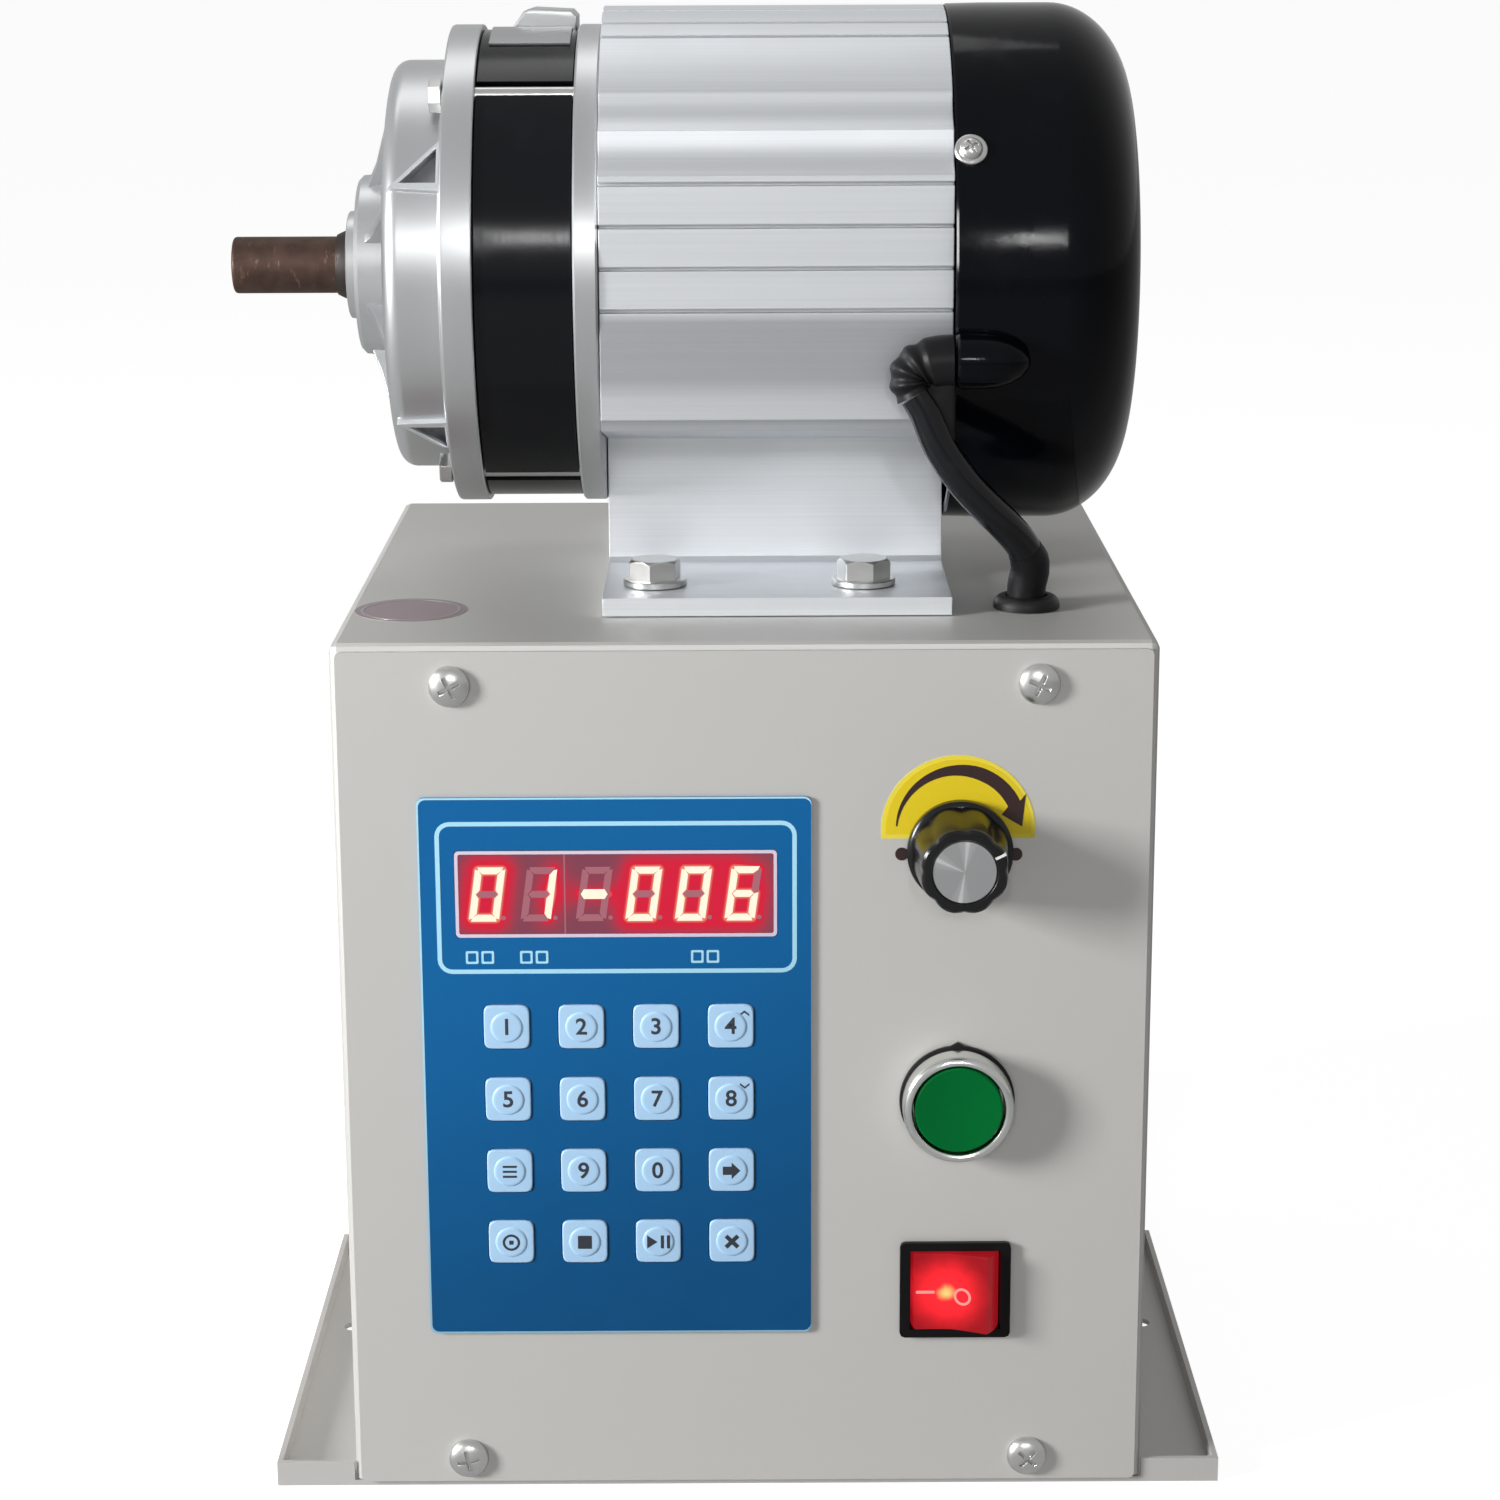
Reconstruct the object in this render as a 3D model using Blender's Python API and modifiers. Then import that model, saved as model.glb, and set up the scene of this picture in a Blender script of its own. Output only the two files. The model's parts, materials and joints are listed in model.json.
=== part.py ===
"""Wire coil winding machine: a control cabinet with a planetary gear motor on its roof.

Metres, +Z up, +X to the operator's right, the front panel facing -Y. The origin is on the
underside of the tray, half-way between the two mounting holes in its wings.
"""

import math

import bmesh
import bpy
from mathutils import Matrix

# Clearances
FIT = 0.0003
RUNNING_FIT = 0.00035
OVERRUN = 0.003

# Sides of round pieces
DRUM_SIDES = 32
RING_SIDES = 24
ROD_SIDES = 12
CORNER_STEPS = 2

# Cabinet
CABINET_WIDTH = 0.220
CABINET_DEPTH = 0.216
CABINET_HEIGHT = 0.2415
SHEET = 0.0012
BEND_RADIUS = 0.0022
BEND_STEPS = 2
SIDE_FLANGE = 0.015
TOP_FLANGE = 0.020
PANEL_INSET = 0.0018
PANEL_CORNER = 0.0015

# Base tray
TRAY_SHEET = 0.0015
WING_REACH = 0.022
WING_DEPTH = 0.170
LIP_HEIGHT = 0.007
TAB_HEIGHT = 0.016
WING_HOLE_MARGIN = 0.010
WING_HOLE_RADIUS = 0.0032

# Front panel screws
SCREW_HEAD_RADIUS = 0.0055
SCREW_HEAD_HEIGHT = 0.0030
SCREW_RADIUS = 0.0020
SCREW_LENGTH = 0.0075
SCREW_SIDE_MARGIN = 0.0320
SCREW_TOP_MARGIN = 0.0110
SCREW_BOTTOM = 0.0090
RECESS_WIDTH = 0.0011
RECESS_LENGTH = 0.0056
RECESS_DEPTH = 0.0014

# Keypad overlay, with its shares of the front's free width at its left and of the free height below it
OVERLAY_LEFT_SHARE = 0.266
OVERLAY_BOTTOM_SHARE = 0.5317
OVERLAY_WIDTH = 0.1053
OVERLAY_HEIGHT = 0.1533
OVERLAY_SHEET = 0.0008
OVERLAY_CORNER = 0.0020

# Display window, measured from the overlay's lower left corner
WINDOW_LEFT = 0.0097
WINDOW_BOTTOM = 0.1144
WINDOW_WIDTH = 0.0865
WINDOW_HEIGHT = 0.0243
WINDOW_CORNER = 0.0012

# Keys, the first one measured from the overlay's lower left corner
KEY_LEFT = 0.0229
KEY_BOTTOM = 0.0271
KEY_PITCH_X = 0.0202
KEY_PITCH_Z = 0.0207
KEY_COLUMNS = 4
KEY_ROWS = 4
KEY_SIZE = 0.0122
KEY_CORNER = 0.0026
KEY_STANDOUT = 0.0008
KEY_RIM = 0.0005
KEY_LEDGE = 0.0009
KEY_LEDGE_THICKNESS = 0.0008

# Control board behind the overlay
BOARD_SHEET = 0.0016
BOARD_MARGIN = 0.0035
DISPLAY_DEPTH = 0.0070
TRANSFORMER_SIZE = 0.034
TRANSFORMER_DEPTH = 0.030
CAPACITOR_RADIUS = 0.0065
CAPACITOR_HEIGHT = 0.022

# Knob, button and rocker, with their share of the free width at their right and of the cabinet's height
CONTROLS_RIGHT_SHARE = 0.4436
KNOB_RISE_SHARE = 0.7656
KNOB_DEPTH = 0.0220
KNOB_STANDOFF = 0.0008
KNOB_SKIRT_RADIUS = 0.0142
KNOB_SKIRT_THICKNESS = 0.0026
KNOB_BODY_RADIUS = 0.0132
KNOB_FACE_RADIUS = 0.0114
KNOB_LOBES = 8
KNOB_LOBE_DEPTH = 0.0007
KNOB_DISC_RADIUS = 0.0086
KNOB_DISC_RECESS = 0.0006
SPINDLE_RADIUS = 0.0030
SPINDLE_LENGTH = 0.0100
BUSHING_RADIUS = 0.0045
POT_RADIUS = 0.0120
POT_DEPTH = 0.0130
POT_FLOOR = 0.0016
BUTTON_RISE_SHARE = 0.4733
BUTTON_RIM_RADIUS = 0.0151
BUTTON_RIM_HEIGHT = 0.0095
BUTTON_RIM_ROUND = 0.0011
BUTTON_RIM_WALL = 0.0026
BUTTON_BARREL_RADIUS = 0.0110
BUTTON_BARREL_LENGTH = 0.0260
BUTTON_FLOOR = 0.0012
CAP_THICKNESS = 0.0040
CAP_SINK = 0.0006
CAP_DISH = 0.0004
PLUNGER_RADIUS = 0.0060
ROCKER_RISE_SHARE = 0.2451
ROCKER_BEZEL_WIDTH = 0.0305
ROCKER_BEZEL_HEIGHT = 0.0279
ROCKER_BEZEL_THICKNESS = 0.0015
ROCKER_BEZEL_CORNER = 0.0014
ROCKER_WELL_WIDTH = 0.0250
ROCKER_WELL_HEIGHT = 0.0232
ROCKER_WELL_WALL = 0.0010
ROCKER_WELL_DEPTH = 0.0110
ROCKER_BODY_DEPTH = 0.0190
ROCKER_PIVOT_DEPTH = 0.0022
ROCKER_NOSE = 0.0048
ROCKER_DIP = 0.0019
ROCKER_TILT = math.radians(11.0)
ROCKER_BACK = 0.0042
ROCKER_ARC_STEPS = 4

# Rear panel and mains inlet, the inlet measured from the cabinet's centre line and its bottom
VENT_COUNT = 6
VENT_LENGTH = 0.090
VENT_WIDTH = 0.0032
VENT_PITCH = 0.0090
VENT_RISE_SHARE = 0.6211
INLET_X = -0.060
INLET_Z = 0.045
INLET_FLANGE_WIDTH = 0.0480
INLET_FLANGE_HEIGHT = 0.0270
INLET_FLANGE_THICKNESS = 0.0025
INLET_BODY_WIDTH = 0.0270
INLET_BODY_HEIGHT = 0.0195
INLET_BODY_DEPTH = 0.0240
INLET_WALL = 0.0015
INLET_WELL_DEPTH = 0.0180
INLET_PIN_WIDTH = 0.0020
INLET_PIN_HEIGHT = 0.0040
INLET_PIN_LENGTH = 0.0090
INLET_PIN_PITCH = 0.0070

# Motor frame, its axis above the roof and its faces from the cabinet's middle
AXIS_RISE = 0.0886
FRAME_START = -0.0387
FRAME_LENGTH = 0.0956
FRAME_RADIUS = 0.0725
FRAME_BORE_RADIUS = 0.0465
FRAME_FLAT_DEPTH = 0.0065
FRAME_LEDGE = 0.0355
FRAME_UNDERSIDE = 0.0516
FLUTE_COUNT = 2
FLUTE_PITCH = math.radians(10.6)
FLUTE_DEPTH = 0.0018
FLUTE_STEPS = 4
TOP_GROOVE_ANGLE = math.radians(67.5)
TOP_GROOVE_WIDTH = 0.0020
TOP_GROOVE_DEPTH = 0.0016
TOP_ARC_STEPS = 3
SLOT_COUNT = 4
SLOT_MARGIN = 0.0021
SLOT_PITCH = 0.0113
SLOT_WIDTH = 0.0011
SLOT_DEPTH = 0.0026
PEDESTAL_HALF = 0.0200
FOOT_HALF = 0.0733
FOOT_THICKNESS = 0.0050

# Motor end cover and the pieces inside the motor
END_COVER_RADIUS = 0.0730
END_COVER_LENGTH = 0.0519
END_COVER_ROUND = 0.0130
END_COVER_WALL = 0.0030
END_COVER_FLOOR = 0.0050
END_BOSS_RADIUS = 0.0210
STATOR_INNER_RADIUS = 0.0270
STATOR_START = 0.0260
STATOR_LENGTH = 0.0480
WINDING_LENGTH = 0.0140
WINDING_MARGIN = 0.0040
AIR_GAP = 0.0006
ROTOR_SHAFT_RADIUS = 0.0060
ROTOR_CORE_RADIUS = STATOR_INNER_RADIUS - AIR_GAP
BEARING_RADIUS = 0.0160
BEARING_WIDTH = 0.0100
BEARING_GROOVE = 0.0012
BEARING_RACE = 0.0030
SHOULDER = 0.0020

# Gearbox
FLANGE_RADIUS = 0.0675
REAR_FLANGE_THICKNESS = 0.0067
REAR_HUB_LENGTH = 0.0080
REAR_HUB_RADIUS = 0.0200
REAR_FLANGE_WEB = 0.0020
RING_DRUM_RADIUS = 0.0660
RING_DRUM_LENGTH = 0.0265
COVER_FLANGE_THICKNESS = 0.0088
COVER_DRUM_RADIUS = 0.0577
COVER_DRUM_LENGTH = 0.0167
COVER_DRUM_ROUND = 0.0040
COVER_WALL = 0.0050
NOSE_RADIUS = 0.0260
NOSE_LENGTH = 0.0109
HUB_RADIUS = 0.0155
HUB_LENGTH = 0.0034
RIB_COUNT = 8
RIB_THICKNESS = 0.0030
RIB_REACH = 0.0220
POCKET_ANGLES = [math.radians(angle) for angle in (157, 234, 23, -54)]
POCKET_DEPTH = 0.0022
POCKET_LENGTH = 0.0090
POCKET_HEIGHT = 0.0085
SEAL_RADIUS = 0.0120
SEAL_DEPTH = 0.0050
COLLAR_RADIUS = 0.0100
COLLAR_STANDOUT = 0.0036
OUTPUT_BEARING_RADIUS = 0.0175
OUTPUT_SHAFT_RADIUS = 0.0080
OUTPUT_SHAFT_STANDOUT = 0.0334
OUTPUT_SHAFT_CHAMFER = 0.0010
CARRIER_RADIUS = 0.0450
CARRIER_THICKNESS = 0.0065
CARRIER_NECK_RADIUS = 0.0105
PLANET_PIN_RADIUS = 0.0045

# Gear teeth
MODULE = 0.0025
SUN_TEETH = 14
PLANET_TEETH = 13
RING_TEETH = SUN_TEETH + PLANET_TEETH + PLANET_TEETH
PLANET_COUNT = 3
PRESSURE_ANGLE = math.radians(25)
ADDENDUM_SHARE = 0.85
DEDENDUM_SHARE = 1.10
BACKLASH = 0.0003

# Bolts
TIE_CIRCLE_RADIUS = 0.0632
TIE_ANGLES = [math.radians(angle) for angle in (52, 128, 238, 302)]
TIE_RADIUS = 0.0025
TIE_HEAD_RADIUS = 0.0045
TIE_HEAD_HEIGHT = 0.0035
FOOT_BOLT_RADIUS = 0.0040
FOOT_BOLT_LENGTH = 0.0120
FOOT_BOLT_HEAD_RADIUS = 0.0075
FOOT_BOLT_HEAD_HEIGHT = 0.0055
FOOT_WASHER_RADIUS = 0.0088
FOOT_WASHER_THICKNESS = 0.0016
FOOT_BOLT_INSET = 0.0190
FOOT_BOLT_FIRST = 0.0140
FOOT_BOLT_SPACING = 0.0580
WELD_NUT_RADIUS = 0.0085
WELD_NUT_HEIGHT = 0.0065

# Motor cable, its boot on the motor and its grommet in the roof
CABLE_RADIUS = 0.0047
CABLE_STEP = 0.0060
CABLE_ROUTE = [
    (0.0466, -0.0740, 0.3023),
    (0.0491, -0.0745, 0.2980),
    (0.0530, -0.0750, 0.2886),
    (0.0592, -0.0745, 0.2793),
    (0.0649, -0.0730, 0.2728),
    (0.0710, -0.0705, 0.2665),
    (0.0760, -0.0672, 0.2603),
    (0.0788, -0.0640, 0.2540),
    (0.0780, -0.0622, 0.2475),
    (0.0780, -0.0622, 0.2400),
    (0.0780, -0.0622, 0.2280),
]
BOOT_DROP = 0.0188
BOOT_ROOT_RADIUS = 0.0063
BOOT_TIP_RADIUS = 0.0056
BOOT_RIB_HEIGHT = 0.0004
BOOT_RIBS = 6
OUTLET_RADIUS = 0.0075
OUTLET_LENGTH = 0.0200
GROMMET_X = 0.0780
GROMMET_Y = -0.0622
GROMMET_RADIUS = 0.0092
GROMMET_NECK_RADIUS = 0.0072
GROMMET_CROWN = 0.0034
GROMMET_SKIRT = 0.0022

# Angles that lay a piece along an axis of the machine
FACING_FRONT = (math.pi / 2, 0, 0)
ALONG_X = (math.pi / 2, 0, math.pi / 2)
UPRIGHT = (0, 0, 0)
ORIGIN = (0, 0, 0)

# Places worked out from the sizes above
FRONT = -CABINET_DEPTH / 2
PANEL_BACK = FRONT + SHEET
SHELL_FRONT = PANEL_BACK + FIT
SHELL_BOTTOM = TRAY_SHEET + FIT
REAR_PANEL_FRONT = FRONT + CABINET_DEPTH - SHEET
INNER_HALF = CABINET_WIDTH / 2 - SHEET - FIT
AXIS_Z = CABINET_HEIGHT + AXIS_RISE
WING_SPAN = CABINET_WIDTH + 2 * WING_REACH
FREE_WIDTH = CABINET_WIDTH - OVERLAY_WIDTH - ROCKER_BEZEL_WIDTH
OVERLAY_X = OVERLAY_LEFT_SHARE * FREE_WIDTH - CABINET_WIDTH / 2
OVERLAY_BOTTOM = OVERLAY_BOTTOM_SHARE * (CABINET_HEIGHT - OVERLAY_HEIGHT)
CONTROLS_X = CABINET_WIDTH / 2 - CONTROLS_RIGHT_SHARE * FREE_WIDTH - ROCKER_BEZEL_WIDTH / 2
KNOB_Z = KNOB_RISE_SHARE * CABINET_HEIGHT
BUTTON_Z = BUTTON_RISE_SHARE * CABINET_HEIGHT
ROCKER_Z = ROCKER_RISE_SHARE * CABINET_HEIGHT
OVERLAY_BACK = FRONT - FIT
BOARD_FRONT = PANEL_BACK + FIT
SCREW_SEAT = FRONT - FIT
SCREW_PLACES = [
    (side * (CABINET_WIDTH / 2 - SCREW_SIDE_MARGIN), height)
    for height in (CABINET_HEIGHT - SCREW_TOP_MARGIN, SCREW_BOTTOM)
    for side in (-1, 1)
]
KEY_PLACES = [
    (OVERLAY_X + KEY_LEFT + column * KEY_PITCH_X, OVERLAY_BOTTOM + KEY_BOTTOM + row * KEY_PITCH_Z)
    for row in reversed(range(KEY_ROWS))
    for column in range(KEY_COLUMNS)
]
FRAME_END = FRAME_START + FRAME_LENGTH
FRAME_FLAT = FRAME_RADIUS - FRAME_FLAT_DEPTH
SLOT_TOP = math.sqrt(FRAME_RADIUS**2 - FRAME_FLAT**2) - SLOT_MARGIN
REAR_FLANGE_END = FRAME_START - FIT
REAR_FLANGE_START = REAR_FLANGE_END - REAR_FLANGE_THICKNESS
RING_DRUM_START = REAR_FLANGE_START - FIT - RING_DRUM_LENGTH
COVER_BACK = RING_DRUM_START - FIT
COVER_FLANGE_FRONT = COVER_BACK - COVER_FLANGE_THICKNESS
COVER_FACE = COVER_FLANGE_FRONT - COVER_DRUM_LENGTH
NOSE_FACE = COVER_FACE - NOSE_LENGTH
HUB_FACE = NOSE_FACE - HUB_LENGTH
SHAFT_END = HUB_FACE - OUTPUT_SHAFT_STANDOUT
SEAL_BACK = HUB_FACE + SEAL_DEPTH
OUTPUT_BEARING_START = SEAL_BACK + SHOULDER
CARRIER_FACE = COVER_BACK - SHOULDER
GEAR_START = CARRIER_FACE + FIT
GEAR_END = REAR_FLANGE_START - SHOULDER
ROTOR_BEARING_START = REAR_FLANGE_START + REAR_FLANGE_WEB + FIT
END_COVER_START = FRAME_END + FIT
END_COVER_BACK = END_COVER_START + END_COVER_LENGTH
REAR_BEARING_START = END_COVER_BACK - END_COVER_FLOOR - FIT - BEARING_WIDTH
STATOR_X = FRAME_START + STATOR_START
SUN_RADIUS = MODULE * SUN_TEETH / 2
PLANET_RADIUS = MODULE * PLANET_TEETH / 2
RING_RADIUS = MODULE * RING_TEETH / 2
PLANET_ORBIT = SUN_RADIUS + PLANET_RADIUS
PLANET_ANGLES = [2 * math.pi * index / PLANET_COUNT + math.pi / 2 for index in range(PLANET_COUNT)]
BOOT_Y = -FRAME_FLAT - BOOT_ROOT_RADIUS - BOOT_RIB_HEIGHT - 2 * FIT
FOOT_BOTTOM = CABINET_HEIGHT + FIT
FOOT_TOP = FOOT_BOTTOM + FOOT_THICKNESS
FOOT_BOLT_PLACES = [
    (FRAME_START + FOOT_BOLT_FIRST + along * FOOT_BOLT_SPACING, side * (FOOT_HALF - FOOT_BOLT_INSET))
    for side in (-1, 1)
    for along in (0, 1)
]

FINISHES = {
    "cabinet_paint": ((0.62, 0.61, 0.59), 0.0, 0.45),
    "tray_paint": ((0.60, 0.59, 0.57), 0.0, 0.45),
    "zinc": ((0.72, 0.72, 0.70), 1.0, 0.30),
    "overlay_blue": ((0.02, 0.10, 0.42), 0.0, 0.35),
    "window_red": ((0.16, 0.01, 0.01), 0.0, 0.10),
    "key_blue": ((0.55, 0.68, 0.82), 0.0, 0.40),
    "board_green": ((0.03, 0.20, 0.08), 0.0, 0.50),
    "knob_black": ((0.02, 0.02, 0.02), 0.0, 0.30),
    "chrome": ((0.80, 0.80, 0.80), 1.0, 0.12),
    "button_green": ((0.02, 0.40, 0.12), 0.0, 0.30),
    "rocker_black": ((0.02, 0.02, 0.02), 0.0, 0.40),
    "rocker_red": ((0.75, 0.03, 0.01), 0.0, 0.25),
    "cast_aluminium": ((0.55, 0.56, 0.57), 1.0, 0.45),
    "extruded_aluminium": ((0.66, 0.67, 0.69), 1.0, 0.35),
    "gloss_black": ((0.01, 0.01, 0.012), 0.0, 0.20),
    "core_steel": ((0.30, 0.30, 0.32), 1.0, 0.50),
    "shaft_steel": ((0.33, 0.28, 0.22), 1.0, 0.35),
    "gear_steel": ((0.45, 0.45, 0.46), 1.0, 0.35),
    "rubber_black": ((0.02, 0.02, 0.02), 0.0, 0.60),
}


def new_collection(name, hidden):
    collection = bpy.data.collections.new(name)
    collection.hide_render = hidden
    bpy.context.scene.collection.children.link(collection)
    return collection


def clear_scene():
    for leftover in list(bpy.data.objects):
        bpy.data.objects.remove(leftover)


clear_scene()
PARTS = new_collection("wire_coil_winding_machine", False)
CUTTERS = new_collection("cutters", True)


def finish(name):
    """The material called name, made the first time that it is asked for."""
    found = bpy.data.materials.get(name)
    if found:
        return found
    colour, metallic, roughness = FINISHES[name]
    made = bpy.data.materials.new(name)
    made.use_nodes = True
    made.diffuse_color = (*colour, 1.0)
    shader = made.node_tree.nodes["Principled BSDF"]
    shader.inputs["Base Color"].default_value = (*colour, 1.0)
    shader.inputs["Metallic"].default_value = metallic
    shader.inputs["Roughness"].default_value = roughness
    return made


def add_piece(name, mesh, finish_name, at=ORIGIN, turn=UPRIGHT, parent=None):
    piece = bpy.data.objects.new(name, mesh)
    if not mesh.materials:
        mesh.materials.append(finish(finish_name))
    piece.parent = parent
    piece.location = at
    piece.rotation_euler = turn
    PARTS.objects.link(piece)
    return piece


def add_joint_axis(name, at, turn):
    """An empty on a joint's axis, for the pieces that move on it."""
    axis = bpy.data.objects.new(name, None)
    axis.location = at
    axis.rotation_euler = turn
    PARTS.objects.link(axis)
    return axis


def add_helper(name, mesh, at=ORIGIN, turn=UPRIGHT):
    """A solid that only cuts or joins another one."""
    helper = bpy.data.objects.new(name, mesh)
    helper.location = at
    helper.rotation_euler = turn
    helper.hide_render = True
    helper.display_type = "WIRE"
    CUTTERS.objects.link(helper)
    return helper


def combine(piece, helper, operation):
    modifier = piece.modifiers.new(helper.name, "BOOLEAN")
    modifier.operation = operation
    modifier.object = helper


def cut(piece, helper):
    combine(piece, helper, "DIFFERENCE")


def join(piece, helper):
    combine(piece, helper, "UNION")


def settle(piece):
    """The piece's mesh with its modifiers applied; the piece itself is removed."""
    bpy.context.view_layer.update()
    graph = bpy.context.evaluated_depsgraph_get()
    mesh = bpy.data.meshes.new_from_object(piece.evaluated_get(graph))
    bpy.data.objects.remove(piece)
    return mesh


def shade(mesh):
    mesh.shade_smooth()
    mesh.set_sharp_from_angle(angle=math.radians(35))
    return mesh


def mesh_from(shape, name):
    mesh = bpy.data.meshes.new(name)
    shape.to_mesh(mesh)
    shape.free()
    return mesh


def block_mesh(name, low, high):
    """A box between two corners."""
    shape = bmesh.new()
    bmesh.ops.create_cube(shape, size=1)
    size = [top - bottom for bottom, top in zip(low, high)]
    middle = [(bottom + top) / 2 for bottom, top in zip(low, high)]
    bmesh.ops.scale(shape, vec=size, verts=shape.verts)
    bmesh.ops.translate(shape, vec=middle, verts=shape.verts)
    return mesh_from(shape, name)


def rod_mesh(name, radius, start, end, sides=ROD_SIDES, end_radius=None, at=(0, 0)):
    """A round bar along Z."""
    shape = bmesh.new()
    bmesh.ops.create_cone(
        shape,
        cap_ends=True,
        segments=sides,
        radius1=radius,
        radius2=radius if end_radius is None else end_radius,
        depth=end - start,
    )
    bmesh.ops.translate(shape, vec=(*at, (start + end) / 2), verts=shape.verts)
    return shade(mesh_from(shape, name))


def turned_mesh(name, profile, sides, closed=True):
    """A turned piece about Z. The profile holds (radius, z), from the top down the outside."""
    mesh = bpy.data.meshes.new(name)
    count = len(profile)
    edges = [(index, index + 1) for index in range(count - 1)]
    if closed:
        edges.append((count - 1, 0))
    mesh.from_pydata([(radius, 0, height) for radius, height in profile], edges, [])
    piece = bpy.data.objects.new(name, mesh)
    PARTS.objects.link(piece)
    screw = piece.modifiers.new("turn", "SCREW")
    screw.steps = sides
    screw.render_steps = sides
    screw.use_merge_vertices = True
    screw.merge_threshold = FIT / 100
    return shade(settle(piece))


def plate_mesh(name, outlines, thickness, back=0):
    """A flat plate in the XY plane with its back at z = back. The first outline holds the others."""
    curve = bpy.data.curves.new(name, "CURVE")
    curve.dimensions = "2D"
    curve.fill_mode = "BOTH"
    curve.extrude = thickness / 2
    for outline in outlines:
        spline = curve.splines.new("POLY")
        spline.points.add(len(outline) - 1)
        for point, (x, y) in zip(spline.points, outline):
            point.co = (x, y, 0, 1)
        spline.use_cyclic_u = True
    piece = bpy.data.objects.new(name, curve)
    PARTS.objects.link(piece)
    mesh = settle(piece)
    shape = bmesh.new()
    shape.from_mesh(mesh)
    bmesh.ops.remove_doubles(shape, verts=shape.verts, dist=FIT / 100)
    bmesh.ops.recalc_face_normals(shape, faces=shape.faces)
    bmesh.ops.translate(shape, vec=(0, 0, back + thickness / 2), verts=shape.verts)
    shape.to_mesh(mesh)
    shape.free()
    return shade(mesh)


def circle(radius, at=(0, 0), sides=ROD_SIDES):
    return [
        (
            at[0] + radius * math.cos(2 * math.pi * step / sides),
            at[1] + radius * math.sin(2 * math.pi * step / sides),
        )
        for step in range(sides)
    ]


def rectangle(low, high, corner=0):
    """A rectangle's outline, its corners rounded where corner isn't zero."""
    if not corner:
        return [low, (high[0], low[1]), high, (low[0], high[1])]
    centres = [
        (high[0] - corner, high[1] - corner),
        (low[0] + corner, high[1] - corner),
        (low[0] + corner, low[1] + corner),
        (high[0] - corner, low[1] + corner),
    ]
    return [
        (
            x + corner * math.cos((quarter + step / CORNER_STEPS) * math.pi / 2),
            y + corner * math.sin((quarter + step / CORNER_STEPS) * math.pi / 2),
        )
        for quarter, (x, y) in enumerate(centres)
        for step in range(CORNER_STEPS + 1)
    ]


def about(centre, width, height, corner=0):
    """A rectangle's outline about its centre."""
    x, y = centre
    return rectangle((x - width / 2, y - height / 2), (x + width / 2, y + height / 2), corner)


def polar(radius, angle):
    return (radius * math.cos(angle), radius * math.sin(angle))


def running_bore(shaft_radius, sides):
    """The radius of a bore whose flats clear a turning shaft."""
    return (shaft_radius + RUNNING_FIT) / math.cos(math.pi / sides)


def base_tray():
    """A tray with a wing on each side, lips round the wings and a tab behind the front panel."""
    wing = WING_SPAN / 2
    wing_back = FRONT + WING_DEPTH
    rear = REAR_PANEL_FRONT - FIT
    outline = [
        (-wing, SHELL_FRONT),
        (wing, SHELL_FRONT),
        (wing, wing_back),
        (INNER_HALF, wing_back),
        (INNER_HALF, rear),
        (-INNER_HALF, rear),
        (-INNER_HALF, wing_back),
        (-wing, wing_back),
    ]
    hole = wing - WING_HOLE_MARGIN
    holes = [circle(WING_HOLE_RADIUS, (side * hole, 0)) for side in (-1, 1)]
    tray = add_piece("base_tray", plate_mesh("base_tray", [outline, *holes], TRAY_SHEET), "tray_paint")
    for side, label in ((-1, "left"), (1, "right")):
        near = side * (CABINET_WIDTH / 2 + FIT)
        far = side * wing
        inner = far - side * TRAY_SHEET
        lip = [
            (near, SHELL_FRONT),
            (far, SHELL_FRONT),
            (far, wing_back),
            (near, wing_back),
            (near, wing_back - TRAY_SHEET),
            (inner, wing_back - TRAY_SHEET),
            (inner, SHELL_FRONT + TRAY_SHEET),
            (near, SHELL_FRONT + TRAY_SHEET),
        ]
        join(tray, add_helper(label + "_wing_lip", plate_mesh("wing_lip", [lip], LIP_HEIGHT)))
    inner = INNER_HALF - TRAY_SHEET
    rear_lip = [
        (INNER_HALF, wing_back),
        (INNER_HALF, rear),
        (-INNER_HALF, rear),
        (-INNER_HALF, wing_back),
        (-inner, wing_back),
        (-inner, rear - TRAY_SHEET),
        (inner, rear - TRAY_SHEET),
        (inner, wing_back),
    ]
    join(tray, add_helper("rear_lip", plate_mesh("rear_lip", [rear_lip], LIP_HEIGHT)))
    tab_half = CABINET_WIDTH / 2 - SIDE_FLANGE - FIT
    tab = block_mesh("tab", (-tab_half, SHELL_FRONT, 0), (tab_half, SHELL_FRONT + TRAY_SHEET, TAB_HEIGHT))
    join(tray, add_helper("front_tab", tab))
    cut_screw_holes(tray, "tray")


def cut_screw_holes(piece, label):
    """The holes that the four front screws pass through."""
    for index, (x, z) in enumerate(SCREW_PLACES):
        hole = rod_mesh("screw_hole", SCREW_RADIUS + FIT, -SCREW_LENGTH - OVERRUN, OVERRUN)
        cut(piece, add_helper(f"{label}_screw_hole_{index + 1}", hole, (x, FRONT, z), FACING_FRONT))


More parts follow.
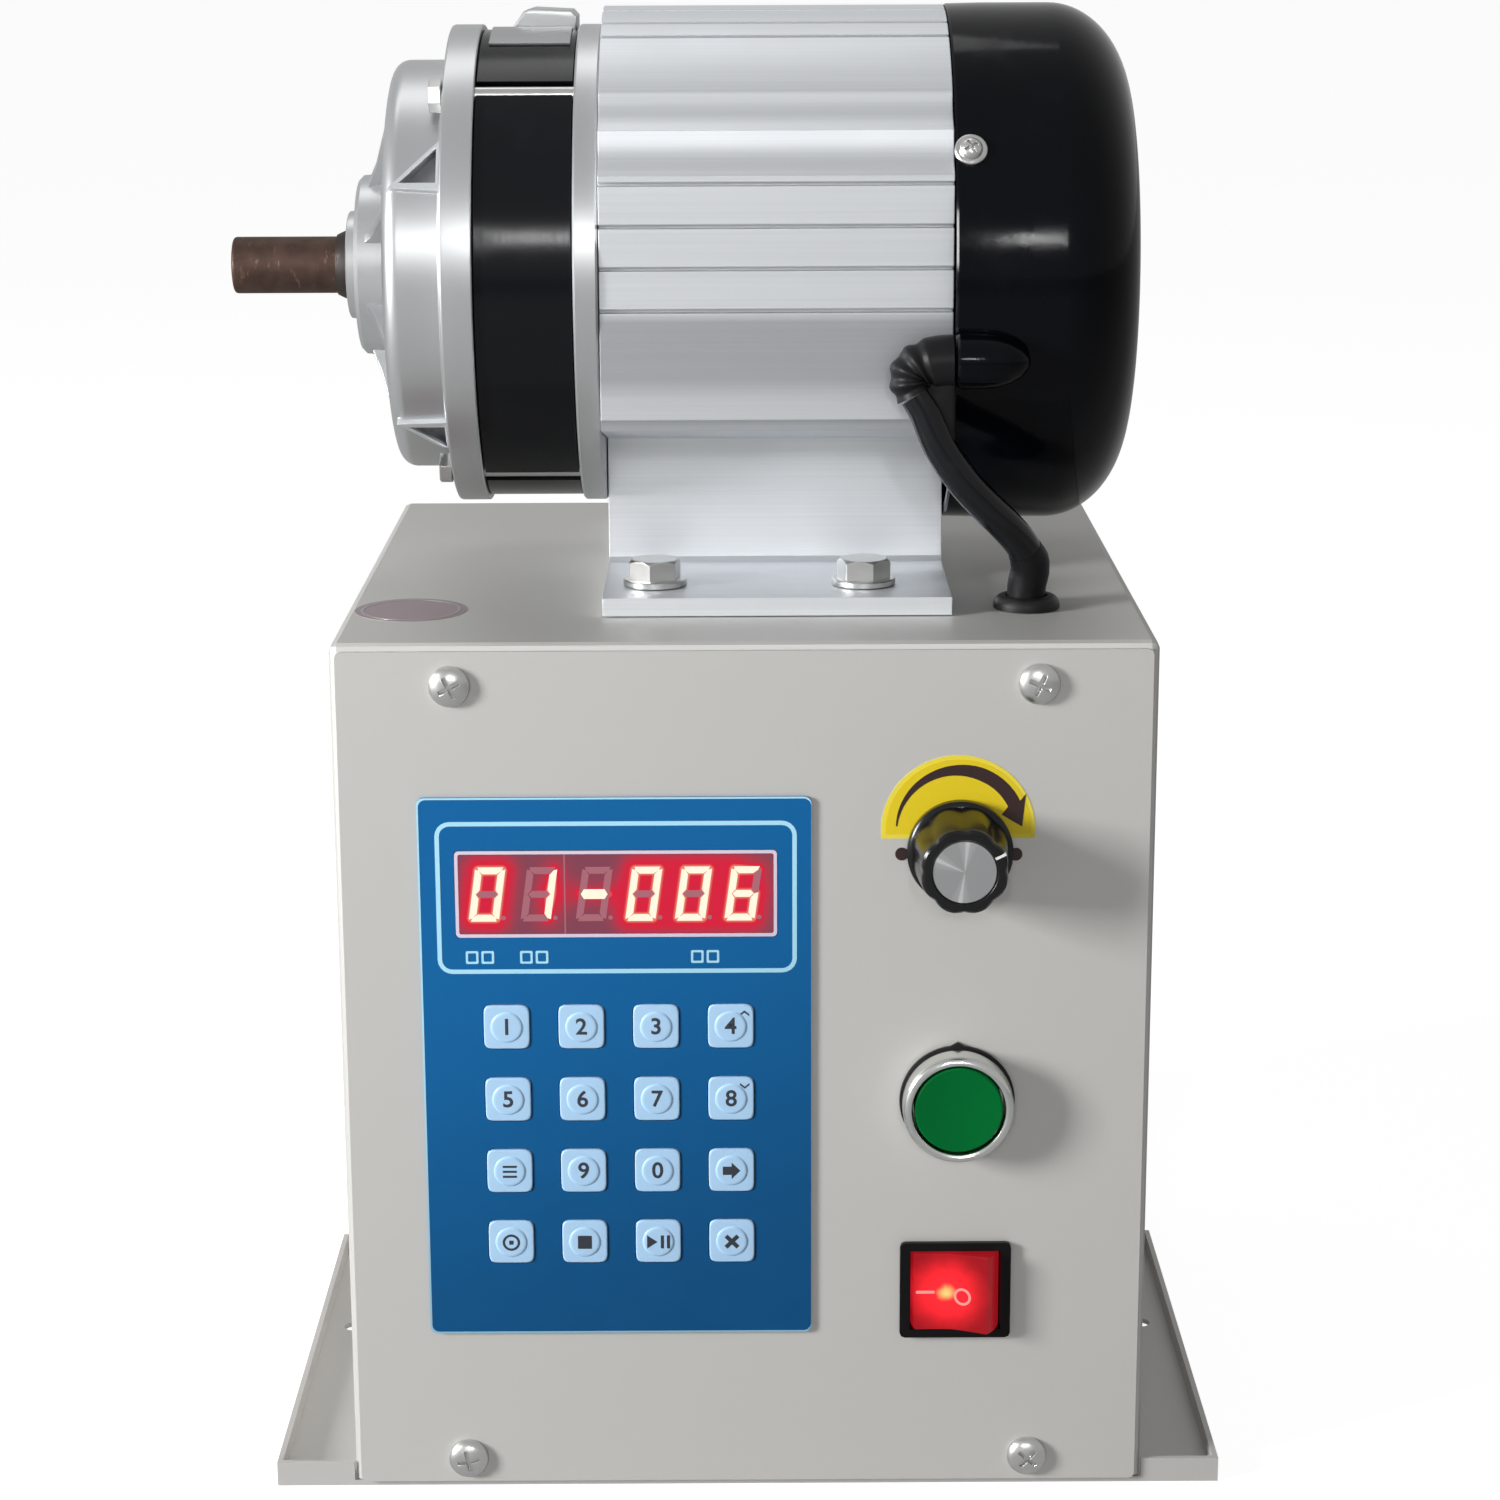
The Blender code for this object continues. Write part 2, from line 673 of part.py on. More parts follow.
def cabinet_shell():
    """Roof and sides folded from one sheet, with flanges round the front opening."""
    half = CABINET_WIDTH / 2
    low = (-half, SHELL_FRONT, SHELL_BOTTOM)
    high = (half, FRONT + CABINET_DEPTH, CABINET_HEIGHT)
    mesh = block_mesh("cabinet_shell", low, high)
    shape = bmesh.new()
    shape.from_mesh(mesh)
    away = [face for face in shape.faces if face.normal.z < -0.5 or face.normal.y > 0.5]
    bmesh.ops.delete(shape, geom=away, context="FACES")
    folds = [edge for edge in shape.edges if len(edge.link_faces) == 2]
    bmesh.ops.bevel(
        shape, geom=folds, offset=BEND_RADIUS, segments=BEND_STEPS, profile=0.5, affect="EDGES"
    )
    shape.to_mesh(mesh)
    shape.free()
    shell = add_piece("cabinet_shell", shade(mesh), "cabinet_paint")
    sheet = shell.modifiers.new("sheet", "SOLIDIFY")
    sheet.thickness = SHEET
    sheet.offset = -1
    sheet.use_even_offset = True
    opening = block_mesh(
        "front_opening",
        (-half + SIDE_FLANGE, SHELL_FRONT - OVERRUN, -OVERRUN),
        (half - SIDE_FLANGE, SHELL_FRONT + SHEET + OVERRUN, CABINET_HEIGHT - TOP_FLANGE),
    )
    cut(shell, add_helper("front_opening", opening))
    for index, (x, y) in enumerate(FOOT_BOLT_PLACES):
        nut = rod_mesh("weld_nut", WELD_NUT_RADIUS, -SHEET / 2 - WELD_NUT_HEIGHT, -SHEET / 2)
        join(shell, add_helper(f"weld_nut_{index + 1}", nut, (x, y, CABINET_HEIGHT)))
        hole = rod_mesh("roof_hole", FOOT_BOLT_RADIUS + FIT, -SHEET - WELD_NUT_HEIGHT - OVERRUN, OVERRUN)
        cut(shell, add_helper(f"roof_hole_{index + 1}", hole, (x, y, CABINET_HEIGHT)))
    hole = rod_mesh("grommet_hole", GROMMET_NECK_RADIUS + FIT, -SHEET - OVERRUN, OVERRUN, RING_SIDES)
    cut(shell, add_helper("grommet_hole", hole, (GROMMET_X, GROMMET_Y, CABINET_HEIGHT)))
    cut_screw_holes(shell, "shell")


def key_field():
    """The centre, width and height of the block of keys."""
    width = (KEY_COLUMNS - 1) * KEY_PITCH_X
    height = (KEY_ROWS - 1) * KEY_PITCH_Z
    left, bottom = OVERLAY_X + KEY_LEFT, OVERLAY_BOTTOM + KEY_BOTTOM
    return (left + width / 2, bottom + height / 2), width, height


def window_centre():
    return (
        OVERLAY_X + WINDOW_LEFT + WINDOW_WIDTH / 2,
        OVERLAY_BOTTOM + WINDOW_BOTTOM + WINDOW_HEIGHT / 2,
    )


def front_panel():
    half = CABINET_WIDTH / 2 - PANEL_INSET
    outline = rectangle((-half, SHELL_BOTTOM), (half, CABINET_HEIGHT - PANEL_INSET), PANEL_CORNER)
    ledge = KEY_SIZE + 2 * (KEY_LEDGE + FIT)
    field, width, height = key_field()
    holes = [circle(SCREW_RADIUS + FIT, place) for place in SCREW_PLACES]
    holes.append(about(field, width + ledge, height + ledge, WINDOW_CORNER))
    holes.append(about(window_centre(), WINDOW_WIDTH, WINDOW_HEIGHT))
    holes.append(circle(BUSHING_RADIUS + FIT, (CONTROLS_X, KNOB_Z)))
    holes.append(circle(BUTTON_BARREL_RADIUS + FIT, (CONTROLS_X, BUTTON_Z), RING_SIDES))
    well = 2 * (ROCKER_WELL_WALL + FIT)
    holes.append(about((CONTROLS_X, ROCKER_Z), ROCKER_WELL_WIDTH + well, ROCKER_WELL_HEIGHT + well))
    mesh = plate_mesh("front_panel", [outline, *holes], SHEET)
    add_piece("front_panel", mesh, "cabinet_paint", (0, PANEL_BACK, 0), FACING_FRONT)


def rear_panel():
    """A plate in the shell's open back, with vent slots and the mains inlet's opening."""
    top = CABINET_HEIGHT - SHEET - FIT
    outline = rectangle((-INNER_HALF, SHELL_BOTTOM), (INNER_HALF, top), BEND_RADIUS)
    vents = VENT_RISE_SHARE * CABINET_HEIGHT
    holes = [
        about((0, vents + index * VENT_PITCH), VENT_LENGTH, VENT_WIDTH, VENT_WIDTH / 3)
        for index in range(VENT_COUNT)
    ]
    holes.append(about((INLET_X, INLET_Z), INLET_BODY_WIDTH + 2 * FIT, INLET_BODY_HEIGHT + 2 * FIT))
    mesh = plate_mesh("rear_panel", [outline, *holes], SHEET)
    add_piece("rear_panel", mesh, "cabinet_paint", (0, FRONT + CABINET_DEPTH, 0), FACING_FRONT)


def mains_inlet():
    """An inlet with a flange outside the rear panel and three pins in its well."""
    at = (INLET_X, FRONT + CABINET_DEPTH, INLET_Z)
    flange = plate_mesh(
        "mains_inlet",
        [about((0, 0), INLET_FLANGE_WIDTH, INLET_FLANGE_HEIGHT, INLET_FLANGE_THICKNESS)],
        INLET_FLANGE_THICKNESS,
        -FIT - INLET_FLANGE_THICKNESS,
    )
    inlet = add_piece("mains_inlet", flange, "rocker_black", at, FACING_FRONT)
    width, height = INLET_BODY_WIDTH / 2, INLET_BODY_HEIGHT / 2
    face = -FIT - INLET_FLANGE_THICKNESS
    body = block_mesh("inlet_body", (-width, -height, face / 2), (width, height, INLET_BODY_DEPTH))
    join(inlet, add_helper("inlet_body", body, at, FACING_FRONT))
    width, height = width - INLET_WALL, height - INLET_WALL
    well = block_mesh(
        "inlet_well", (-width, -height, face - OVERRUN), (width, height, face + INLET_WELL_DEPTH)
    )
    cut(inlet, add_helper("inlet_well", well, at, FACING_FRONT))
    for step in (-1, 0, 1):
        x = step * INLET_PIN_PITCH
        root = face + INLET_WELL_DEPTH
        low = (x - INLET_PIN_WIDTH / 2, -INLET_PIN_HEIGHT / 2, root - INLET_PIN_LENGTH)
        high = (x + INLET_PIN_WIDTH / 2, INLET_PIN_HEIGHT / 2, root + INLET_WALL)
        join(inlet, add_helper(f"inlet_pin_{step + 2}", block_mesh("pin", low, high), at, FACING_FRONT))


def panel_screws():
    """Pan-head screws with a cross recess, which share one mesh."""
    head, height = SCREW_HEAD_RADIUS, SCREW_HEAD_HEIGHT
    rise_shares = (1.0, 0.82, 0.40)
    reach_shares = (0, 0.62, 0.95)
    profile = [(head * reach, height * rise) for reach, rise in zip(reach_shares, rise_shares)]
    profile += [(head, 0), (SCREW_RADIUS, 0), (SCREW_RADIUS, -SCREW_LENGTH), (0, -SCREW_LENGTH)]
    mesh = turned_mesh("panel_screw", profile, ROD_SIDES, closed=False)
    blank = add_helper("screw_blank", mesh)
    for index, (x, y) in enumerate(((RECESS_LENGTH, RECESS_WIDTH), (RECESS_WIDTH, RECESS_LENGTH))):
        low = (-x / 2, -y / 2, height - RECESS_DEPTH)
        high = (x / 2, y / 2, height + OVERRUN)
        cut(blank, add_helper(f"recess_{index + 1}", block_mesh("recess", low, high)))
    mesh = settle(blank)
    for index, (x, z) in enumerate(SCREW_PLACES):
        add_piece(f"panel_screw_{index + 1}", mesh, "zinc", (x, SCREW_SEAT, z), FACING_FRONT)


def keypad_overlay():
    low = (OVERLAY_X, OVERLAY_BOTTOM)
    high = (OVERLAY_X + OVERLAY_WIDTH, OVERLAY_BOTTOM + OVERLAY_HEIGHT)
    opening = KEY_SIZE + 2 * FIT
    holes = [about(place, opening, opening, KEY_CORNER) for place in KEY_PLACES]
    holes.append(about(window_centre(), WINDOW_WIDTH, WINDOW_HEIGHT, WINDOW_CORNER))
    mesh = plate_mesh("keypad_overlay", [rectangle(low, high, OVERLAY_CORNER), *holes], OVERLAY_SHEET)
    add_piece("keypad_overlay", mesh, "overlay_blue", (0, OVERLAY_BACK, 0), FACING_FRONT)
    lens = about(window_centre(), WINDOW_WIDTH - 2 * FIT, WINDOW_HEIGHT - 2 * FIT, WINDOW_CORNER)
    mesh = plate_mesh("display_window", [lens], OVERLAY_SHEET)
    add_piece("display_window", mesh, "window_red", (0, OVERLAY_BACK, 0), FACING_FRONT)


def keys():
    """Sixteen keys with a ledge behind the overlay, which share one mesh."""
    ledge = KEY_SIZE + 2 * KEY_LEDGE
    blank = add_helper(
        "key_blank",
        plate_mesh(
            "key", [about((0, 0), ledge, ledge, KEY_CORNER)], KEY_LEDGE_THICKNESS, -KEY_LEDGE_THICKNESS
        ),
    )
    rise = FIT + OVERLAY_SHEET + KEY_STANDOUT
    cap = plate_mesh("cap", [about((0, 0), KEY_SIZE, KEY_SIZE, KEY_CORNER)], rise + FIT, -FIT)
    shape = bmesh.new()
    shape.from_mesh(cap)
    rim = [edge for edge in shape.edges if all(vert.co.z > rise - FIT for vert in edge.verts)]
    rim = [edge for edge in rim if not edge.is_manifold or edge.calc_face_angle() > 1]
    bmesh.ops.bevel(shape, geom=rim, offset=KEY_RIM, segments=1, profile=0.5, affect="EDGES")
    shape.to_mesh(cap)
    shape.free()
    join(blank, add_helper("key_cap", cap))
    mesh = settle(blank)
    for index, (x, z) in enumerate(KEY_PLACES):
        add_piece(f"key_{index + 1:02d}", mesh, "key_blue", (x, FRONT, z), FACING_FRONT)


def control_board():
    """The board with its display, its transformer and two capacitors."""
    low = (OVERLAY_X + BOARD_MARGIN, OVERLAY_BOTTOM + BOARD_MARGIN)
    high = (
        OVERLAY_X + OVERLAY_WIDTH - BOARD_MARGIN,
        OVERLAY_BOTTOM + OVERLAY_HEIGHT - BOARD_MARGIN,
    )
    mesh = plate_mesh("control_board", [rectangle(low, high)], BOARD_SHEET, -BOARD_SHEET)
    board = add_piece("control_board", mesh, "board_green", (0, BOARD_FRONT, 0), FACING_FRONT)
    x, z = window_centre()
    width, height = WINDOW_WIDTH / 2 - FIT, WINDOW_HEIGHT / 2 - FIT
    display = block_mesh(
        "display",
        (x - width, FRONT, z - height),
        (x + width, FRONT + DISPLAY_DEPTH, z + height),
    )
    join(board, add_helper("display", display))
    back = BOARD_FRONT + BOARD_SHEET / 2
    (x, z), _, _ = key_field()
    half = TRANSFORMER_SIZE / 2
    transformer = block_mesh(
        "transformer", (x - half, back, z - half), (x + half, back + TRANSFORMER_DEPTH, z + half)
    )
    join(board, add_helper("transformer", transformer))
    for side in (-1, 1):
        at = (x + side * (half + CAPACITOR_RADIUS + OVERRUN), back, z)
        can = rod_mesh("capacitor", CAPACITOR_RADIUS, -CAPACITOR_HEIGHT, 0)
        join(board, add_helper(f"capacitor_{side + 2}", can, at, FACING_FRONT))


def knob_outline(radius):
    """A circle with lobes for the fingers."""
    points_per_lobe = 6
    count = KNOB_LOBES * points_per_lobe
    wave = [
        radius - KNOB_LOBE_DEPTH * (1 - abs(math.sin(math.pi * step / points_per_lobe)))
        for step in range(count)
    ]
    return [polar(reach, 2 * math.pi * step / count) for step, reach in enumerate(wave)]


def speed_knob():
    """The knob with its spindle, on the potentiometer's axis."""
    axis = add_joint_axis("knob_axis", (CONTROLS_X, FRONT, KNOB_Z), FACING_FRONT)
    top = KNOB_DEPTH
    skirt_top = KNOB_STANDOFF + KNOB_SKIRT_THICKNESS
    body = plate_mesh("speed_knob", [knob_outline(KNOB_BODY_RADIUS)], top - KNOB_STANDOFF, KNOB_STANDOFF)
    taper = KNOB_FACE_RADIUS / KNOB_BODY_RADIUS
    for vertex in body.vertices:
        if vertex.co.z > skirt_top:
            vertex.co.x *= taper
            vertex.co.y *= taper
    knob = add_piece("speed_knob", body, "knob_black", parent=axis)
    skirt = rod_mesh("skirt", KNOB_SKIRT_RADIUS, KNOB_STANDOFF, skirt_top, RING_SIDES)
    spindle = rod_mesh("spindle", SPINDLE_RADIUS, -SPINDLE_LENGTH, skirt_top)
    recess = rod_mesh("recess", KNOB_DISC_RADIUS, top - KNOB_DISC_RECESS, top + OVERRUN, RING_SIDES)
    at = (CONTROLS_X, FRONT, KNOB_Z)
    join(knob, add_helper("knob_skirt", skirt, at, FACING_FRONT))
    join(knob, add_helper("knob_spindle", spindle, at, FACING_FRONT))
    cut(knob, add_helper("knob_recess", recess, at, FACING_FRONT))


def potentiometer():
    """A round case behind the panel, with a threaded bushing through it."""
    face = -SHEET - FIT
    bore = running_bore(SPINDLE_RADIUS, ROD_SIDES)
    floor = -SPINDLE_LENGTH - POT_FLOOR
    profile = [
        (BUSHING_RADIUS, FIT),
        (BUSHING_RADIUS, face),
        (POT_RADIUS, face),
        (POT_RADIUS, face - POT_DEPTH),
        (0, face - POT_DEPTH),
        (0, floor),
        (bore, floor),
        (bore, FIT),
    ]
    mesh = turned_mesh("potentiometer", profile, ROD_SIDES)
    add_piece("potentiometer", mesh, "zinc", (CONTROLS_X, FRONT, KNOB_Z), FACING_FRONT)


def push_button():
    """A chrome rim with its barrel through the panel, and the cap with its plunger."""
    axis = add_joint_axis("button_axis", (CONTROLS_X, FRONT, BUTTON_Z), FACING_FRONT)
    rim, top = BUTTON_RIM_RADIUS, BUTTON_RIM_HEIGHT
    well = rim - BUTTON_RIM_WALL
    bore = running_bore(PLUNGER_RADIUS, RING_SIDES)
    profile = [
        (rim - BUTTON_RIM_ROUND, top),
        (rim, top - BUTTON_RIM_ROUND),
        (rim, FIT),
        (BUTTON_BARREL_RADIUS, FIT),
        (BUTTON_BARREL_RADIUS, -BUTTON_BARREL_LENGTH),
        (bore, -BUTTON_BARREL_LENGTH),
        (bore, FIT + BUTTON_FLOOR),
        (well, FIT + BUTTON_FLOOR),
        (well, top - BUTTON_RIM_ROUND / 2),
        (well + BUTTON_RIM_ROUND / 2, top),
    ]
    at = (CONTROLS_X, FRONT, BUTTON_Z)
    add_piece("button_bezel", turned_mesh("button_bezel", profile, RING_SIDES), "chrome", at, FACING_FRONT)
    cap = well * math.cos(math.pi / RING_SIDES) - RUNNING_FIT
    face = top - CAP_SINK
    back = face - CAP_THICKNESS
    profile = [
        (0, face - CAP_DISH),
        (cap / 2, face - CAP_DISH / 2),
        (cap - CAP_DISH, face),
        (cap, face - CAP_DISH),
        (cap, back),
        (PLUNGER_RADIUS, back),
        (PLUNGER_RADIUS, -BUTTON_BARREL_LENGTH),
        (0, -BUTTON_BARREL_LENGTH),
    ]
    mesh = turned_mesh("green_button", profile, RING_SIDES, closed=False)
    add_piece("green_button", mesh, "button_green", parent=axis)


def rocker_switch():
    """A bezel with a well behind it, and a paddle that rocks about an upright pivot."""
    at = (CONTROLS_X, FRONT, ROCKER_Z)
    width, height = ROCKER_WELL_WIDTH, ROCKER_WELL_HEIGHT
    bezel = about((0, 0), ROCKER_BEZEL_WIDTH, ROCKER_BEZEL_HEIGHT, ROCKER_BEZEL_CORNER)
    mesh = plate_mesh("rocker_housing", [bezel], ROCKER_BEZEL_THICKNESS, FIT)
    housing = add_piece("rocker_housing", mesh, "rocker_black", at, FACING_FRONT)
    half = (width / 2 + ROCKER_WELL_WALL, height / 2 + ROCKER_WELL_WALL)
    body = block_mesh("body", (-half[0], -half[1], -ROCKER_BODY_DEPTH), (*half, FIT * 2))
    join(housing, add_helper("rocker_body", body, at, FACING_FRONT))
    low = (-width / 2, -height / 2, -ROCKER_WELL_DEPTH)
    well = block_mesh("well", low, (width / 2, height / 2, ROCKER_BEZEL_THICKNESS + OVERRUN))
    cut(housing, add_helper("rocker_well", well, at, FACING_FRONT))
    pivot = (CONTROLS_X, FRONT + ROCKER_PIVOT_DEPTH, ROCKER_Z)
    reach = width / 2 - RUNNING_FIT
    front_angle = math.asin((ROCKER_NOSE + ROCKER_PIVOT_DEPTH) / reach)
    back_angle = math.asin(ROCKER_BACK / reach)
    sweep = [
        -front_angle + (front_angle + back_angle) * step / ROCKER_ARC_STEPS
        for step in range(ROCKER_ARC_STEPS + 1)
    ]
    right_end = [polar(reach, angle) for angle in sweep]
    left_end = [(-x, y) for x, y in reversed(right_end)]
    dip = (0, -(ROCKER_NOSE + ROCKER_PIVOT_DEPTH - ROCKER_DIP))
    paddle = plate_mesh("rocker", [[*right_end, *left_end, dip]], height - 2 * RUNNING_FIT)
    half_height = height / 2 - RUNNING_FIT
    add_piece(
        "rocker_paddle", paddle, "rocker_red", (pivot[0], pivot[1], pivot[2] - half_height), (0, 0, -ROCKER_TILT)
    )


def frame_half_outline():
    """One side of the motor frame's section, from its foot up to its crown, about the motor's axis."""
    foot_bottom = FOOT_BOTTOM - AXIS_Z
    foot_top = FOOT_TOP - AXIS_Z
    points = [
        (FOOT_HALF, foot_bottom),
        (FOOT_HALF, foot_top),
        (PEDESTAL_HALF, foot_top),
        (PEDESTAL_HALF, -FRAME_UNDERSIDE),
        (FRAME_FLAT, -FRAME_LEDGE),
    ]
    for index in reversed(range(SLOT_COUNT)):
        middle = SLOT_TOP - index * SLOT_PITCH
        points += [
            (FRAME_FLAT, middle - SLOT_WIDTH / 2),
            (FRAME_FLAT - SLOT_DEPTH, middle - SLOT_WIDTH / 2),
            (FRAME_FLAT - SLOT_DEPTH, middle + SLOT_WIDTH / 2),
            (FRAME_FLAT, middle + SLOT_WIDTH / 2),
        ]
    start = math.acos(FRAME_FLAT / FRAME_RADIUS)
    for step in range(FLUTE_COUNT * FLUTE_STEPS):
        dip = FLUTE_DEPTH * abs(math.sin(math.pi * step / FLUTE_STEPS))
        points.append(polar(FRAME_RADIUS - dip, start + FLUTE_PITCH * step / FLUTE_STEPS))
    crown = start + FLUTE_COUNT * FLUTE_PITCH
    half_groove = TOP_GROOVE_WIDTH / FRAME_RADIUS / 2
    groove_start, groove_end = TOP_GROOVE_ANGLE - half_groove, TOP_GROOVE_ANGLE + half_groove
    points += [
        polar(FRAME_RADIUS, crown + (groove_start - crown) * step / TOP_ARC_STEPS)
        for step in range(TOP_ARC_STEPS + 1)
    ]
    points += [
        polar(FRAME_RADIUS - TOP_GROOVE_DEPTH, groove_start),
        polar(FRAME_RADIUS - TOP_GROOVE_DEPTH, groove_end),
    ]
    points += [
        polar(FRAME_RADIUS, groove_end + (math.pi / 2 - groove_end) * step / TOP_ARC_STEPS)
        for step in range(TOP_ARC_STEPS)
    ]
    return points


def motor_frame():
    """The fluted frame with its pedestal and foot, bored for the stator."""
    half = frame_half_outline()
    outline = half + [(0, FRAME_RADIUS)] + [(-x, z) for x, z in reversed(half)]
    bore = circle(FRAME_BORE_RADIUS, sides=DRUM_SIDES)
    mesh = plate_mesh("motor_frame", [outline, bore], FRAME_LENGTH, FRAME_START)
    frame = add_piece("motor_frame", mesh, "extruded_aluminium", (0, 0, AXIS_Z), ALONG_X)
    for index, (x, y) in enumerate(FOOT_BOLT_PLACES):
        hole = rod_mesh("foot_hole", FOOT_BOLT_RADIUS + FIT, -OVERRUN, FOOT_THICKNESS + OVERRUN)
        cut(frame, add_helper(f"foot_hole_{index + 1}", hole, (x, y, FOOT_BOTTOM)))


def add_on_axis(name, mesh, finish_name, parent=None):
    """A piece on the motor's axis, its own Z along the machine's X."""
    at = ORIGIN if parent else (0, 0, AXIS_Z)
    return add_piece(name, mesh, finish_name, at, UPRIGHT if parent else ALONG_X, parent)


def motor_end_cover():
    """A bell with the rear bearing's seat inside it."""
    radius, back = END_COVER_RADIUS, END_COVER_BACK
    inner = radius - END_COVER_WALL
    floor = back - END_COVER_FLOOR
    seat = BEARING_RADIUS + FIT
    shoulder = radius - END_COVER_ROUND
    corner = [
        (shoulder + END_COVER_ROUND * math.sin(angle), back - END_COVER_ROUND * (1 - math.cos(angle)))
        for angle in (0, math.pi / 6, math.pi / 3, math.pi / 2)
    ]
    profile = [
        (0, back),
        *corner,
        (radius, END_COVER_START),
        (inner, END_COVER_START),
        (inner, back - END_COVER_ROUND),
        (shoulder, floor),
        (END_BOSS_RADIUS, floor),
        (END_BOSS_RADIUS, REAR_BEARING_START),
        (seat, REAR_BEARING_START),
        (seat, floor),
        (0, floor),
    ]
    mesh = turned_mesh("motor_end_cover", profile, DRUM_SIDES, closed=False)
    cover = add_on_axis("motor_end_cover", mesh, "gloss_black")
    outlet_end = END_COVER_START + OUTLET_LENGTH
    outlet = rod_mesh("cable_outlet", OUTLET_RADIUS, END_COVER_START, outlet_end)
    join(cover, add_helper("cable_outlet", outlet, (0, BOOT_Y, AXIS_Z - BOOT_DROP), ALONG_X))


def stator():
    """The laminated core with a winding head at each end."""
    start, end = STATOR_X, STATOR_X + STATOR_LENGTH
    outer = FRAME_BORE_RADIUS * math.cos(math.pi / DRUM_SIDES) - FIT
    inner = STATOR_INNER_RADIUS
    high, low = outer - WINDING_MARGIN, inner + WINDING_MARGIN
    profile = [
        (high, end + WINDING_LENGTH),
        (high, end),
        (outer, end),
        (outer, start),
        (high, start),
        (high, start - WINDING_LENGTH),
        (low, start - WINDING_LENGTH),
        (low, start),
        (inner, start),
        (inner, end),
        (low, end),
        (low, end + WINDING_LENGTH),
    ]
    add_on_axis("stator", turned_mesh("stator", profile, RING_SIDES), "core_steel")


def involute(angle):
    return math.tan(angle) - angle


def gear_outline(teeth, inner_radius, outer_radius, widening):
    """Involute teeth about the centre, a tooth on +X; widening is added to each tooth's thickness."""
    pitch_radius = MODULE * teeth / 2
    base_radius = pitch_radius * math.cos(PRESSURE_ANGLE)

    def half_angle(radius):
        pressure = math.acos(min(1.0, base_radius / radius))
        half_tooth = math.pi / (2 * teeth) + widening / (2 * pitch_radius)
        return half_tooth + involute(PRESSURE_ANGLE) - involute(pressure)

    radii = (inner_radius, pitch_radius, outer_radius)
    points = []
    for tooth in range(teeth):
        middle = 2 * math.pi * tooth / teeth
        points += [polar(radius, middle - half_angle(radius)) for radius in radii]
        points += [polar(radius, middle + half_angle(radius)) for radius in reversed(radii)]
    return points


def external_teeth(teeth):
    pitch_radius = MODULE * teeth / 2
    return gear_outline(
        teeth, pitch_radius - DEDENDUM_SHARE * MODULE, pitch_radius + ADDENDUM_SHARE * MODULE, -BACKLASH
    )


def turned_outline(outline, angle):
    cosine, sine = math.cos(angle), math.sin(angle)
    return [(x * cosine - y * sine, x * sine + y * cosine) for x, y in outline]


def rotor():
    """The rotor core on its shaft, with the sun pinion at its front end."""
    axis = add_joint_axis("rotor_axis", (0, 0, AXIS_Z), ALONG_X)
    core, shaft = ROTOR_CORE_RADIUS, ROTOR_SHAFT_RADIUS
    core_start, core_end = STATOR_X, STATOR_X + STATOR_LENGTH
    journal = shaft + SHOULDER
    rear_shoulder = REAR_BEARING_START - FIT
    front_shoulder = ROTOR_BEARING_START + BEARING_WIDTH + FIT
    profile = [
        (0, REAR_BEARING_START + BEARING_WIDTH),
        (shaft, REAR_BEARING_START + BEARING_WIDTH),
        (shaft, rear_shoulder),
        (journal, rear_shoulder),
        (journal, core_end),
        (core, core_end),
        (core, core_start),
        (journal, core_start),
        (journal, front_shoulder),
        (shaft, front_shoulder),
        (shaft, GEAR_END - SHOULDER),
        (0, GEAR_END - SHOULDER),
    ]
    mesh = turned_mesh("rotor", profile, RING_SIDES, closed=False)
    piece = add_on_axis("rotor", mesh, "gear_steel", axis)
    teeth = turned_outline(external_teeth(SUN_TEETH), math.pi / 2)
    pinion = plate_mesh("pinion", [teeth], GEAR_END - GEAR_START, GEAR_START)
    join(piece, add_helper("sun_pinion", pinion, (0, 0, AXIS_Z), ALONG_X))


def bearing_mesh(name, bore_radius, outer_radius, start, sides):
    """A ball bearing with a groove between its races on the side that shows before assembly."""
    end = start + BEARING_WIDTH
    inner_race, outer_race = bore_radius + BEARING_RACE, outer_radius - BEARING_RACE
    profile = [
        (outer_radius, end),
        (outer_radius, start),
        (outer_race, start),
        (outer_race, start + BEARING_GROOVE),
        (inner_race, start + BEARING_GROOVE),
        (inner_race, start),
        (bore_radius, start),
        (bore_radius, end),
    ]
    return turned_mesh(name, profile, sides)


def bearings():
    bore = running_bore(ROTOR_SHAFT_RADIUS, ROD_SIDES)
    seat = BEARING_RADIUS * math.cos(math.pi / ROD_SIDES)
    for name, start in (
        ("rotor_front_bearing", ROTOR_BEARING_START),
        ("rotor_rear_bearing", REAR_BEARING_START),
    ):
        add_on_axis(name, bearing_mesh(name, bore, seat, start, ROD_SIDES), "gear_steel")
    bore = running_bore(OUTPUT_SHAFT_RADIUS, ROD_SIDES)
    seat = OUTPUT_BEARING_RADIUS * math.cos(math.pi / ROD_SIDES)
    name = "output_bearing"
    add_on_axis(name, bearing_mesh(name, bore, seat, OUTPUT_BEARING_START, ROD_SIDES), "gear_steel")


def cut_tie_holes(piece, label, start, end):
    """The four holes for the tie bolts, between start and end along the motor's axis."""
    for index, angle in enumerate(TIE_ANGLES):
        y, z = polar(TIE_CIRCLE_RADIUS, angle)
        hole = rod_mesh("tie_hole", TIE_RADIUS + FIT, start - OVERRUN, end + OVERRUN)
        cut(piece, add_helper(f"{label}_tie_hole_{index + 1}", hole, (0, y, AXIS_Z + z), ALONG_X))


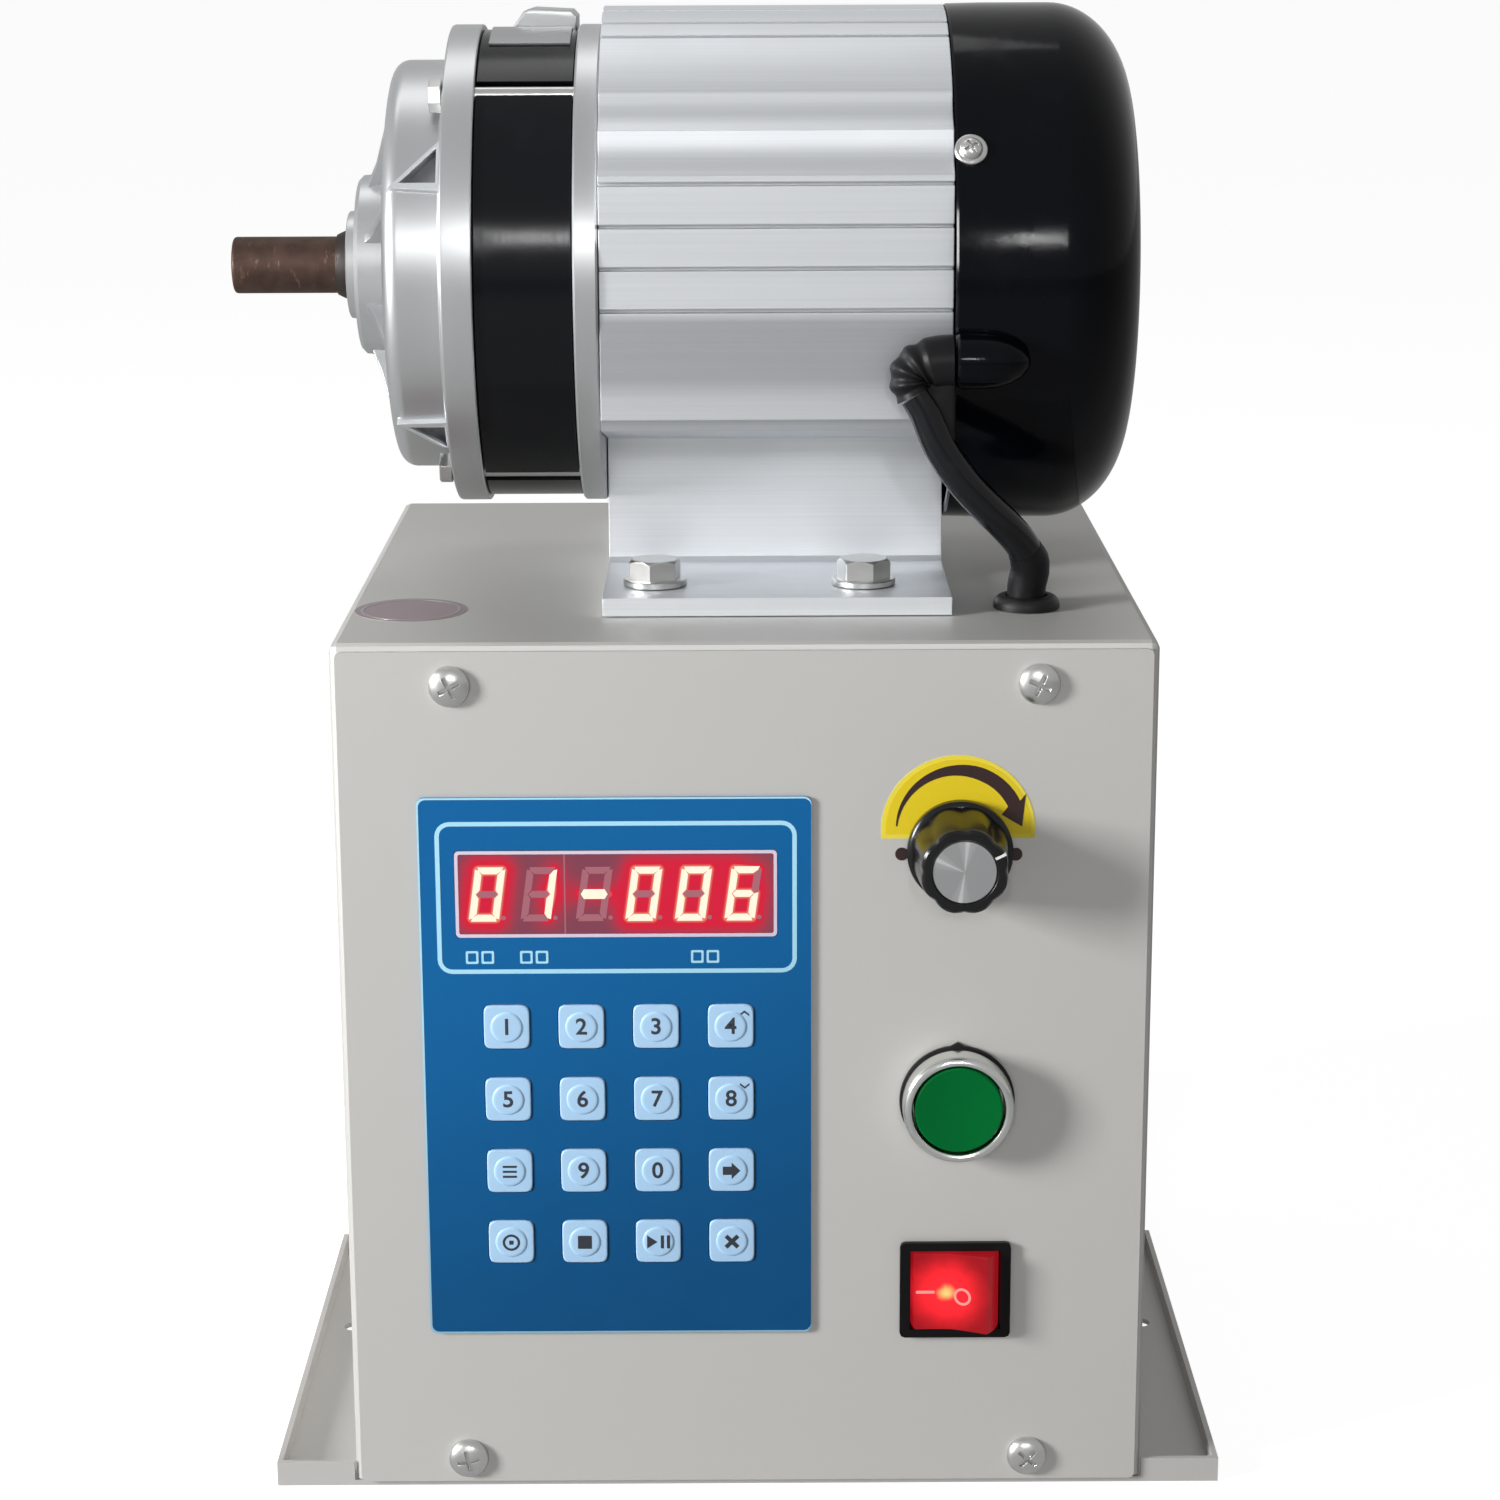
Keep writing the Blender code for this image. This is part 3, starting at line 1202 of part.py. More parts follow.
def rear_flange():
    """The plate between gearbox and motor, with the front rotor bearing's seat."""
    start, end = REAR_FLANGE_START, REAR_FLANGE_END
    hub_end = ROTOR_BEARING_START + REAR_HUB_LENGTH
    seat = BEARING_RADIUS + FIT
    bore = running_bore(ROTOR_SHAFT_RADIUS, RING_SIDES) + SHOULDER
    profile = [
        (REAR_HUB_RADIUS, hub_end),
        (REAR_HUB_RADIUS, end),
        (FLANGE_RADIUS, end),
        (FLANGE_RADIUS, start),
        (bore, start),
        (bore, start + REAR_FLANGE_WEB),
        (seat, start + REAR_FLANGE_WEB),
        (seat, hub_end),
    ]
    flange = add_on_axis("rear_flange", turned_mesh("rear_flange", profile, DRUM_SIDES), "cast_aluminium")
    cut_tie_holes(flange, "flange", start, end)


def ring_drum_outline():
    """A circle with an open groove for each tie bolt."""
    radius, groove = RING_DRUM_RADIUS, TIE_RADIUS + FIT
    edge = math.asin(groove / radius)
    steps = DRUM_SIDES // len(TIE_ANGLES)
    points = []
    for index, angle in enumerate(TIE_ANGLES):
        mouth = radius * math.cos(edge)
        bed = [
            (mouth, -groove),
            *[
                (TIE_CIRCLE_RADIUS - groove * math.sin(turn), -groove * math.cos(turn))
                for turn in (0, math.pi / 4, math.pi / 2, 3 * math.pi / 4, math.pi)
            ],
            (mouth, groove),
        ]
        points += turned_outline(bed, angle)
        following = TIE_ANGLES[(index + 1) % len(TIE_ANGLES)]
        gap = (following - angle) % (2 * math.pi) - 2 * edge
        points += [polar(radius, angle + edge + gap * step / steps) for step in range(1, steps)]
    return points


def ring_gear():
    """The black drum with the fixed internal teeth."""
    space = gear_outline(
        RING_TEETH,
        RING_RADIUS - ADDENDUM_SHARE * MODULE,
        RING_RADIUS + DEDENDUM_SHARE * MODULE,
        BACKLASH,
    )
    teeth = turned_outline(space, math.pi / 2)
    mesh = plate_mesh("ring_gear", [ring_drum_outline(), teeth], RING_DRUM_LENGTH, RING_DRUM_START)
    add_on_axis("ring_gear", mesh, "gloss_black")


def planet_turn(orbit_angle):
    """How far a planet is turned to mesh with the sun, whose tooth points up."""
    sun_phase = (orbit_angle - math.pi / 2) * SUN_TEETH / (2 * math.pi)
    return orbit_angle + math.pi - (0.5 - sun_phase) * 2 * math.pi / PLANET_TEETH


def planet_carrier():
    """The output shaft with the carrier plate and the planets' pins; the planets run on it."""
    axis = add_joint_axis("spindle_axis", (0, 0, AXIS_Z), ALONG_X)
    shaft, chamfer = OUTPUT_SHAFT_RADIUS, OUTPUT_SHAFT_CHAMFER
    neck = OUTPUT_BEARING_START + BEARING_WIDTH + FIT
    plate_start = CARRIER_FACE - CARRIER_THICKNESS
    profile = [
        (0, CARRIER_FACE),
        (CARRIER_RADIUS, CARRIER_FACE),
        (CARRIER_RADIUS, plate_start),
        (CARRIER_NECK_RADIUS, plate_start),
        (CARRIER_NECK_RADIUS, neck),
        (shaft, neck),
        (shaft, SHAFT_END + chamfer),
        (shaft - chamfer, SHAFT_END),
        (0, SHAFT_END),
    ]
    mesh = turned_mesh("planet_carrier", profile, RING_SIDES, closed=False)
    carrier = add_on_axis("planet_carrier", mesh, "shaft_steel", axis)
    wheel = plate_mesh(
        "planet",
        [
            external_teeth(PLANET_TEETH),
            circle(running_bore(PLANET_PIN_RADIUS, ROD_SIDES)),
        ],
        GEAR_END - GEAR_START,
        GEAR_START,
    )
    for index, angle in enumerate(PLANET_ANGLES):
        y, z = polar(PLANET_ORBIT, angle)
        pin = rod_mesh("pin", PLANET_PIN_RADIUS, CARRIER_FACE - CARRIER_THICKNESS / 2, GEAR_END)
        join(carrier, add_helper(f"planet_pin_{index + 1}", pin, (0, y, AXIS_Z + z), ALONG_X))
        pin_axis = add_joint_axis(f"planet_axis_{index + 1}", (y, z, 0), UPRIGHT)
        pin_axis.parent = axis
        turn = (0, 0, planet_turn(angle))
        add_piece(f"planet_{index + 1}", wheel, "gear_steel", ORIGIN, turn, pin_axis)


def gearbox_cover():
    """The stepped casting that holds the output bearing and the shaft seal."""
    seal_bore = SEAL_RADIUS + FIT
    seat = OUTPUT_BEARING_RADIUS + FIT
    ledge = running_bore(OUTPUT_SHAFT_RADIUS, DRUM_SIDES) + SHOULDER / 2
    cavity = COVER_DRUM_RADIUS - COVER_WALL
    floor = COVER_FACE + COVER_WALL
    corner = [
        (
            COVER_DRUM_RADIUS - COVER_DRUM_ROUND * (1 - math.cos(angle)),
            COVER_FACE + COVER_DRUM_ROUND * (1 - math.sin(angle)),
        )
        for angle in (0, math.pi / 4, math.pi / 2)
    ]
    profile = [
        (FLANGE_RADIUS, COVER_BACK),
        (FLANGE_RADIUS, COVER_FLANGE_FRONT),
        (COVER_DRUM_RADIUS, COVER_FLANGE_FRONT),
        *corner,
        (NOSE_RADIUS, COVER_FACE),
        (NOSE_RADIUS, NOSE_FACE),
        (HUB_RADIUS, NOSE_FACE),
        (HUB_RADIUS, HUB_FACE),
        (seal_bore, HUB_FACE),
        (seal_bore, SEAL_BACK),
        (ledge, SEAL_BACK),
        (ledge, OUTPUT_BEARING_START - FIT),
        (seat, OUTPUT_BEARING_START - FIT),
        (seat, floor),
        (cavity, floor),
        (cavity, COVER_BACK),
    ]
    cover = add_on_axis("gearbox_cover", turned_mesh("gearbox_cover", profile, DRUM_SIDES), "cast_aluminium")
    add_ribs(cover)
    cut_pockets(cover)
    cut_tie_holes(cover, "cover", COVER_FLANGE_FRONT, COVER_BACK)


def add_ribs(cover):
    """Ribs from the nose down to the drum's face."""
    root = NOSE_RADIUS - RIB_THICKNESS
    tip = NOSE_RADIUS + RIB_REACH
    outline = [
        (root, NOSE_FACE + HUB_LENGTH),
        (NOSE_RADIUS, NOSE_FACE + HUB_LENGTH),
        (tip, COVER_FACE - FIT),
        (tip, COVER_FACE + RIB_THICKNESS),
        (root, COVER_FACE + RIB_THICKNESS),
    ]
    for index in range(RIB_COUNT):
        angle = 2 * math.pi * (index + 1 / 2) / RIB_COUNT
        rib = plate_mesh("rib", [[(reach, -x) for reach, x in outline]], RIB_THICKNESS, -RIB_THICKNESS / 2)
        helper = add_helper(f"cover_rib_{index + 1}", rib)
        helper.matrix_basis = about_axis(out_from_axis(angle), (-1, 0, 0), side_of_axis(angle))
        join(cover, helper)


def out_from_axis(angle):
    return (0, math.cos(angle), math.sin(angle))


def side_of_axis(angle):
    return (0, -math.sin(angle), math.cos(angle))


def about_axis(plate_x, plate_y, plate_z):
    """The place of a plate on the motor's axis, from the directions that its own axes take."""
    columns = Matrix((plate_x, plate_y, plate_z)).transposed().to_4x4()
    return Matrix.Translation((0, 0, AXIS_Z)) @ columns


def cut_pockets(cover):
    """Three-cornered reliefs in the drum, beside the flange."""
    outline = [
        (COVER_FLANGE_FRONT + OVERRUN / 3, -POCKET_HEIGHT / 2),
        (COVER_FLANGE_FRONT + OVERRUN / 3, POCKET_HEIGHT / 2),
        (COVER_FLANGE_FRONT - POCKET_LENGTH, -POCKET_HEIGHT / 2),
    ]
    for index, angle in enumerate(POCKET_ANGLES):
        pocket = plate_mesh(
            "pocket", [outline], POCKET_DEPTH + OVERRUN, COVER_DRUM_RADIUS - POCKET_DEPTH
        )
        helper = add_helper(f"cover_pocket_{index + 1}", pocket)
        helper.matrix_basis = about_axis((1, 0, 0), side_of_axis(angle + math.pi), out_from_axis(angle))
        cut(cover, helper)


def shaft_seal():
    """A seal in the hub, with a collar in front of it."""
    bore = running_bore(OUTPUT_SHAFT_RADIUS, RING_SIDES)
    front = HUB_FACE - COLLAR_STANDOUT
    profile = [
        (SEAL_RADIUS, SEAL_BACK - FIT),
        (SEAL_RADIUS, HUB_FACE),
        (COLLAR_RADIUS, HUB_FACE),
        (COLLAR_RADIUS, front),
        (bore, front),
        (bore, SEAL_BACK - FIT),
    ]
    add_on_axis("shaft_seal", turned_mesh("shaft_seal", profile, RING_SIDES), "rubber_black")


def foot_bolts():
    """Flanged hex bolts down through the foot and the roof into the weld nuts."""
    washer_top = FOOT_WASHER_THICKNESS
    head_top = washer_top + FOOT_BOLT_HEAD_HEIGHT
    mesh = rod_mesh("foot_bolt", FOOT_BOLT_RADIUS, -FOOT_BOLT_LENGTH, washer_top)
    blank = add_helper("foot_bolt_blank", mesh)
    join(blank, add_helper("foot_washer", rod_mesh("washer", FOOT_WASHER_RADIUS, 0, washer_top, RING_SIDES)))
    head = rod_mesh("head", FOOT_BOLT_HEAD_RADIUS, washer_top / 2, head_top, sides=6)
    join(blank, add_helper("foot_bolt_head", head))
    mesh = settle(blank)
    for index, (x, y) in enumerate(FOOT_BOLT_PLACES):
        add_piece(f"foot_bolt_{index + 1}", mesh, "zinc", (x, y, FOOT_TOP + FIT))


def tie_bolts():
    """Long bolts through the cover's flange, past the drum and into the rear flange."""
    start = COVER_FLANGE_FRONT - FIT
    mesh = rod_mesh("tie_bolt", TIE_RADIUS, start - TIE_HEAD_HEIGHT / 2, REAR_FLANGE_END - FIT)
    blank = add_helper("tie_bolt_blank", mesh)
    head = rod_mesh("head", TIE_HEAD_RADIUS, start - TIE_HEAD_HEIGHT, start, sides=6)
    join(blank, add_helper("tie_bolt_head", head))
    mesh = settle(blank)
    for index, angle in enumerate(TIE_ANGLES):
        y, z = polar(TIE_CIRCLE_RADIUS, angle)
        add_piece(f"tie_bolt_{index + 1}", mesh, "zinc", (0, y, AXIS_Z + z), ALONG_X)


def smooth_route(points, step):
    """Points along a smooth curve through the given ones, about a step apart."""
    ends = [points[0], *points, points[-1]]
    route = []
    for before, start, end, after in zip(ends, ends[1:], ends[2:], ends[3:]):
        count = max(1, round(math.dist(start, end) / step))
        for index in range(count):
            share = index / count
            route.append([
                (
                    2 * b
                    + (c - a) * share
                    + (2 * a - 5 * b + 4 * c - d) * share**2
                    + (3 * b - a - 3 * c + d) * share**3
                )
                / 2
                for a, b, c, d in zip(before, start, end, after)
            ])
    route.append(points[-1])
    return route


def add_tube(name, points, radii, finish_name):
    """A round tube along the points, with its own radius at each one."""
    curve = bpy.data.curves.new(name, "CURVE")
    curve.dimensions = "3D"
    curve.bevel_depth = 1
    curve.bevel_resolution = 2
    curve.use_fill_caps = True
    spline = curve.splines.new("POLY")
    spline.points.add(len(points) - 1)
    for point, place, radius in zip(spline.points, points, radii):
        point.co = (*place, 1)
        point.radius = radius
    tube = bpy.data.objects.new(name, curve)
    curve.materials.append(finish(finish_name))
    PARTS.objects.link(tube)
    return tube


def motor_cable():
    """The lead from the boot down to the grommet and on into the cabinet."""
    points = smooth_route(CABLE_ROUTE, CABLE_STEP)
    add_tube("motor_cable", points, [CABLE_RADIUS] * len(points), "rubber_black")


def cable_boot():
    """A ribbed elbow from the end cover's rim down to the cable."""
    start = (END_COVER_START - FIT, BOOT_Y, AXIS_Z - BOOT_DROP)
    end, following = CABLE_ROUTE[:2]
    rise = (start[2] - end[2]) / (end[2] - following[2])
    corner = [a + (a - b) * rise for a, b in zip(end, following)]
    count = 2 * BOOT_RIBS + 1
    points = []
    radii = []
    for index in range(count + 1):
        share = index / count
        points.append([
            a * (1 - share) ** 2 + 2 * b * share * (1 - share) + c * share**2
            for a, b, c in zip(start, corner, end)
        ])
        radius = BOOT_ROOT_RADIUS + (BOOT_TIP_RADIUS - BOOT_ROOT_RADIUS) * share
        radii.append(radius + BOOT_RIB_HEIGHT * (index % 2))
    radii[-1] = BOOT_TIP_RADIUS
    back_off(points, FIT)
    add_tube("cable_boot", points, radii, "rubber_black")


def back_off(points, gap):
    """Draws the last point back along the run by a gap."""
    before, last = points[-2], points[-1]
    share = gap / math.dist(before, last)
    points[-1] = [b + (a - b) * share for a, b in zip(before, last)]


def cable_grommet():
    """A rubber ring in the roof, round the cable."""
    bore = running_bore(CABLE_RADIUS, RING_SIDES)
    under = -SHEET - FIT
    profile = [
        (bore + GROMMET_CROWN / 3, FIT + GROMMET_CROWN),
        (GROMMET_RADIUS - GROMMET_CROWN / 2, FIT + GROMMET_CROWN),
        (GROMMET_RADIUS, FIT + GROMMET_CROWN / 2),
        (GROMMET_RADIUS, FIT),
        (GROMMET_NECK_RADIUS, FIT),
        (GROMMET_NECK_RADIUS, under),
        (GROMMET_RADIUS, under),
        (GROMMET_RADIUS, under - GROMMET_SKIRT),
        (bore, under - GROMMET_SKIRT),
        (bore, FIT + GROMMET_CROWN / 2),
    ]
    mesh = turned_mesh("cable_grommet", profile, RING_SIDES)
    add_piece("cable_grommet", mesh, "rubber_black", (GROMMET_X, GROMMET_Y, CABINET_HEIGHT))


base_tray()
cabinet_shell()
front_panel()
rear_panel()
mains_inlet()
panel_screws()
keypad_overlay()
keys()
control_board()
speed_knob()
potentiometer()
push_button()
rocker_switch()
motor_frame()
motor_end_cover()
stator()
rotor()
bearings()
rear_flange()
ring_gear()
planet_carrier()
gearbox_cover()
shaft_seal()
foot_bolts()
tie_bolts()
cable_boot()
motor_cable()
cable_grommet()
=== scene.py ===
"""Looks of a wire coil winding machine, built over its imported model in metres, +Z up.

The machine is a sheet metal cabinet with a keypad, a display, a knob, a button and a rocker, and
a gear motor on its roof whose output spindle points along -X.
"""

from __future__ import annotations

import json
import logging
import math
from dataclasses import dataclass
from enum import Enum
from typing import Iterable, Sequence, Union

import bmesh
import bpy
from mathutils import Matrix, Vector

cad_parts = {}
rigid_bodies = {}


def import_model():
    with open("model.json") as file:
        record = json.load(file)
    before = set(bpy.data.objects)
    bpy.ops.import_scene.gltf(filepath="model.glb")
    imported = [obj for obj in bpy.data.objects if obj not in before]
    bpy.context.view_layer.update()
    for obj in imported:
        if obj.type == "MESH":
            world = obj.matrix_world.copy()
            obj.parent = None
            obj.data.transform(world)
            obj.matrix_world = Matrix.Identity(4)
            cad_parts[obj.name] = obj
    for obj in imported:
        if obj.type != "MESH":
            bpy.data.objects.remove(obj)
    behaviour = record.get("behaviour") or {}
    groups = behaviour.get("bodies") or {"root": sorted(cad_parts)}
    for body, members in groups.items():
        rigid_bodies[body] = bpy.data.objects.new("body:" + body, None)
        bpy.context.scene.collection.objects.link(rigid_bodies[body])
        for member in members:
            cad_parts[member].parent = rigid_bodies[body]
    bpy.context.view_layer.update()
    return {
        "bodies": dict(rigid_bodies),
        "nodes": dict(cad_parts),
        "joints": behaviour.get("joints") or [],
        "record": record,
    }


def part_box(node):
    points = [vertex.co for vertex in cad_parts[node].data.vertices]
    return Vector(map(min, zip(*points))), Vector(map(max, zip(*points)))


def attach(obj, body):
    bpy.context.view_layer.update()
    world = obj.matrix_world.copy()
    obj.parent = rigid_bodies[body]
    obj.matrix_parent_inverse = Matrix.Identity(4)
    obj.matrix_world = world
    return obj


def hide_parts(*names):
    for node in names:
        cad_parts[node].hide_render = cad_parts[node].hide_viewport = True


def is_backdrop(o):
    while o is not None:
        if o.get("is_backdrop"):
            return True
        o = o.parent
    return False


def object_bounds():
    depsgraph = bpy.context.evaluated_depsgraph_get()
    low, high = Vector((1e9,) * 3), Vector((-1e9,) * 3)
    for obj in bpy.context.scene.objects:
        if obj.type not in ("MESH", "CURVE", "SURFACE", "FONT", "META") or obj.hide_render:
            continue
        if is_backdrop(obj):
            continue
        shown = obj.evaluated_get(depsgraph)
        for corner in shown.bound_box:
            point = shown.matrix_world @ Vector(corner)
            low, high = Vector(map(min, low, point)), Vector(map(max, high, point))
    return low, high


LOG = logging.getLogger("winding_machine")
MACHINE = "machine"
Colour = tuple[float, float, float]
Point = tuple[float, float]
Place = tuple[float, float, float]
Feed = Union["Wire", float, Sequence[float]]


class Wire:
    """An output socket whose arithmetic adds nodes to its tree."""

    def __init__(self, sketch: Sketch, socket: bpy.types.NodeSocket) -> None:
        """Keeps the tree's sketch and the socket."""
        self.sketch = sketch
        self.socket = socket

    def _with(self, other: Feed, operation: str, swapped: bool = False) -> Wire:
        """Adds the node for one sum.

        Args:
            other: The other number, colour, vector or wire.
            operation: The operation's name, which Math, Vector Math and Mix share.
            swapped: Whether other comes first.

        Returns:
            The sum's wire.
        """
        first, second = (other, self) if swapped else (self, other)
        kinds = {self.socket.type}
        if isinstance(other, Wire):
            kinds.add(other.socket.type)
        if "RGBA" in kinds:
            settings = {"data_type": "RGBA", "blend_type": operation}
            return self.sketch.node("ShaderNodeMix", settings, {0: 1.0, 6: first, 7: second}, 2)
        kind = "ShaderNodeVectorMath" if "VECTOR" in kinds else "ShaderNodeMath"
        return self.sketch.node(kind, {"operation": operation}, {0: first, 1: second})

    def __add__(self, other: Feed) -> Wire:
        """self + other."""
        return self._with(other, "ADD")

    def __radd__(self, other: Feed) -> Wire:
        """other + self."""
        return self._with(other, "ADD", True)

    def __sub__(self, other: Feed) -> Wire:
        """self - other."""
        return self._with(other, "SUBTRACT")

    def __rsub__(self, other: Feed) -> Wire:
        """other - self."""
        return self._with(other, "SUBTRACT", True)

    def __mul__(self, other: Feed) -> Wire:
        """self * other."""
        return self._with(other, "MULTIPLY")

    def __rmul__(self, other: Feed) -> Wire:
        """other * self."""
        return self._with(other, "MULTIPLY", True)

    def __truediv__(self, other: Feed) -> Wire:
        """self / other."""
        return self._with(other, "DIVIDE")

    def __rtruediv__(self, other: Feed) -> Wire:
        """other / self."""
        return self._with(other, "DIVIDE", True)


class Sketch:
    """A node tree in the making."""

    def __init__(self, tree: bpy.types.NodeTree) -> None:
        """Keeps the tree."""
        self.tree = tree

    def node(
        self, kind: str, settings: dict | None = None, feeds: dict | None = None, output: int | str = 0
    ) -> Wire:
        """Adds a node.

        Args:
            kind: The node's type.
            settings: What is set on the node first; stops holds a ramp's places and colours.
            feeds: A value or a wire for each input, by name or index.
            output: The output to return, by name or index.

        Returns:
            That output's wire.
        """
        made = self.tree.nodes.new(kind)
        for name, value in (settings or {}).items():
            if name == "stops":
                self._set_stops(made.color_ramp, value)
            else:
                setattr(made, name, value)
        for name, value in (feeds or {}).items():
            self.feed(made.inputs[name], value)
        return Wire(self, made.outputs[output])

    def _set_stops(self, ramp: bpy.types.ColorRamp, stops: Sequence[tuple[float, Colour]]) -> None:
        """Sets a colour ramp's stops.

        Args:
            ramp: The ramp, which has two stops at first.
            stops: Each stop's place and colour.
        """
        for _ in stops[2:]:
            ramp.elements.new(1.0)
        for element, (place, colour) in zip(ramp.elements, stops):
            element.position = place
            element.color = (*colour, 1.0)

    def feed(self, socket: bpy.types.NodeSocket, value: Feed) -> None:
        """Links a wire to an input, or sets the input's value.

        Args:
            socket: The input.
            value: The wire, number, colour or vector.
        """
        if isinstance(value, Wire):
            self.tree.links.new(value.socket, socket)
        elif socket.type == "RGBA":
            parts = (value,) * 3 if isinstance(value, (int, float)) else tuple(value)[:3]
            socket.default_value = (*parts, 1.0)
        elif socket.type == "VECTOR" and isinstance(value, (int, float)):
            socket.default_value = (value,) * 3
        else:
            socket.default_value = value

    def place(self) -> Wire:
        """The point's place on its piece, in metres."""
        return self.node("ShaderNodeTexCoord", output="Object")

    def axis(self, name: str) -> Wire:
        """One coordinate of the point's place, X, Y or Z."""
        return self.node("ShaderNodeSeparateXYZ", feeds={0: self.place()}, output=name)

    def noise(self, scale: Feed, detail: float = 2.0) -> Wire:
        """Cloudy numbers from 0 to 1.

        Args:
            scale: Waves in a metre, or one number for each axis.
            detail: How many finer layers are added.

        Returns:
            The noise's value.
        """
        feeds = {"Vector": self.place() * scale, "Scale": 1.0, "Detail": detail}
        return self.node("ShaderNodeTexNoise", None, feeds)

    def mix(self, share: Feed, first: Feed, second: Feed) -> Wire:
        """A colour between two.

        Args:
            share: How much of the second one shows, from 0 to 1.
            first: The colour at 0.
            second: The colour at 1.

        Returns:
            The mixed colour.
        """
        feeds = {0: share, 6: first, 7: second}
        return self.node("ShaderNodeMix", {"data_type": "RGBA"}, feeds, 2)

    def step(self, value: Wire, low: float, high: float) -> Wire:
        """A smooth rise from 0 at low to 1 at high.

        Args:
            value: The number to follow.
            low: Where the rise starts.
            high: Where it ends.

        Returns:
            The risen share.
        """
        settings = {"interpolation_type": "SMOOTHSTEP"}
        return self.node("ShaderNodeMapRange", settings, {"Value": value, 1: low, 2: high})

    def bump(self, height: Wire, depth: float, rounding: float = 0.0) -> Wire:
        """A normal that follows a height.

        Args:
            height: The height, from 0 to 1.
            depth: The height's real size, in metres.
            rounding: The radius at which sharp edges catch light, or 0.

        Returns:
            The normal.
        """
        feeds: dict = {"Height": height, "Distance": depth, "Strength": 1.0}
        if rounding:
            feeds["Normal"] = self.node("ShaderNodeBevel", {"samples": 4}, {"Radius": rounding})
        return self.node("ShaderNodeBump", None, feeds)


def shaded(colour: Colour, factor: float) -> Colour:
    """The colour, darker or lighter by a factor."""
    return tuple(min(1.0, part * factor) for part in colour)


@dataclass(frozen=True)
class Finish:
    """A surface of one material, which subclasses give its pattern."""

    name: str
    slot: str
    colour: Colour
    roughness: float = 0.4
    metallic: float = 0.0
    specular: float = 0.5

    def material(self) -> bpy.types.Material:
        """The finish's material, made the first time it is asked for."""
        found = bpy.data.materials.get(self.name)
        if found:
            return found
        made = bpy.data.materials.new(self.name)
        made.use_nodes = True
        sketch = Sketch(made.node_tree)
        inputs = made.node_tree.nodes["Principled BSDF"].inputs
        constant = {
            "Base Color": self.colour,
            "Roughness": self.roughness,
            "Metallic": self.metallic,
            "Specular IOR Level": self.specular,
        }
        for name, value in {**constant, **self.pattern(sketch)}.items():
            sketch.feed(inputs[name], value)
        return made

    def pattern(self, sketch: Sketch) -> dict[str, Feed]:
        """What the shader's inputs take apart from the constants.

        Args:
            sketch: The material's sketch.

        Returns:
            A feed for each input's name.
        """
        grain = sketch.noise(1400.0)
        cloud = sketch.noise(45.0, 3.0)
        return {
            "Base Color": sketch.mix(cloud, shaded(self.colour, 0.93), shaded(self.colour, 1.07)),
            "Roughness": self.roughness - 0.05 + cloud * 0.10,
            "Normal": sketch.bump(grain, 0.00001),
        }


@dataclass(frozen=True)
class PowderCoat(Finish):
    """Sprayed paint with a fine orange peel, a little dirt and soft edges."""

    def pattern(self, sketch: Sketch) -> dict[str, Feed]:
        """The peel, the clouds and the specks."""
        peel = sketch.noise(700.0, 1.0)
        cloud = sketch.noise(11.0, 4.0)
        speck = sketch.step(sketch.noise(420.0, 3.0), 0.70, 0.78)
        base = sketch.mix(cloud, shaded(self.colour, 0.955), shaded(self.colour, 1.035))
        return {
            "Base Color": sketch.mix(speck * 0.22, base, shaded(self.colour, 0.5)),
            "Roughness": self.roughness - 0.06 + cloud * 0.12,
            "Normal": sketch.bump(peel, 0.000035, 0.0006),
        }


class Grain(Enum):
    """Which way a metal's marks run, as waves in a metre along X, Y and Z."""

    CAST = (900.0, 900.0, 900.0)
    DRAWN_PAINTED_SHADE = (6.0, 1300.0, 1300.0)
    TURNED = (2600.0, 9.0, 9.0)
    PLATED = (260.0, 260.0, 260.0)


@dataclass(frozen=True)
class Metal(Finish):
    """Bare or plated metal with the marks of how it was made."""

    metallic: float = 1.0
    grain: Grain = Grain.CAST
    depth: float = 0.00001
    contrast: float = 0.10

    def pattern(self, sketch: Sketch) -> dict[str, Feed]:
        """The marks, and broad patches of handling over them."""
        marks = sketch.noise(self.grain.value, 3.0)
        patch = sketch.noise(38.0, 3.0)
        low, high = 1 - self.contrast, 1 + self.contrast
        base = sketch.mix(marks, shaded(self.colour, low), shaded(self.colour, high))
        return {
            "Base Color": sketch.mix(patch * 0.35, base, shaded(self.colour, low * low)),
            "Roughness": self.roughness - 0.07 + marks * 0.08 + patch * 0.06,
            "Normal": sketch.bump(marks, self.depth, 0.0004),
        }


@dataclass(frozen=True)
class PaintedShadeExtrusion(Metal):
    """Drawn aluminium with painted light and shade by height: lighter on its foot, darker on the plain flat under its
    slots.
    """

    low: float = 0.2905
    high: float = 0.3245
    painted_shade_bands: tuple[Point, ...] = (
        (0.0, 0.94), (0.06, 0.94), (0.12, 0.74), (0.28, 0.72), (0.45, 0.50), (0.90, 0.50), (0.985, 0.82)
    )

    def pattern(self, sketch: Sketch) -> dict[str, Feed]:
        """The drawing marks, with painted light and shade by height."""
        made = super().pattern(sketch)
        # Painted light and shade: the base colour is toned by height, light on the foot and dark on the flat under the
        # slots.
        height = (sketch.axis("Z") - self.low) / (self.high - self.low)
        stops = [(place, (tone, tone, tone)) for place, tone in self.painted_shade_bands]
        painted_tones = sketch.node("ShaderNodeValToRGB", {"stops": stops}, {0: height})
        made["Base Color"] = made["Base Color"] * painted_tones
        return made


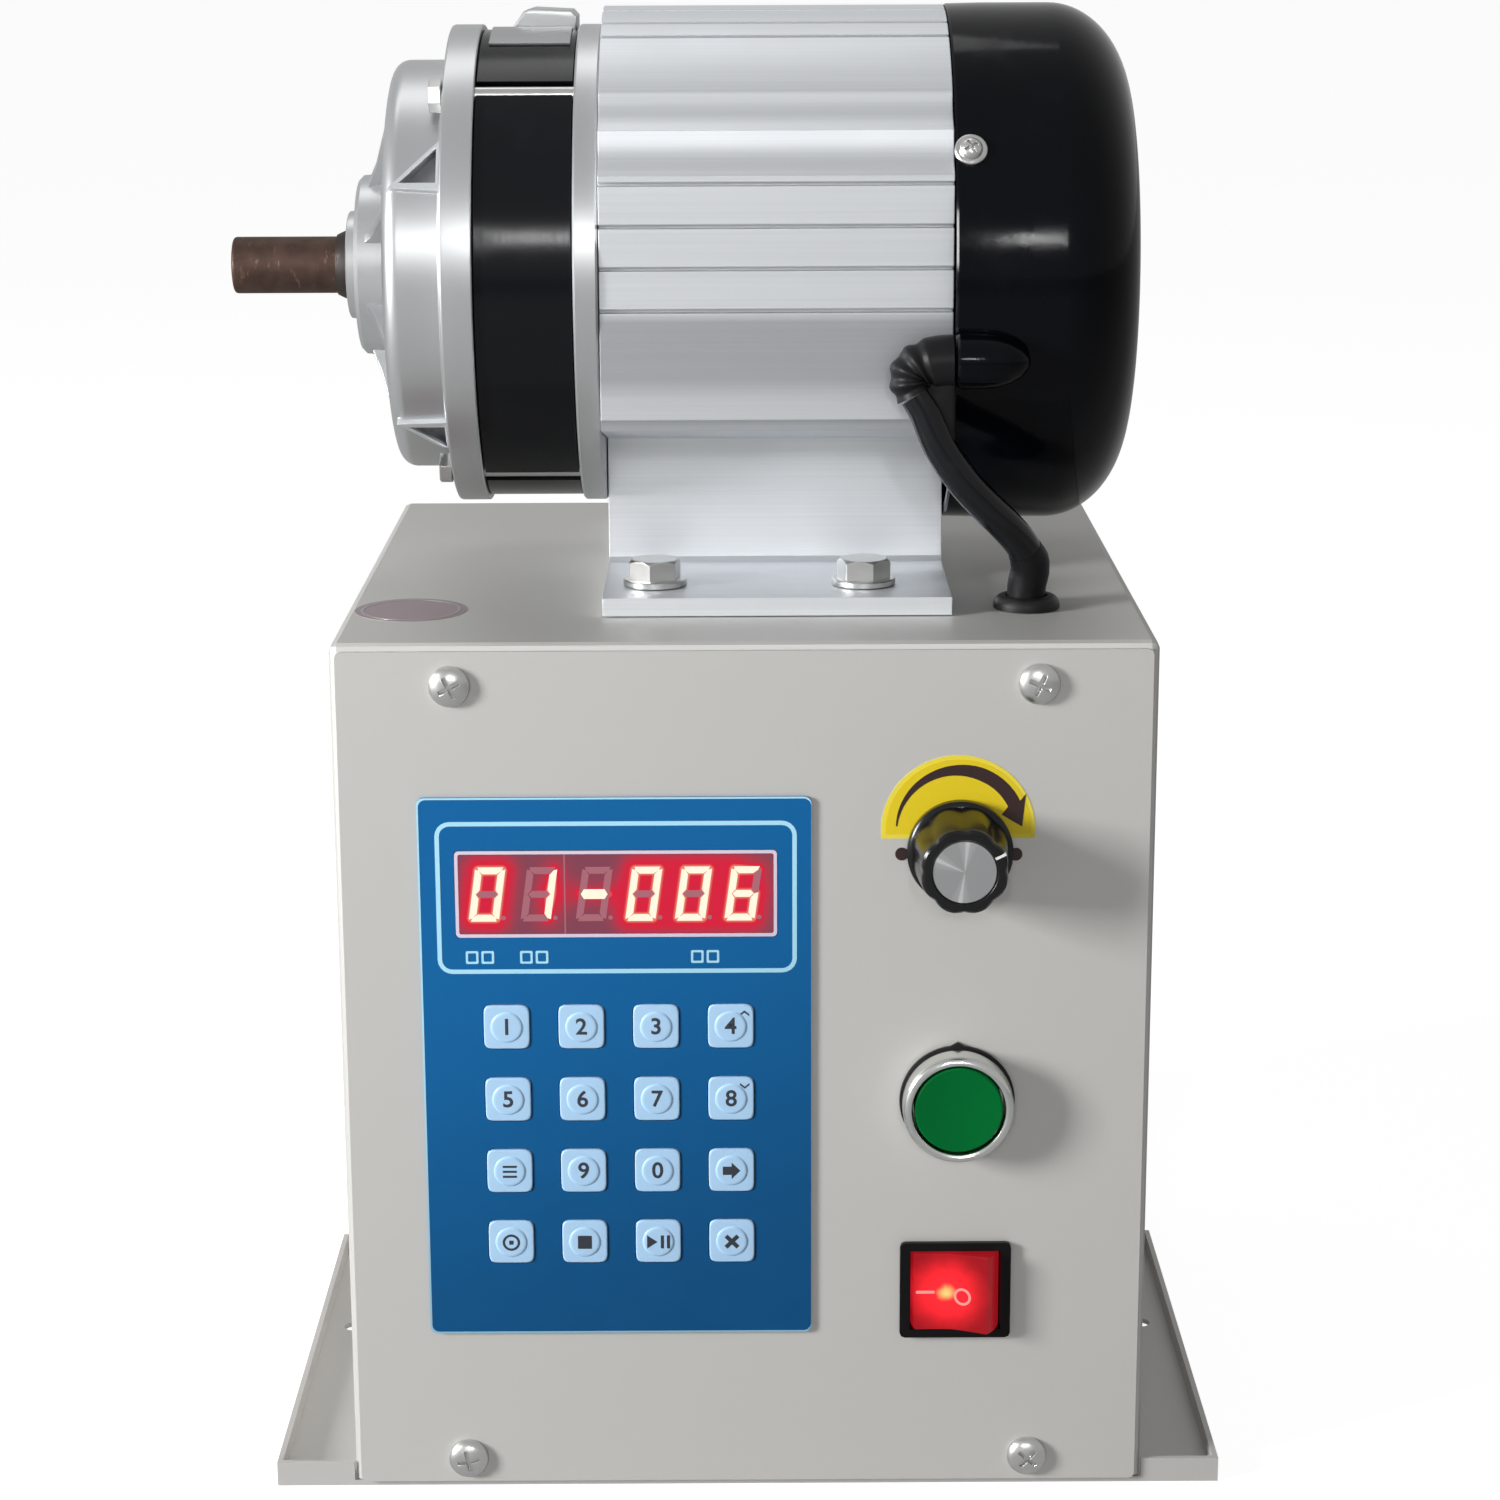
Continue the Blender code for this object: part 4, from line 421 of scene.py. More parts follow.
@dataclass(frozen=True)
class OiledSteel(Finish):
    """Ground steel with a brown film of oil and rust."""

    metallic: float = 0.85

    def pattern(self, sketch: Sketch) -> dict[str, Feed]:
        """Brown blotches, rings from the grinding, and bright rubbed specks."""
        blotch = sketch.noise(230.0, 5.0)
        rings = sketch.noise(Grain.TURNED.value, 2.0)
        rubbed = sketch.step(sketch.noise((500.0, 160.0, 160.0), 3.0), 0.60, 0.70)
        brown = sketch.mix(blotch, shaded(self.colour, 0.45), shaded(self.colour, 1.5))
        return {
            "Base Color": sketch.mix(rubbed * 0.55, brown, shaded(self.colour, 3.0)),
            "Roughness": 0.52 - rubbed * 0.2 + rings * 0.12,
            "Normal": sketch.bump(blotch + rings, 0.00003),
        }


@dataclass(frozen=True)
class SpunDiscPaintedHighlight(Finish):
    """An aluminium disc turned on a lathe, with painted highlights spread as wedges at fixed angles about its centre.
    """

    metallic: float = 1.0
    centre: Place = (0.0, 0.0, 0.0)
    painted_highlight_angles: tuple[float, ...] = (85.0, 262.0, 155.0)
    painted_highlight_width: float = 0.055

    def pattern(self, sketch: Sketch) -> dict[str, Feed]:
        """Rings about the centre, and a painted highlight wedge at each of the angles."""
        offset = sketch.place() - self.centre
        parts = [sketch.node("ShaderNodeSeparateXYZ", feeds={0: offset}, output=name) for name in "XZ"]
        angle = sketch.node("ShaderNodeMath", {"operation": "ARCTAN2"}, {0: parts[1], 1: parts[0]})
        radius = sketch.node("ShaderNodeVectorMath", {"operation": "LENGTH"}, {0: offset}, 1)
        rings = sketch.node("ShaderNodeMath", {"operation": "SINE"}, {0: radius * 26000.0}) * 0.5 + 0.5
        # Painted highlight: the base colour brightens in wedges at fixed angles, standing in for the rings' streaks of
        # light.
        light: Feed = 0.0
        for degrees in self.painted_highlight_angles:
            away = sketch.node("ShaderNodeMath", {"operation": "COSINE"}, {0: angle - math.radians(degrees)})
            light = sketch.step(away, math.cos(self.painted_highlight_width * 2), 1.0) * 0.75 + light
            light = sketch.step(away, math.cos(self.painted_highlight_width * 7), 1.0) * 0.25 + light
        return {
            "Base Color": sketch.mix(light, self.colour, shaded(self.colour, 1.9)),
            "Roughness": 0.42 - light * 0.10,
            "Normal": sketch.bump(rings, 0.000004),
        }


@dataclass(frozen=True)
class PaintedShadeFilm(Finish):
    """A printed plastic sheet with painted shade, darker towards its lower right corner."""

    low: float = 0.047
    high: float = 0.200

    def pattern(self, sketch: Sketch) -> dict[str, Feed]:
        """The ink with painted shade towards the lower right, and the sheet's fine texture."""
        # Painted shade: the ink darkens towards the lower right, where the light falls off.
        rise = sketch.step(sketch.axis("Z") - sketch.axis("X") * 0.35, self.low, self.high)
        ink = sketch.mix(rise, shaded(self.colour, 0.66), shaded(self.colour, 1.22))
        blot = sketch.noise(90.0, 2.0)
        return {
            "Base Color": sketch.mix(blot * 0.12, ink, shaded(self.colour, 1.4)),
            "Roughness": self.roughness - 0.04 + blot * 0.08,
            "Normal": sketch.bump(sketch.noise(1800.0, 1.0), 0.000012),
        }


@dataclass(frozen=True)
class Enamel(Finish):
    """Black gloss paint with a faint ripple and a little dust."""

    grain: Grain = Grain.PLATED
    depth: float = 0.00002

    def pattern(self, sketch: Sketch) -> dict[str, Feed]:
        """The ripple, and dust that dulls it in patches."""
        ripple = sketch.noise(self.grain.value, 2.0)
        dust = sketch.step(sketch.noise(60.0, 5.0), 0.50, 0.85)
        return {
            "Base Color": sketch.mix(dust * 0.5, self.colour, shaded(self.colour, 2.4)),
            "Roughness": self.roughness + dust * 0.10 + ripple * 0.04,
            "Normal": sketch.bump(ripple, self.depth),
        }


@dataclass(frozen=True)
class Rubber(Finish):
    """Matt black rubber, slightly scuffed."""

    roughness: float = 0.45
    specular: float = 0.35

    def pattern(self, sketch: Sketch) -> dict[str, Feed]:
        """Grain, and scuffs that are greyer."""
        scuff = sketch.step(sketch.noise(140.0, 4.0), 0.52, 0.80)
        return {
            "Base Color": sketch.mix(scuff * 0.6, self.colour, shaded(self.colour, 2.5)),
            "Roughness": self.roughness - 0.08 + scuff * 0.2,
            "Normal": sketch.bump(sketch.noise(1100.0, 2.0), 0.00002),
        }


@dataclass(frozen=True)
class Laminations(Finish):
    """Stacked steel sheets with copper windings beyond their ends."""

    metallic: float = 0.7
    start: float = 0.0
    end: float = 0.0

    def pattern(self, sketch: Sketch) -> dict[str, Feed]:
        """Sheet edges between start and end, and copper strands outside."""
        station = sketch.axis("X")
        sheets = sketch.node("ShaderNodeMath", {"operation": "SINE"}, {0: station * 9000.0}) * 0.5 + 0.5
        core = sketch.step(station, self.start, self.start + 0.0004)
        core = core - sketch.step(station, self.end - 0.0004, self.end)
        copper = sketch.mix(sketch.noise((90.0, 700.0, 700.0)), (0.30, 0.10, 0.03), (0.62, 0.26, 0.10))
        steel = sketch.mix(sheets, shaded(self.colour, 0.5), self.colour)
        return {
            "Base Color": sketch.mix(core, copper, steel),
            "Roughness": self.roughness,
            "Normal": sketch.bump(sheets, 0.00005),
        }


@dataclass(frozen=True)
class Board(Finish):
    """A green circuit board with paler tracks."""

    def pattern(self, sketch: Sketch) -> dict[str, Feed]:
        """Tracks from a cell pattern."""
        settings = {"feature": "DISTANCE_TO_EDGE"}
        cells = sketch.node("ShaderNodeTexVoronoi", settings, {"Scale": 190.0, "Vector": sketch.place()})
        track = 1 - sketch.step(cells, 0.05, 0.09)
        return {
            "Base Color": sketch.mix(track, self.colour, shaded(self.colour, 2.2)),
            "Normal": sketch.bump(track, 0.00003),
        }


@dataclass(frozen=True)
class LitWindow(Finish):
    """Red display glass that glows about its lit segments, from the sheet's own glow numbers."""

    dim: Colour = (0.215, 0.060, 0.095)
    lit: Colour = (0.720, 0.012, 0.045)
    hot: Colour = (1.0, 0.34, 0.20)

    def pattern(self, sketch: Sketch) -> dict[str, Feed]:
        """Three shades that follow the glow."""
        glow = sketch.node("ShaderNodeAttribute", {"attribute_name": "glow"}, output="Fac")
        near = sketch.mix(sketch.step(glow, 0.0, 0.5), self.dim, self.lit)
        speck = sketch.noise(900.0, 2.0)
        return {
            "Emission Color": sketch.mix(sketch.step(glow, 0.55, 1.0), near, self.hot),
            "Emission Strength": 0.9,
            "Base Color": sketch.mix(speck, shaded(self.colour, 0.8), shaded(self.colour, 1.2)),
        }


@dataclass(frozen=True)
class Lamp(Finish):
    """A plain surface that shines, such as a lit segment."""

    strength: float = 1.0

    def pattern(self, sketch: Sketch) -> dict[str, Feed]:
        """Its own colour, a touch uneven."""
        uneven = sketch.noise(800.0, 2.0)
        glow = sketch.mix(uneven * 0.5, self.colour, shaded(self.colour, 0.88))
        return {
            "Base Color": shaded(self.colour, 0.1),
            "Emission Color": glow,
            "Emission Strength": self.strength,
        }


@dataclass(frozen=True)
class LitPaddle(Finish):
    """Clear red plastic over a small lamp, brightest in front of the lamp."""

    lamp: Place = (0.0, 0.0, 0.0)
    hot: Colour = (1.0, 0.72, 0.22)
    reach: float = 0.0125

    def pattern(self, sketch: Sketch) -> dict[str, Feed]:
        """Red that turns yellow at the lamp and dark at the ends."""
        offset = (sketch.place() - self.lamp) * (1.0, 0.6, 1.0)
        away = sketch.node("ShaderNodeVectorMath", {"operation": "LENGTH"}, {0: offset}, 1)
        swirl = sketch.noise(260.0, 3.0) * 0.0022 + away
        shade = sketch.mix(
            sketch.step(swirl, self.reach * 0.35, self.reach * 1.15), (0.95, 0.02, 0.03), (0.22, 0.004, 0.008)
        )
        core = 1 - sketch.step(swirl, 0.0010, 0.0042)
        return {
            "Emission Color": sketch.mix(core, shade, self.hot),
            "Emission Strength": 1.2,
            "Normal": sketch.bump(sketch.noise(1200.0), 0.00002),
        }


class Lie(Enum):
    """How a shape's own axes lie on the machine, as the rows of a rotation."""

    UPRIGHT = ((1, 0, 0), (0, 1, 0), (0, 0, 1))
    FRONT = ((1, 0, 0), (0, 0, -1), (0, 1, 0))
    ALONG = ((0, 0, 1), (1, 0, 0), (0, 1, 0))


def polar(radius: float, angle: float, centre: Point = (0.0, 0.0)) -> Point:
    """The point at a radius and an angle from a centre."""
    return centre[0] + radius * math.cos(angle), centre[1] + radius * math.sin(angle)


def arc(radius: float, start: float, end: float, steps: int, centre: Point = (0.0, 0.0)) -> list[Point]:
    """Points along an arc.

    Args:
        radius: The arc's radius.
        start: The first angle, in degrees.
        end: The last angle, in degrees.
        steps: The number of stretches.
        centre: The arc's centre.

    Returns:
        The points, ends included.
    """
    turns = (math.radians(start + (end - start) * step / steps) for step in range(steps + 1))
    return [polar(radius, turn, centre) for turn in turns]


def circle(radius: float, centre: Point = (0.0, 0.0), sides: int = 48) -> list[Point]:
    """A circle's outline."""
    return arc(radius, 0, 360, sides, centre)[:-1]


def rounded(low: Point, high: Point, corner: float, steps: int = 5) -> list[Point]:
    """A rectangle's outline with round corners.

    Args:
        low: The lower left corner.
        high: The upper right corner.
        corner: The corners' radius.
        steps: The stretches in each corner.

    Returns:
        The outline's points.
    """
    right, left, top, bottom = high[0] - corner, low[0] + corner, high[1] - corner, low[1] + corner
    centres = [(right, top), (left, top), (left, bottom), (right, bottom)]
    points: list[Point] = []
    for quarter, centre in enumerate(centres):
        points += arc(corner, 90 * quarter, 90 * quarter + 90, steps, centre)
    return points


def cushion(half: float, squareness: float, sides: int = 64) -> list[Point]:
    """A soft square's outline at even angles.

    Args:
        half: Half the square's width.
        squareness: How tight its corners are, from 2, a circle, up.
        sides: The number of points.

    Returns:
        The outline's points.
    """
    points = []
    for index in range(sides):
        turn = 2 * math.pi * index / sides
        spread = abs(math.cos(turn)) ** squareness + abs(math.sin(turn)) ** squareness
        points.append(polar(half * spread ** (-1 / squareness), turn))
    return points


def about(centre: Point, width: float, height: float, corner: float) -> list[Point]:
    """A round-cornered rectangle about its centre."""
    x, y = centre
    return rounded((x - width / 2, y - height / 2), (x + width / 2, y + height / 2), corner)


class Shape:
    """A mesh in the making, in its own axes until it is laid on the machine."""

    def __init__(self, body: bmesh.types.BMesh) -> None:
        """Keeps the mesh."""
        self.body = body

    @classmethod
    def from_object(cls, piece: bpy.types.Object) -> Shape:
        """The shape of an object with its modifiers applied; the object is removed.

        Args:
            piece: A curve, text or mesh object.

        Returns:
            The shape, with doubled points welded.
        """
        if piece.name not in bpy.context.scene.collection.objects:
            bpy.context.scene.collection.objects.link(piece)
        bpy.context.view_layer.update()
        graph = bpy.context.evaluated_depsgraph_get()
        mesh = bpy.data.meshes.new_from_object(piece.evaluated_get(graph))
        body = bmesh.new()
        body.from_mesh(mesh)
        bpy.data.meshes.remove(mesh)
        bpy.data.objects.remove(piece)
        bmesh.ops.remove_doubles(body, verts=body.verts, dist=0.000002)
        bmesh.ops.dissolve_degenerate(body, edges=body.edges, dist=0.000001)
        bmesh.ops.recalc_face_normals(body, faces=body.faces)
        return cls(body)

    @classmethod
    def turned(cls, profile: Sequence[Point], sides: int = 64, closed: bool = True) -> Shape:
        """A turned shape about its own Z.

        Args:
            profile: Each point's radius and height.
            sides: The number of steps round.
            closed: Whether the last point joins the first.

        Returns:
            The shape.
        """
        body = bmesh.new()
        ring = [body.verts.new((radius, 0, height)) for radius, height in profile]
        edges = [body.edges.new(pair) for pair in zip(ring, ring[1:])]
        if closed:
            edges.append(body.edges.new((ring[-1], ring[0])))
        bmesh.ops.spin(
            body, geom=ring + edges, axis=(0, 0, 1), cent=(0, 0, 0), steps=sides, angle=2 * math.pi
        )
        bmesh.ops.remove_doubles(body, verts=body.verts, dist=0.000002)
        bmesh.ops.recalc_face_normals(body, faces=body.faces)
        return cls(body)

    @classmethod
    def plate(
        cls, outlines: Sequence[Sequence[Point]], thickness: float, back: float = 0.0, edge: float = 0.0
    ) -> Shape:
        """A flat plate in its own XY plane.

        Args:
            outlines: The outer outline and any holes.
            thickness: The plate's thickness along Z.
            back: The height of its back.
            edge: The radius of its edges.

        Returns:
            The plate.
        """
        curve = bpy.data.curves.new("plate", "CURVE")
        curve.dimensions = "2D"
        curve.fill_mode = "BOTH"
        curve.extrude = thickness / 2 - edge
        curve.bevel_depth = edge
        curve.bevel_resolution = 1
        curve.offset = -edge
        for outline in outlines:
            spline = curve.splines.new("POLY")
            spline.points.add(len(outline) - 1)
            for point, (x, y) in zip(spline.points, outline):
                point.co = (x, y, 0, 1)
            spline.use_cyclic_u = True
        plate = cls.from_object(bpy.data.objects.new("plate", curve))
        bmesh.ops.translate(plate.body, vec=(0, 0, back + thickness / 2), verts=plate.body.verts)
        return plate

    @classmethod
    def lofted(cls, rings: Sequence[Sequence[Place]]) -> Shape:
        """A skin over rings of equal count, closed at both ends.

        Args:
            rings: The rings, each a list of points.

        Returns:
            The closed shape.
        """
        body = bmesh.new()
        rows = [[body.verts.new(point) for point in ring] for ring in rings]
        for lower, upper in zip(rows, rows[1:]):
            for index in range(len(lower)):
                body.faces.new((lower[index - 1], lower[index], upper[index], upper[index - 1]))
        body.faces.new(rows[0])
        body.faces.new(rows[-1])
        bmesh.ops.recalc_face_normals(body, faces=body.faces)
        return cls(body)

    @classmethod
    def block(cls, low: Place, high: Place, edge: float = 0.0) -> Shape:
        """A box between two corners.

        Args:
            low: The lowest corner.
            high: The highest corner.
            edge: The radius of its edges.

        Returns:
            The box.
        """
        body = bmesh.new()
        bmesh.ops.create_cube(body, size=1)
        bmesh.ops.scale(body, vec=Vector(high) - Vector(low), verts=body.verts)
        bmesh.ops.translate(body, vec=(Vector(high) + Vector(low)) / 2, verts=body.verts)
        if edge:
            bmesh.ops.bevel(body, geom=body.edges[:], offset=edge, segments=2, profile=0.5, affect="EDGES")
        return cls(body)

    @classmethod
    def tube(cls, points: Sequence[Place], radii: Sequence[float]) -> Shape:
        """A round tube along points, with its own radius at each one.

        Args:
            points: The centre line.
            radii: The radius at each point.

        Returns:
            The tube, closed at its ends.
        """
        curve = bpy.data.curves.new("tube", "CURVE")
        curve.dimensions = "3D"
        curve.bevel_depth = 1
        curve.bevel_resolution = 6
        curve.use_fill_caps = True
        spline = curve.splines.new("POLY")
        spline.points.add(len(points) - 1)
        for point, place, radius in zip(spline.points, points, radii):
            point.co = (*place, 1)
            point.radius = radius
        return cls.from_object(bpy.data.objects.new("tube", curve))

    @classmethod
    def figure(cls, text: str, size: float, depth: float, weight: float) -> Shape:
        """A printed number.

        Args:
            text: The number.
            size: Its size.
            depth: The print's thickness.
            weight: How much its strokes are thickened.

        Returns:
            The sign, centred on its own origin.
        """
        curve = bpy.data.curves.new("figure", "FONT")
        curve.body = text
        curve.size = size
        curve.align_x = "CENTER"
        curve.align_y = "CENTER"
        curve.extrude = depth / 2
        curve.offset = weight
        return cls.from_object(bpy.data.objects.new("figure", curve))

    def __add__(self, other: Shape) -> Shape:
        """This shape with another one beside it in the same mesh."""
        mesh = other.mesh("joined")
        self.body.from_mesh(mesh)
        bpy.data.meshes.remove(mesh)
        return self

    def __sub__(self, other: Shape) -> Shape:
        """This shape with another one cut out of it."""
        pair = [bpy.data.objects.new("cut", shape.mesh("cut")) for shape in (self, other)]
        for piece in pair:
            bpy.context.scene.collection.objects.link(piece)
        modifier = pair[0].modifiers.new("cut", "BOOLEAN")
        modifier.object = pair[1]
        result = Shape.from_object(pair[0])
        bpy.data.objects.remove(pair[1])
        return result

    def spun(self, angle: float) -> Shape:
        """Turns the shape about its own Z, in radians."""
        bmesh.ops.transform(self.body, matrix=Matrix.Rotation(angle, 4, "Z"), verts=self.body.verts)
        return self

    def laid(self, lie: Lie, at: Sequence[float] = (0.0, 0.0, 0.0)) -> Shape:
        """Lays the shape on the machine.

        Args:
            lie: How its own axes lie.
            at: Where its own origin goes.

        Returns:
            The same shape, moved.
        """
        return self.moved(Matrix.Translation(at) @ Matrix(lie.value).to_4x4())

    def moved(self, matrix: Matrix) -> Shape:
        """Moves the shape by a matrix."""
        bmesh.ops.transform(self.body, matrix=matrix, verts=self.body.verts)
        return self

    def mesh(self, name: str) -> bpy.types.Mesh:
        """The finished mesh, smooth but for its sharp edges.

        Args:
            name: The mesh's name.

        Returns:
            The mesh; the shape is used up.
        """
        made = bpy.data.meshes.new(name)
        self.body.to_mesh(made)
        self.body.free()
        made.shade_smooth()
        made.set_sharp_from_angle(angle=math.radians(32))
        return made


class Bench:
    """Puts pieces on the machine's bodies and says so in the log."""

    def show(
        self, name: str, shape: Shape, finish: Finish, body: str = MACHINE, stands_for: Iterable[str] = ()
    ) -> bpy.types.Object:
        """Adds a piece.

        Args:
            name: The piece's name.
            shape: Its shape, laid on the machine.
            finish: Its finish.
            body: The body that it moves with.
            stands_for: The CAD nodes that it replaces.

        Returns:
            The piece.
        """
        mesh = shape.mesh(name)
        mesh.materials.append(finish.material())
        piece = bpy.data.objects.new(name, mesh)
        bpy.context.scene.collection.objects.link(piece)
        even = piece.modifiers.new("even_normals", "WEIGHTED_NORMAL")
        even.keep_sharp = True
        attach(piece, body)
        nodes = list(stands_for)
        if nodes:
            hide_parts(*nodes)
        LOG.info("%s: %d faces, %s, on %s", name, len(mesh.polygons), finish.name, body)
        return piece

    def repaint(self, nodes: dict[str, bpy.types.Object], finish: Finish, *names: str) -> None:
        """Gives CAD nodes a finish.

        Args:
            nodes: The frame's nodes.
            finish: The finish.
            names: The nodes' names.
        """
        for name in names:
            nodes[name].data.materials.clear()
            nodes[name].data.materials.append(finish.material())
            LOG.info("%s: kept, %s", name, finish.name)


CABINET_PAINT = PowderCoat("cabinet_paint", "cabinet_paint", (0.575, 0.575, 0.545), 0.42)
TRAY_PAINT = PowderCoat("tray_paint", "tray_paint", (0.545, 0.540, 0.510), 0.46)
ZINC = Metal("bright_zinc", "zinc", (0.62, 0.62, 0.61), 0.30, grain=Grain.PLATED)
CAST = Metal("cast_aluminium", "cast_aluminium", (0.76, 0.775, 0.785), 0.46, depth=0.00003, contrast=0.07)
WORN_CAST = Metal("worn_cast_edge", "cast_aluminium", (0.84, 0.86, 0.88), 0.40, contrast=0.04)
# Painted shade: a dark grey sheet laid in the pockets' floors stands in for the shadow inside them.
POCKET_SHADE = Metal("pocket_painted_shade", "cast_aluminium", (0.20, 0.205, 0.21), 0.65, depth=0.00006)
# The frame's flats carry painted light and shade by height.
DRAWN_PAINTED_SHADE = PaintedShadeExtrusion("drawn_aluminium_painted_shade", "extruded_aluminium", (0.86, 0.885, 0.92), 0.50, grain=Grain.DRAWN_PAINTED_SHADE)
CHROME = Metal("satin_chrome", "chrome", (0.66, 0.67, 0.65), 0.20, grain=Grain.PLATED, contrast=0.04)
GEAR_STEEL = Metal("gear_steel", "gear_steel", (0.45, 0.45, 0.46), 0.32)
SHAFT = OiledSteel("oiled_shaft", "shaft_steel", (0.090, 0.055, 0.044), 0.5)
OILY_BLACK = OiledSteel("oily_black", "rubber_black", (0.016, 0.010, 0.008), 0.5, metallic=0.2)
BELL_BLACK = Enamel("bell_enamel", "gloss_black", (0.002, 0.0025, 0.004), 0.09, specular=0.11)
DRUM_BLACK = Enamel(
    "drum_enamel", "gloss_black", (0.002, 0.0025, 0.004), 0.15, specular=0.24, grain=Grain.TURNED, depth=0.000016
)
LEAD_RUBBER = Rubber("lead_rubber", "rubber_black", (0.0045, 0.005, 0.0065), roughness=0.22, specular=0.32)
SLEEVE_RUBBER = Rubber("sleeve_rubber", "rubber_black", (0.007, 0.007, 0.008), roughness=0.5, specular=0.18)
SOFT_RUBBER = Rubber("seal_rubber", "rubber_black", (0.008, 0.008, 0.008), roughness=0.5, specular=0.25)
OVERLAY_BLUE = PaintedShadeFilm("overlay_ink", "overlay_blue", (0.005, 0.108, 0.300), 0.42, specular=0.16)
PRINT_BLUE = PaintedShadeFilm("pale_blue_ink", "overlay_blue", (0.36, 0.66, 0.86), 0.42)
PRINT_WHITE = PaintedShadeFilm("window_edge_ink", "overlay_blue", (0.62, 0.55, 0.66), 0.35)
KEY_FILM = PaintedShadeFilm("key_film", "key_blue", (0.38, 0.58, 0.80), 0.34, specular=0.3, low=-0.5, high=0.3)
KEY_INK = PaintedShadeFilm("key_ink", "overlay_blue", (0.030, 0.036, 0.050), 0.5)
YELLOW = PaintedShadeFilm("label_yellow", "cabinet_paint", (0.70, 0.53, 0.010), 0.45, low=-0.4, high=0.3)
YELLOW_EDGE = PaintedShadeFilm("label_edge", "cabinet_paint", (0.74, 0.61, 0.05), 0.45)
ARROW_INK = PaintedShadeFilm("arrow_ink", "knob_black", (0.022, 0.006, 0.006), 0.5)
STICKER = PaintedShadeFilm("plain_sticker", "cabinet_paint", (0.30, 0.235, 0.255), 0.5, low=-0.6, high=0.4)
PLATE_FOIL = Metal("plate_foil", "cast_aluminium", (0.46, 0.47, 0.48), 0.34, grain=Grain.DRAWN_PAINTED_SHADE)
KNOB_BLACK = Enamel("knob_plastic", "knob_black", (0.005, 0.005, 0.0055), 0.16, specular=0.36)
POINTER = PaintedShadeFilm("pointer_white", "knob_black", (0.80, 0.80, 0.78), 0.4)
GREEN = Finish("green_cap", "button_green", (0.0004, 0.150, 0.030), 0.26, specular=0.07)
ROCKER_BLACK = Finish("rocker_plastic", "rocker_black", (0.004, 0.004, 0.004), 0.42, specular=0.14)
SIGN_PINK = Lamp("sign_pink", "rocker_red", (0.95, 0.36, 0.34), 0.4, specular=0.1, strength=0.9)
SEGMENT = Lamp("lit_segment", "window_red", (1.0, 0.90, 0.72), 0.4, specular=0.1, strength=1.0)
# Painted glow: the unlit segments and the display seam shine by themselves, standing in for room light on them.
UNLIT_SEGMENT_GLOW = Lamp("unlit_segment", "window_red", (0.42, 0.150, 0.190), 0.4, specular=0.1, strength=0.9)
WINDOW = LitWindow("display_glass", "window_red", (0.04, 0.006, 0.008), 0.12, specular=0.12)
BOARD = Board("circuit_board", "board_green", (0.03, 0.20, 0.08), 0.4)


@dataclass
class Cabinet:
    """The folded cabinet, its panels, screws, sticker and mains inlet."""

    bench: Bench
    frame: dict
    screw_radius: float = 0.0055
    screw_height: float = 0.0030
    screw_dome: float = 0.0022
    recess_width: float = 0.0011
    recess_length: float = 0.0060
    recess_depth: float = 0.0016
    sticker_radius: float = 0.0155
    sticker_place: Point = (-0.0920, -0.0620)
    print_thickness: float = 0.0001
    pin_cover: float = 0.00012

    def build(self) -> None:
        """Dresses the sheet metal and adds the small pieces."""
        nodes = self.frame["nodes"]
        self.bench.repaint(nodes, CABINET_PAINT, "cabinet_shell", "front_panel", "rear_panel")
        self.bench.repaint(nodes, TRAY_PAINT, "base_tray")
        self.bench.repaint(nodes, ROCKER_BLACK, "mains_inlet")
        self.bench.repaint(nodes, BOARD, "control_board")
        self.bench.repaint(nodes, ZINC, "potentiometer")
        for index in range(4):
            self.screw(index)
        self.sticker()

    def screw(self, index: int) -> None:
        """One pan head screw with a cross recess.

        Args:
            index: Which of the four front screws, from 0.
        """
        node = f"panel_screw_{index + 1}"
        low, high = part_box(node)
        radius, rim = self.screw_radius, self.screw_height - self.screw_dome
        profile = [(0.0, 0.0), (radius, 0.0), (radius, rim)]
        profile += [
            (radius * math.cos(angle), rim + self.screw_dome * math.sin(angle))
            for angle in (math.radians(degrees) for degrees in (20, 40, 60, 80))
        ]
        profile.append((0.0, self.screw_height))
        head = Shape.turned(profile, 32, closed=False)
        bar = (self.recess_length / 2, self.recess_width / 2)
        bottom, top = self.screw_height - self.recess_depth, self.screw_height * 2
        for x, y in (bar, bar[::-1]):
            head = head - Shape.block((-x, -y, bottom), (x, y, top))
        shank = Shape.turned([(0, 0), (0.0020, 0), (0.0020, high.y - low.y - self.screw_height), (0, high.y - low.y - self.screw_height)], 16, closed=False)
        shank = shank.moved(Matrix.Scale(-1, 4, (0, 0, 1)))
        bmesh.ops.recalc_face_normals(shank.body, faces=shank.body.faces)
        head = (head + shank).spun(math.radians(28 + 37 * index))
        at = ((low.x + high.x) / 2, low.y + self.screw_height, (low.z + high.z) / 2)
        self.bench.show(f"cross_screw_{index + 1}", head.laid(Lie.FRONT, at), ZINC, stands_for=[node])

    def sticker(self) -> None:
        """A plain round sticker on the roof."""
        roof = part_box("cabinet_shell")[1].z
        disc = Shape.plate([circle(self.sticker_radius)], self.print_thickness)
        ring = Shape.plate(
            [circle(self.sticker_radius * 0.90), circle(self.sticker_radius * 0.84)],
            self.print_thickness / 2,
            self.print_thickness,
        )
        at = (*self.sticker_place, roof)
        self.bench.show("roof_sticker", disc.laid(Lie.UPRIGHT, at), STICKER)
        self.bench.show("roof_sticker_ring", ring.laid(Lie.UPRIGHT, at), PLATE_FOIL)


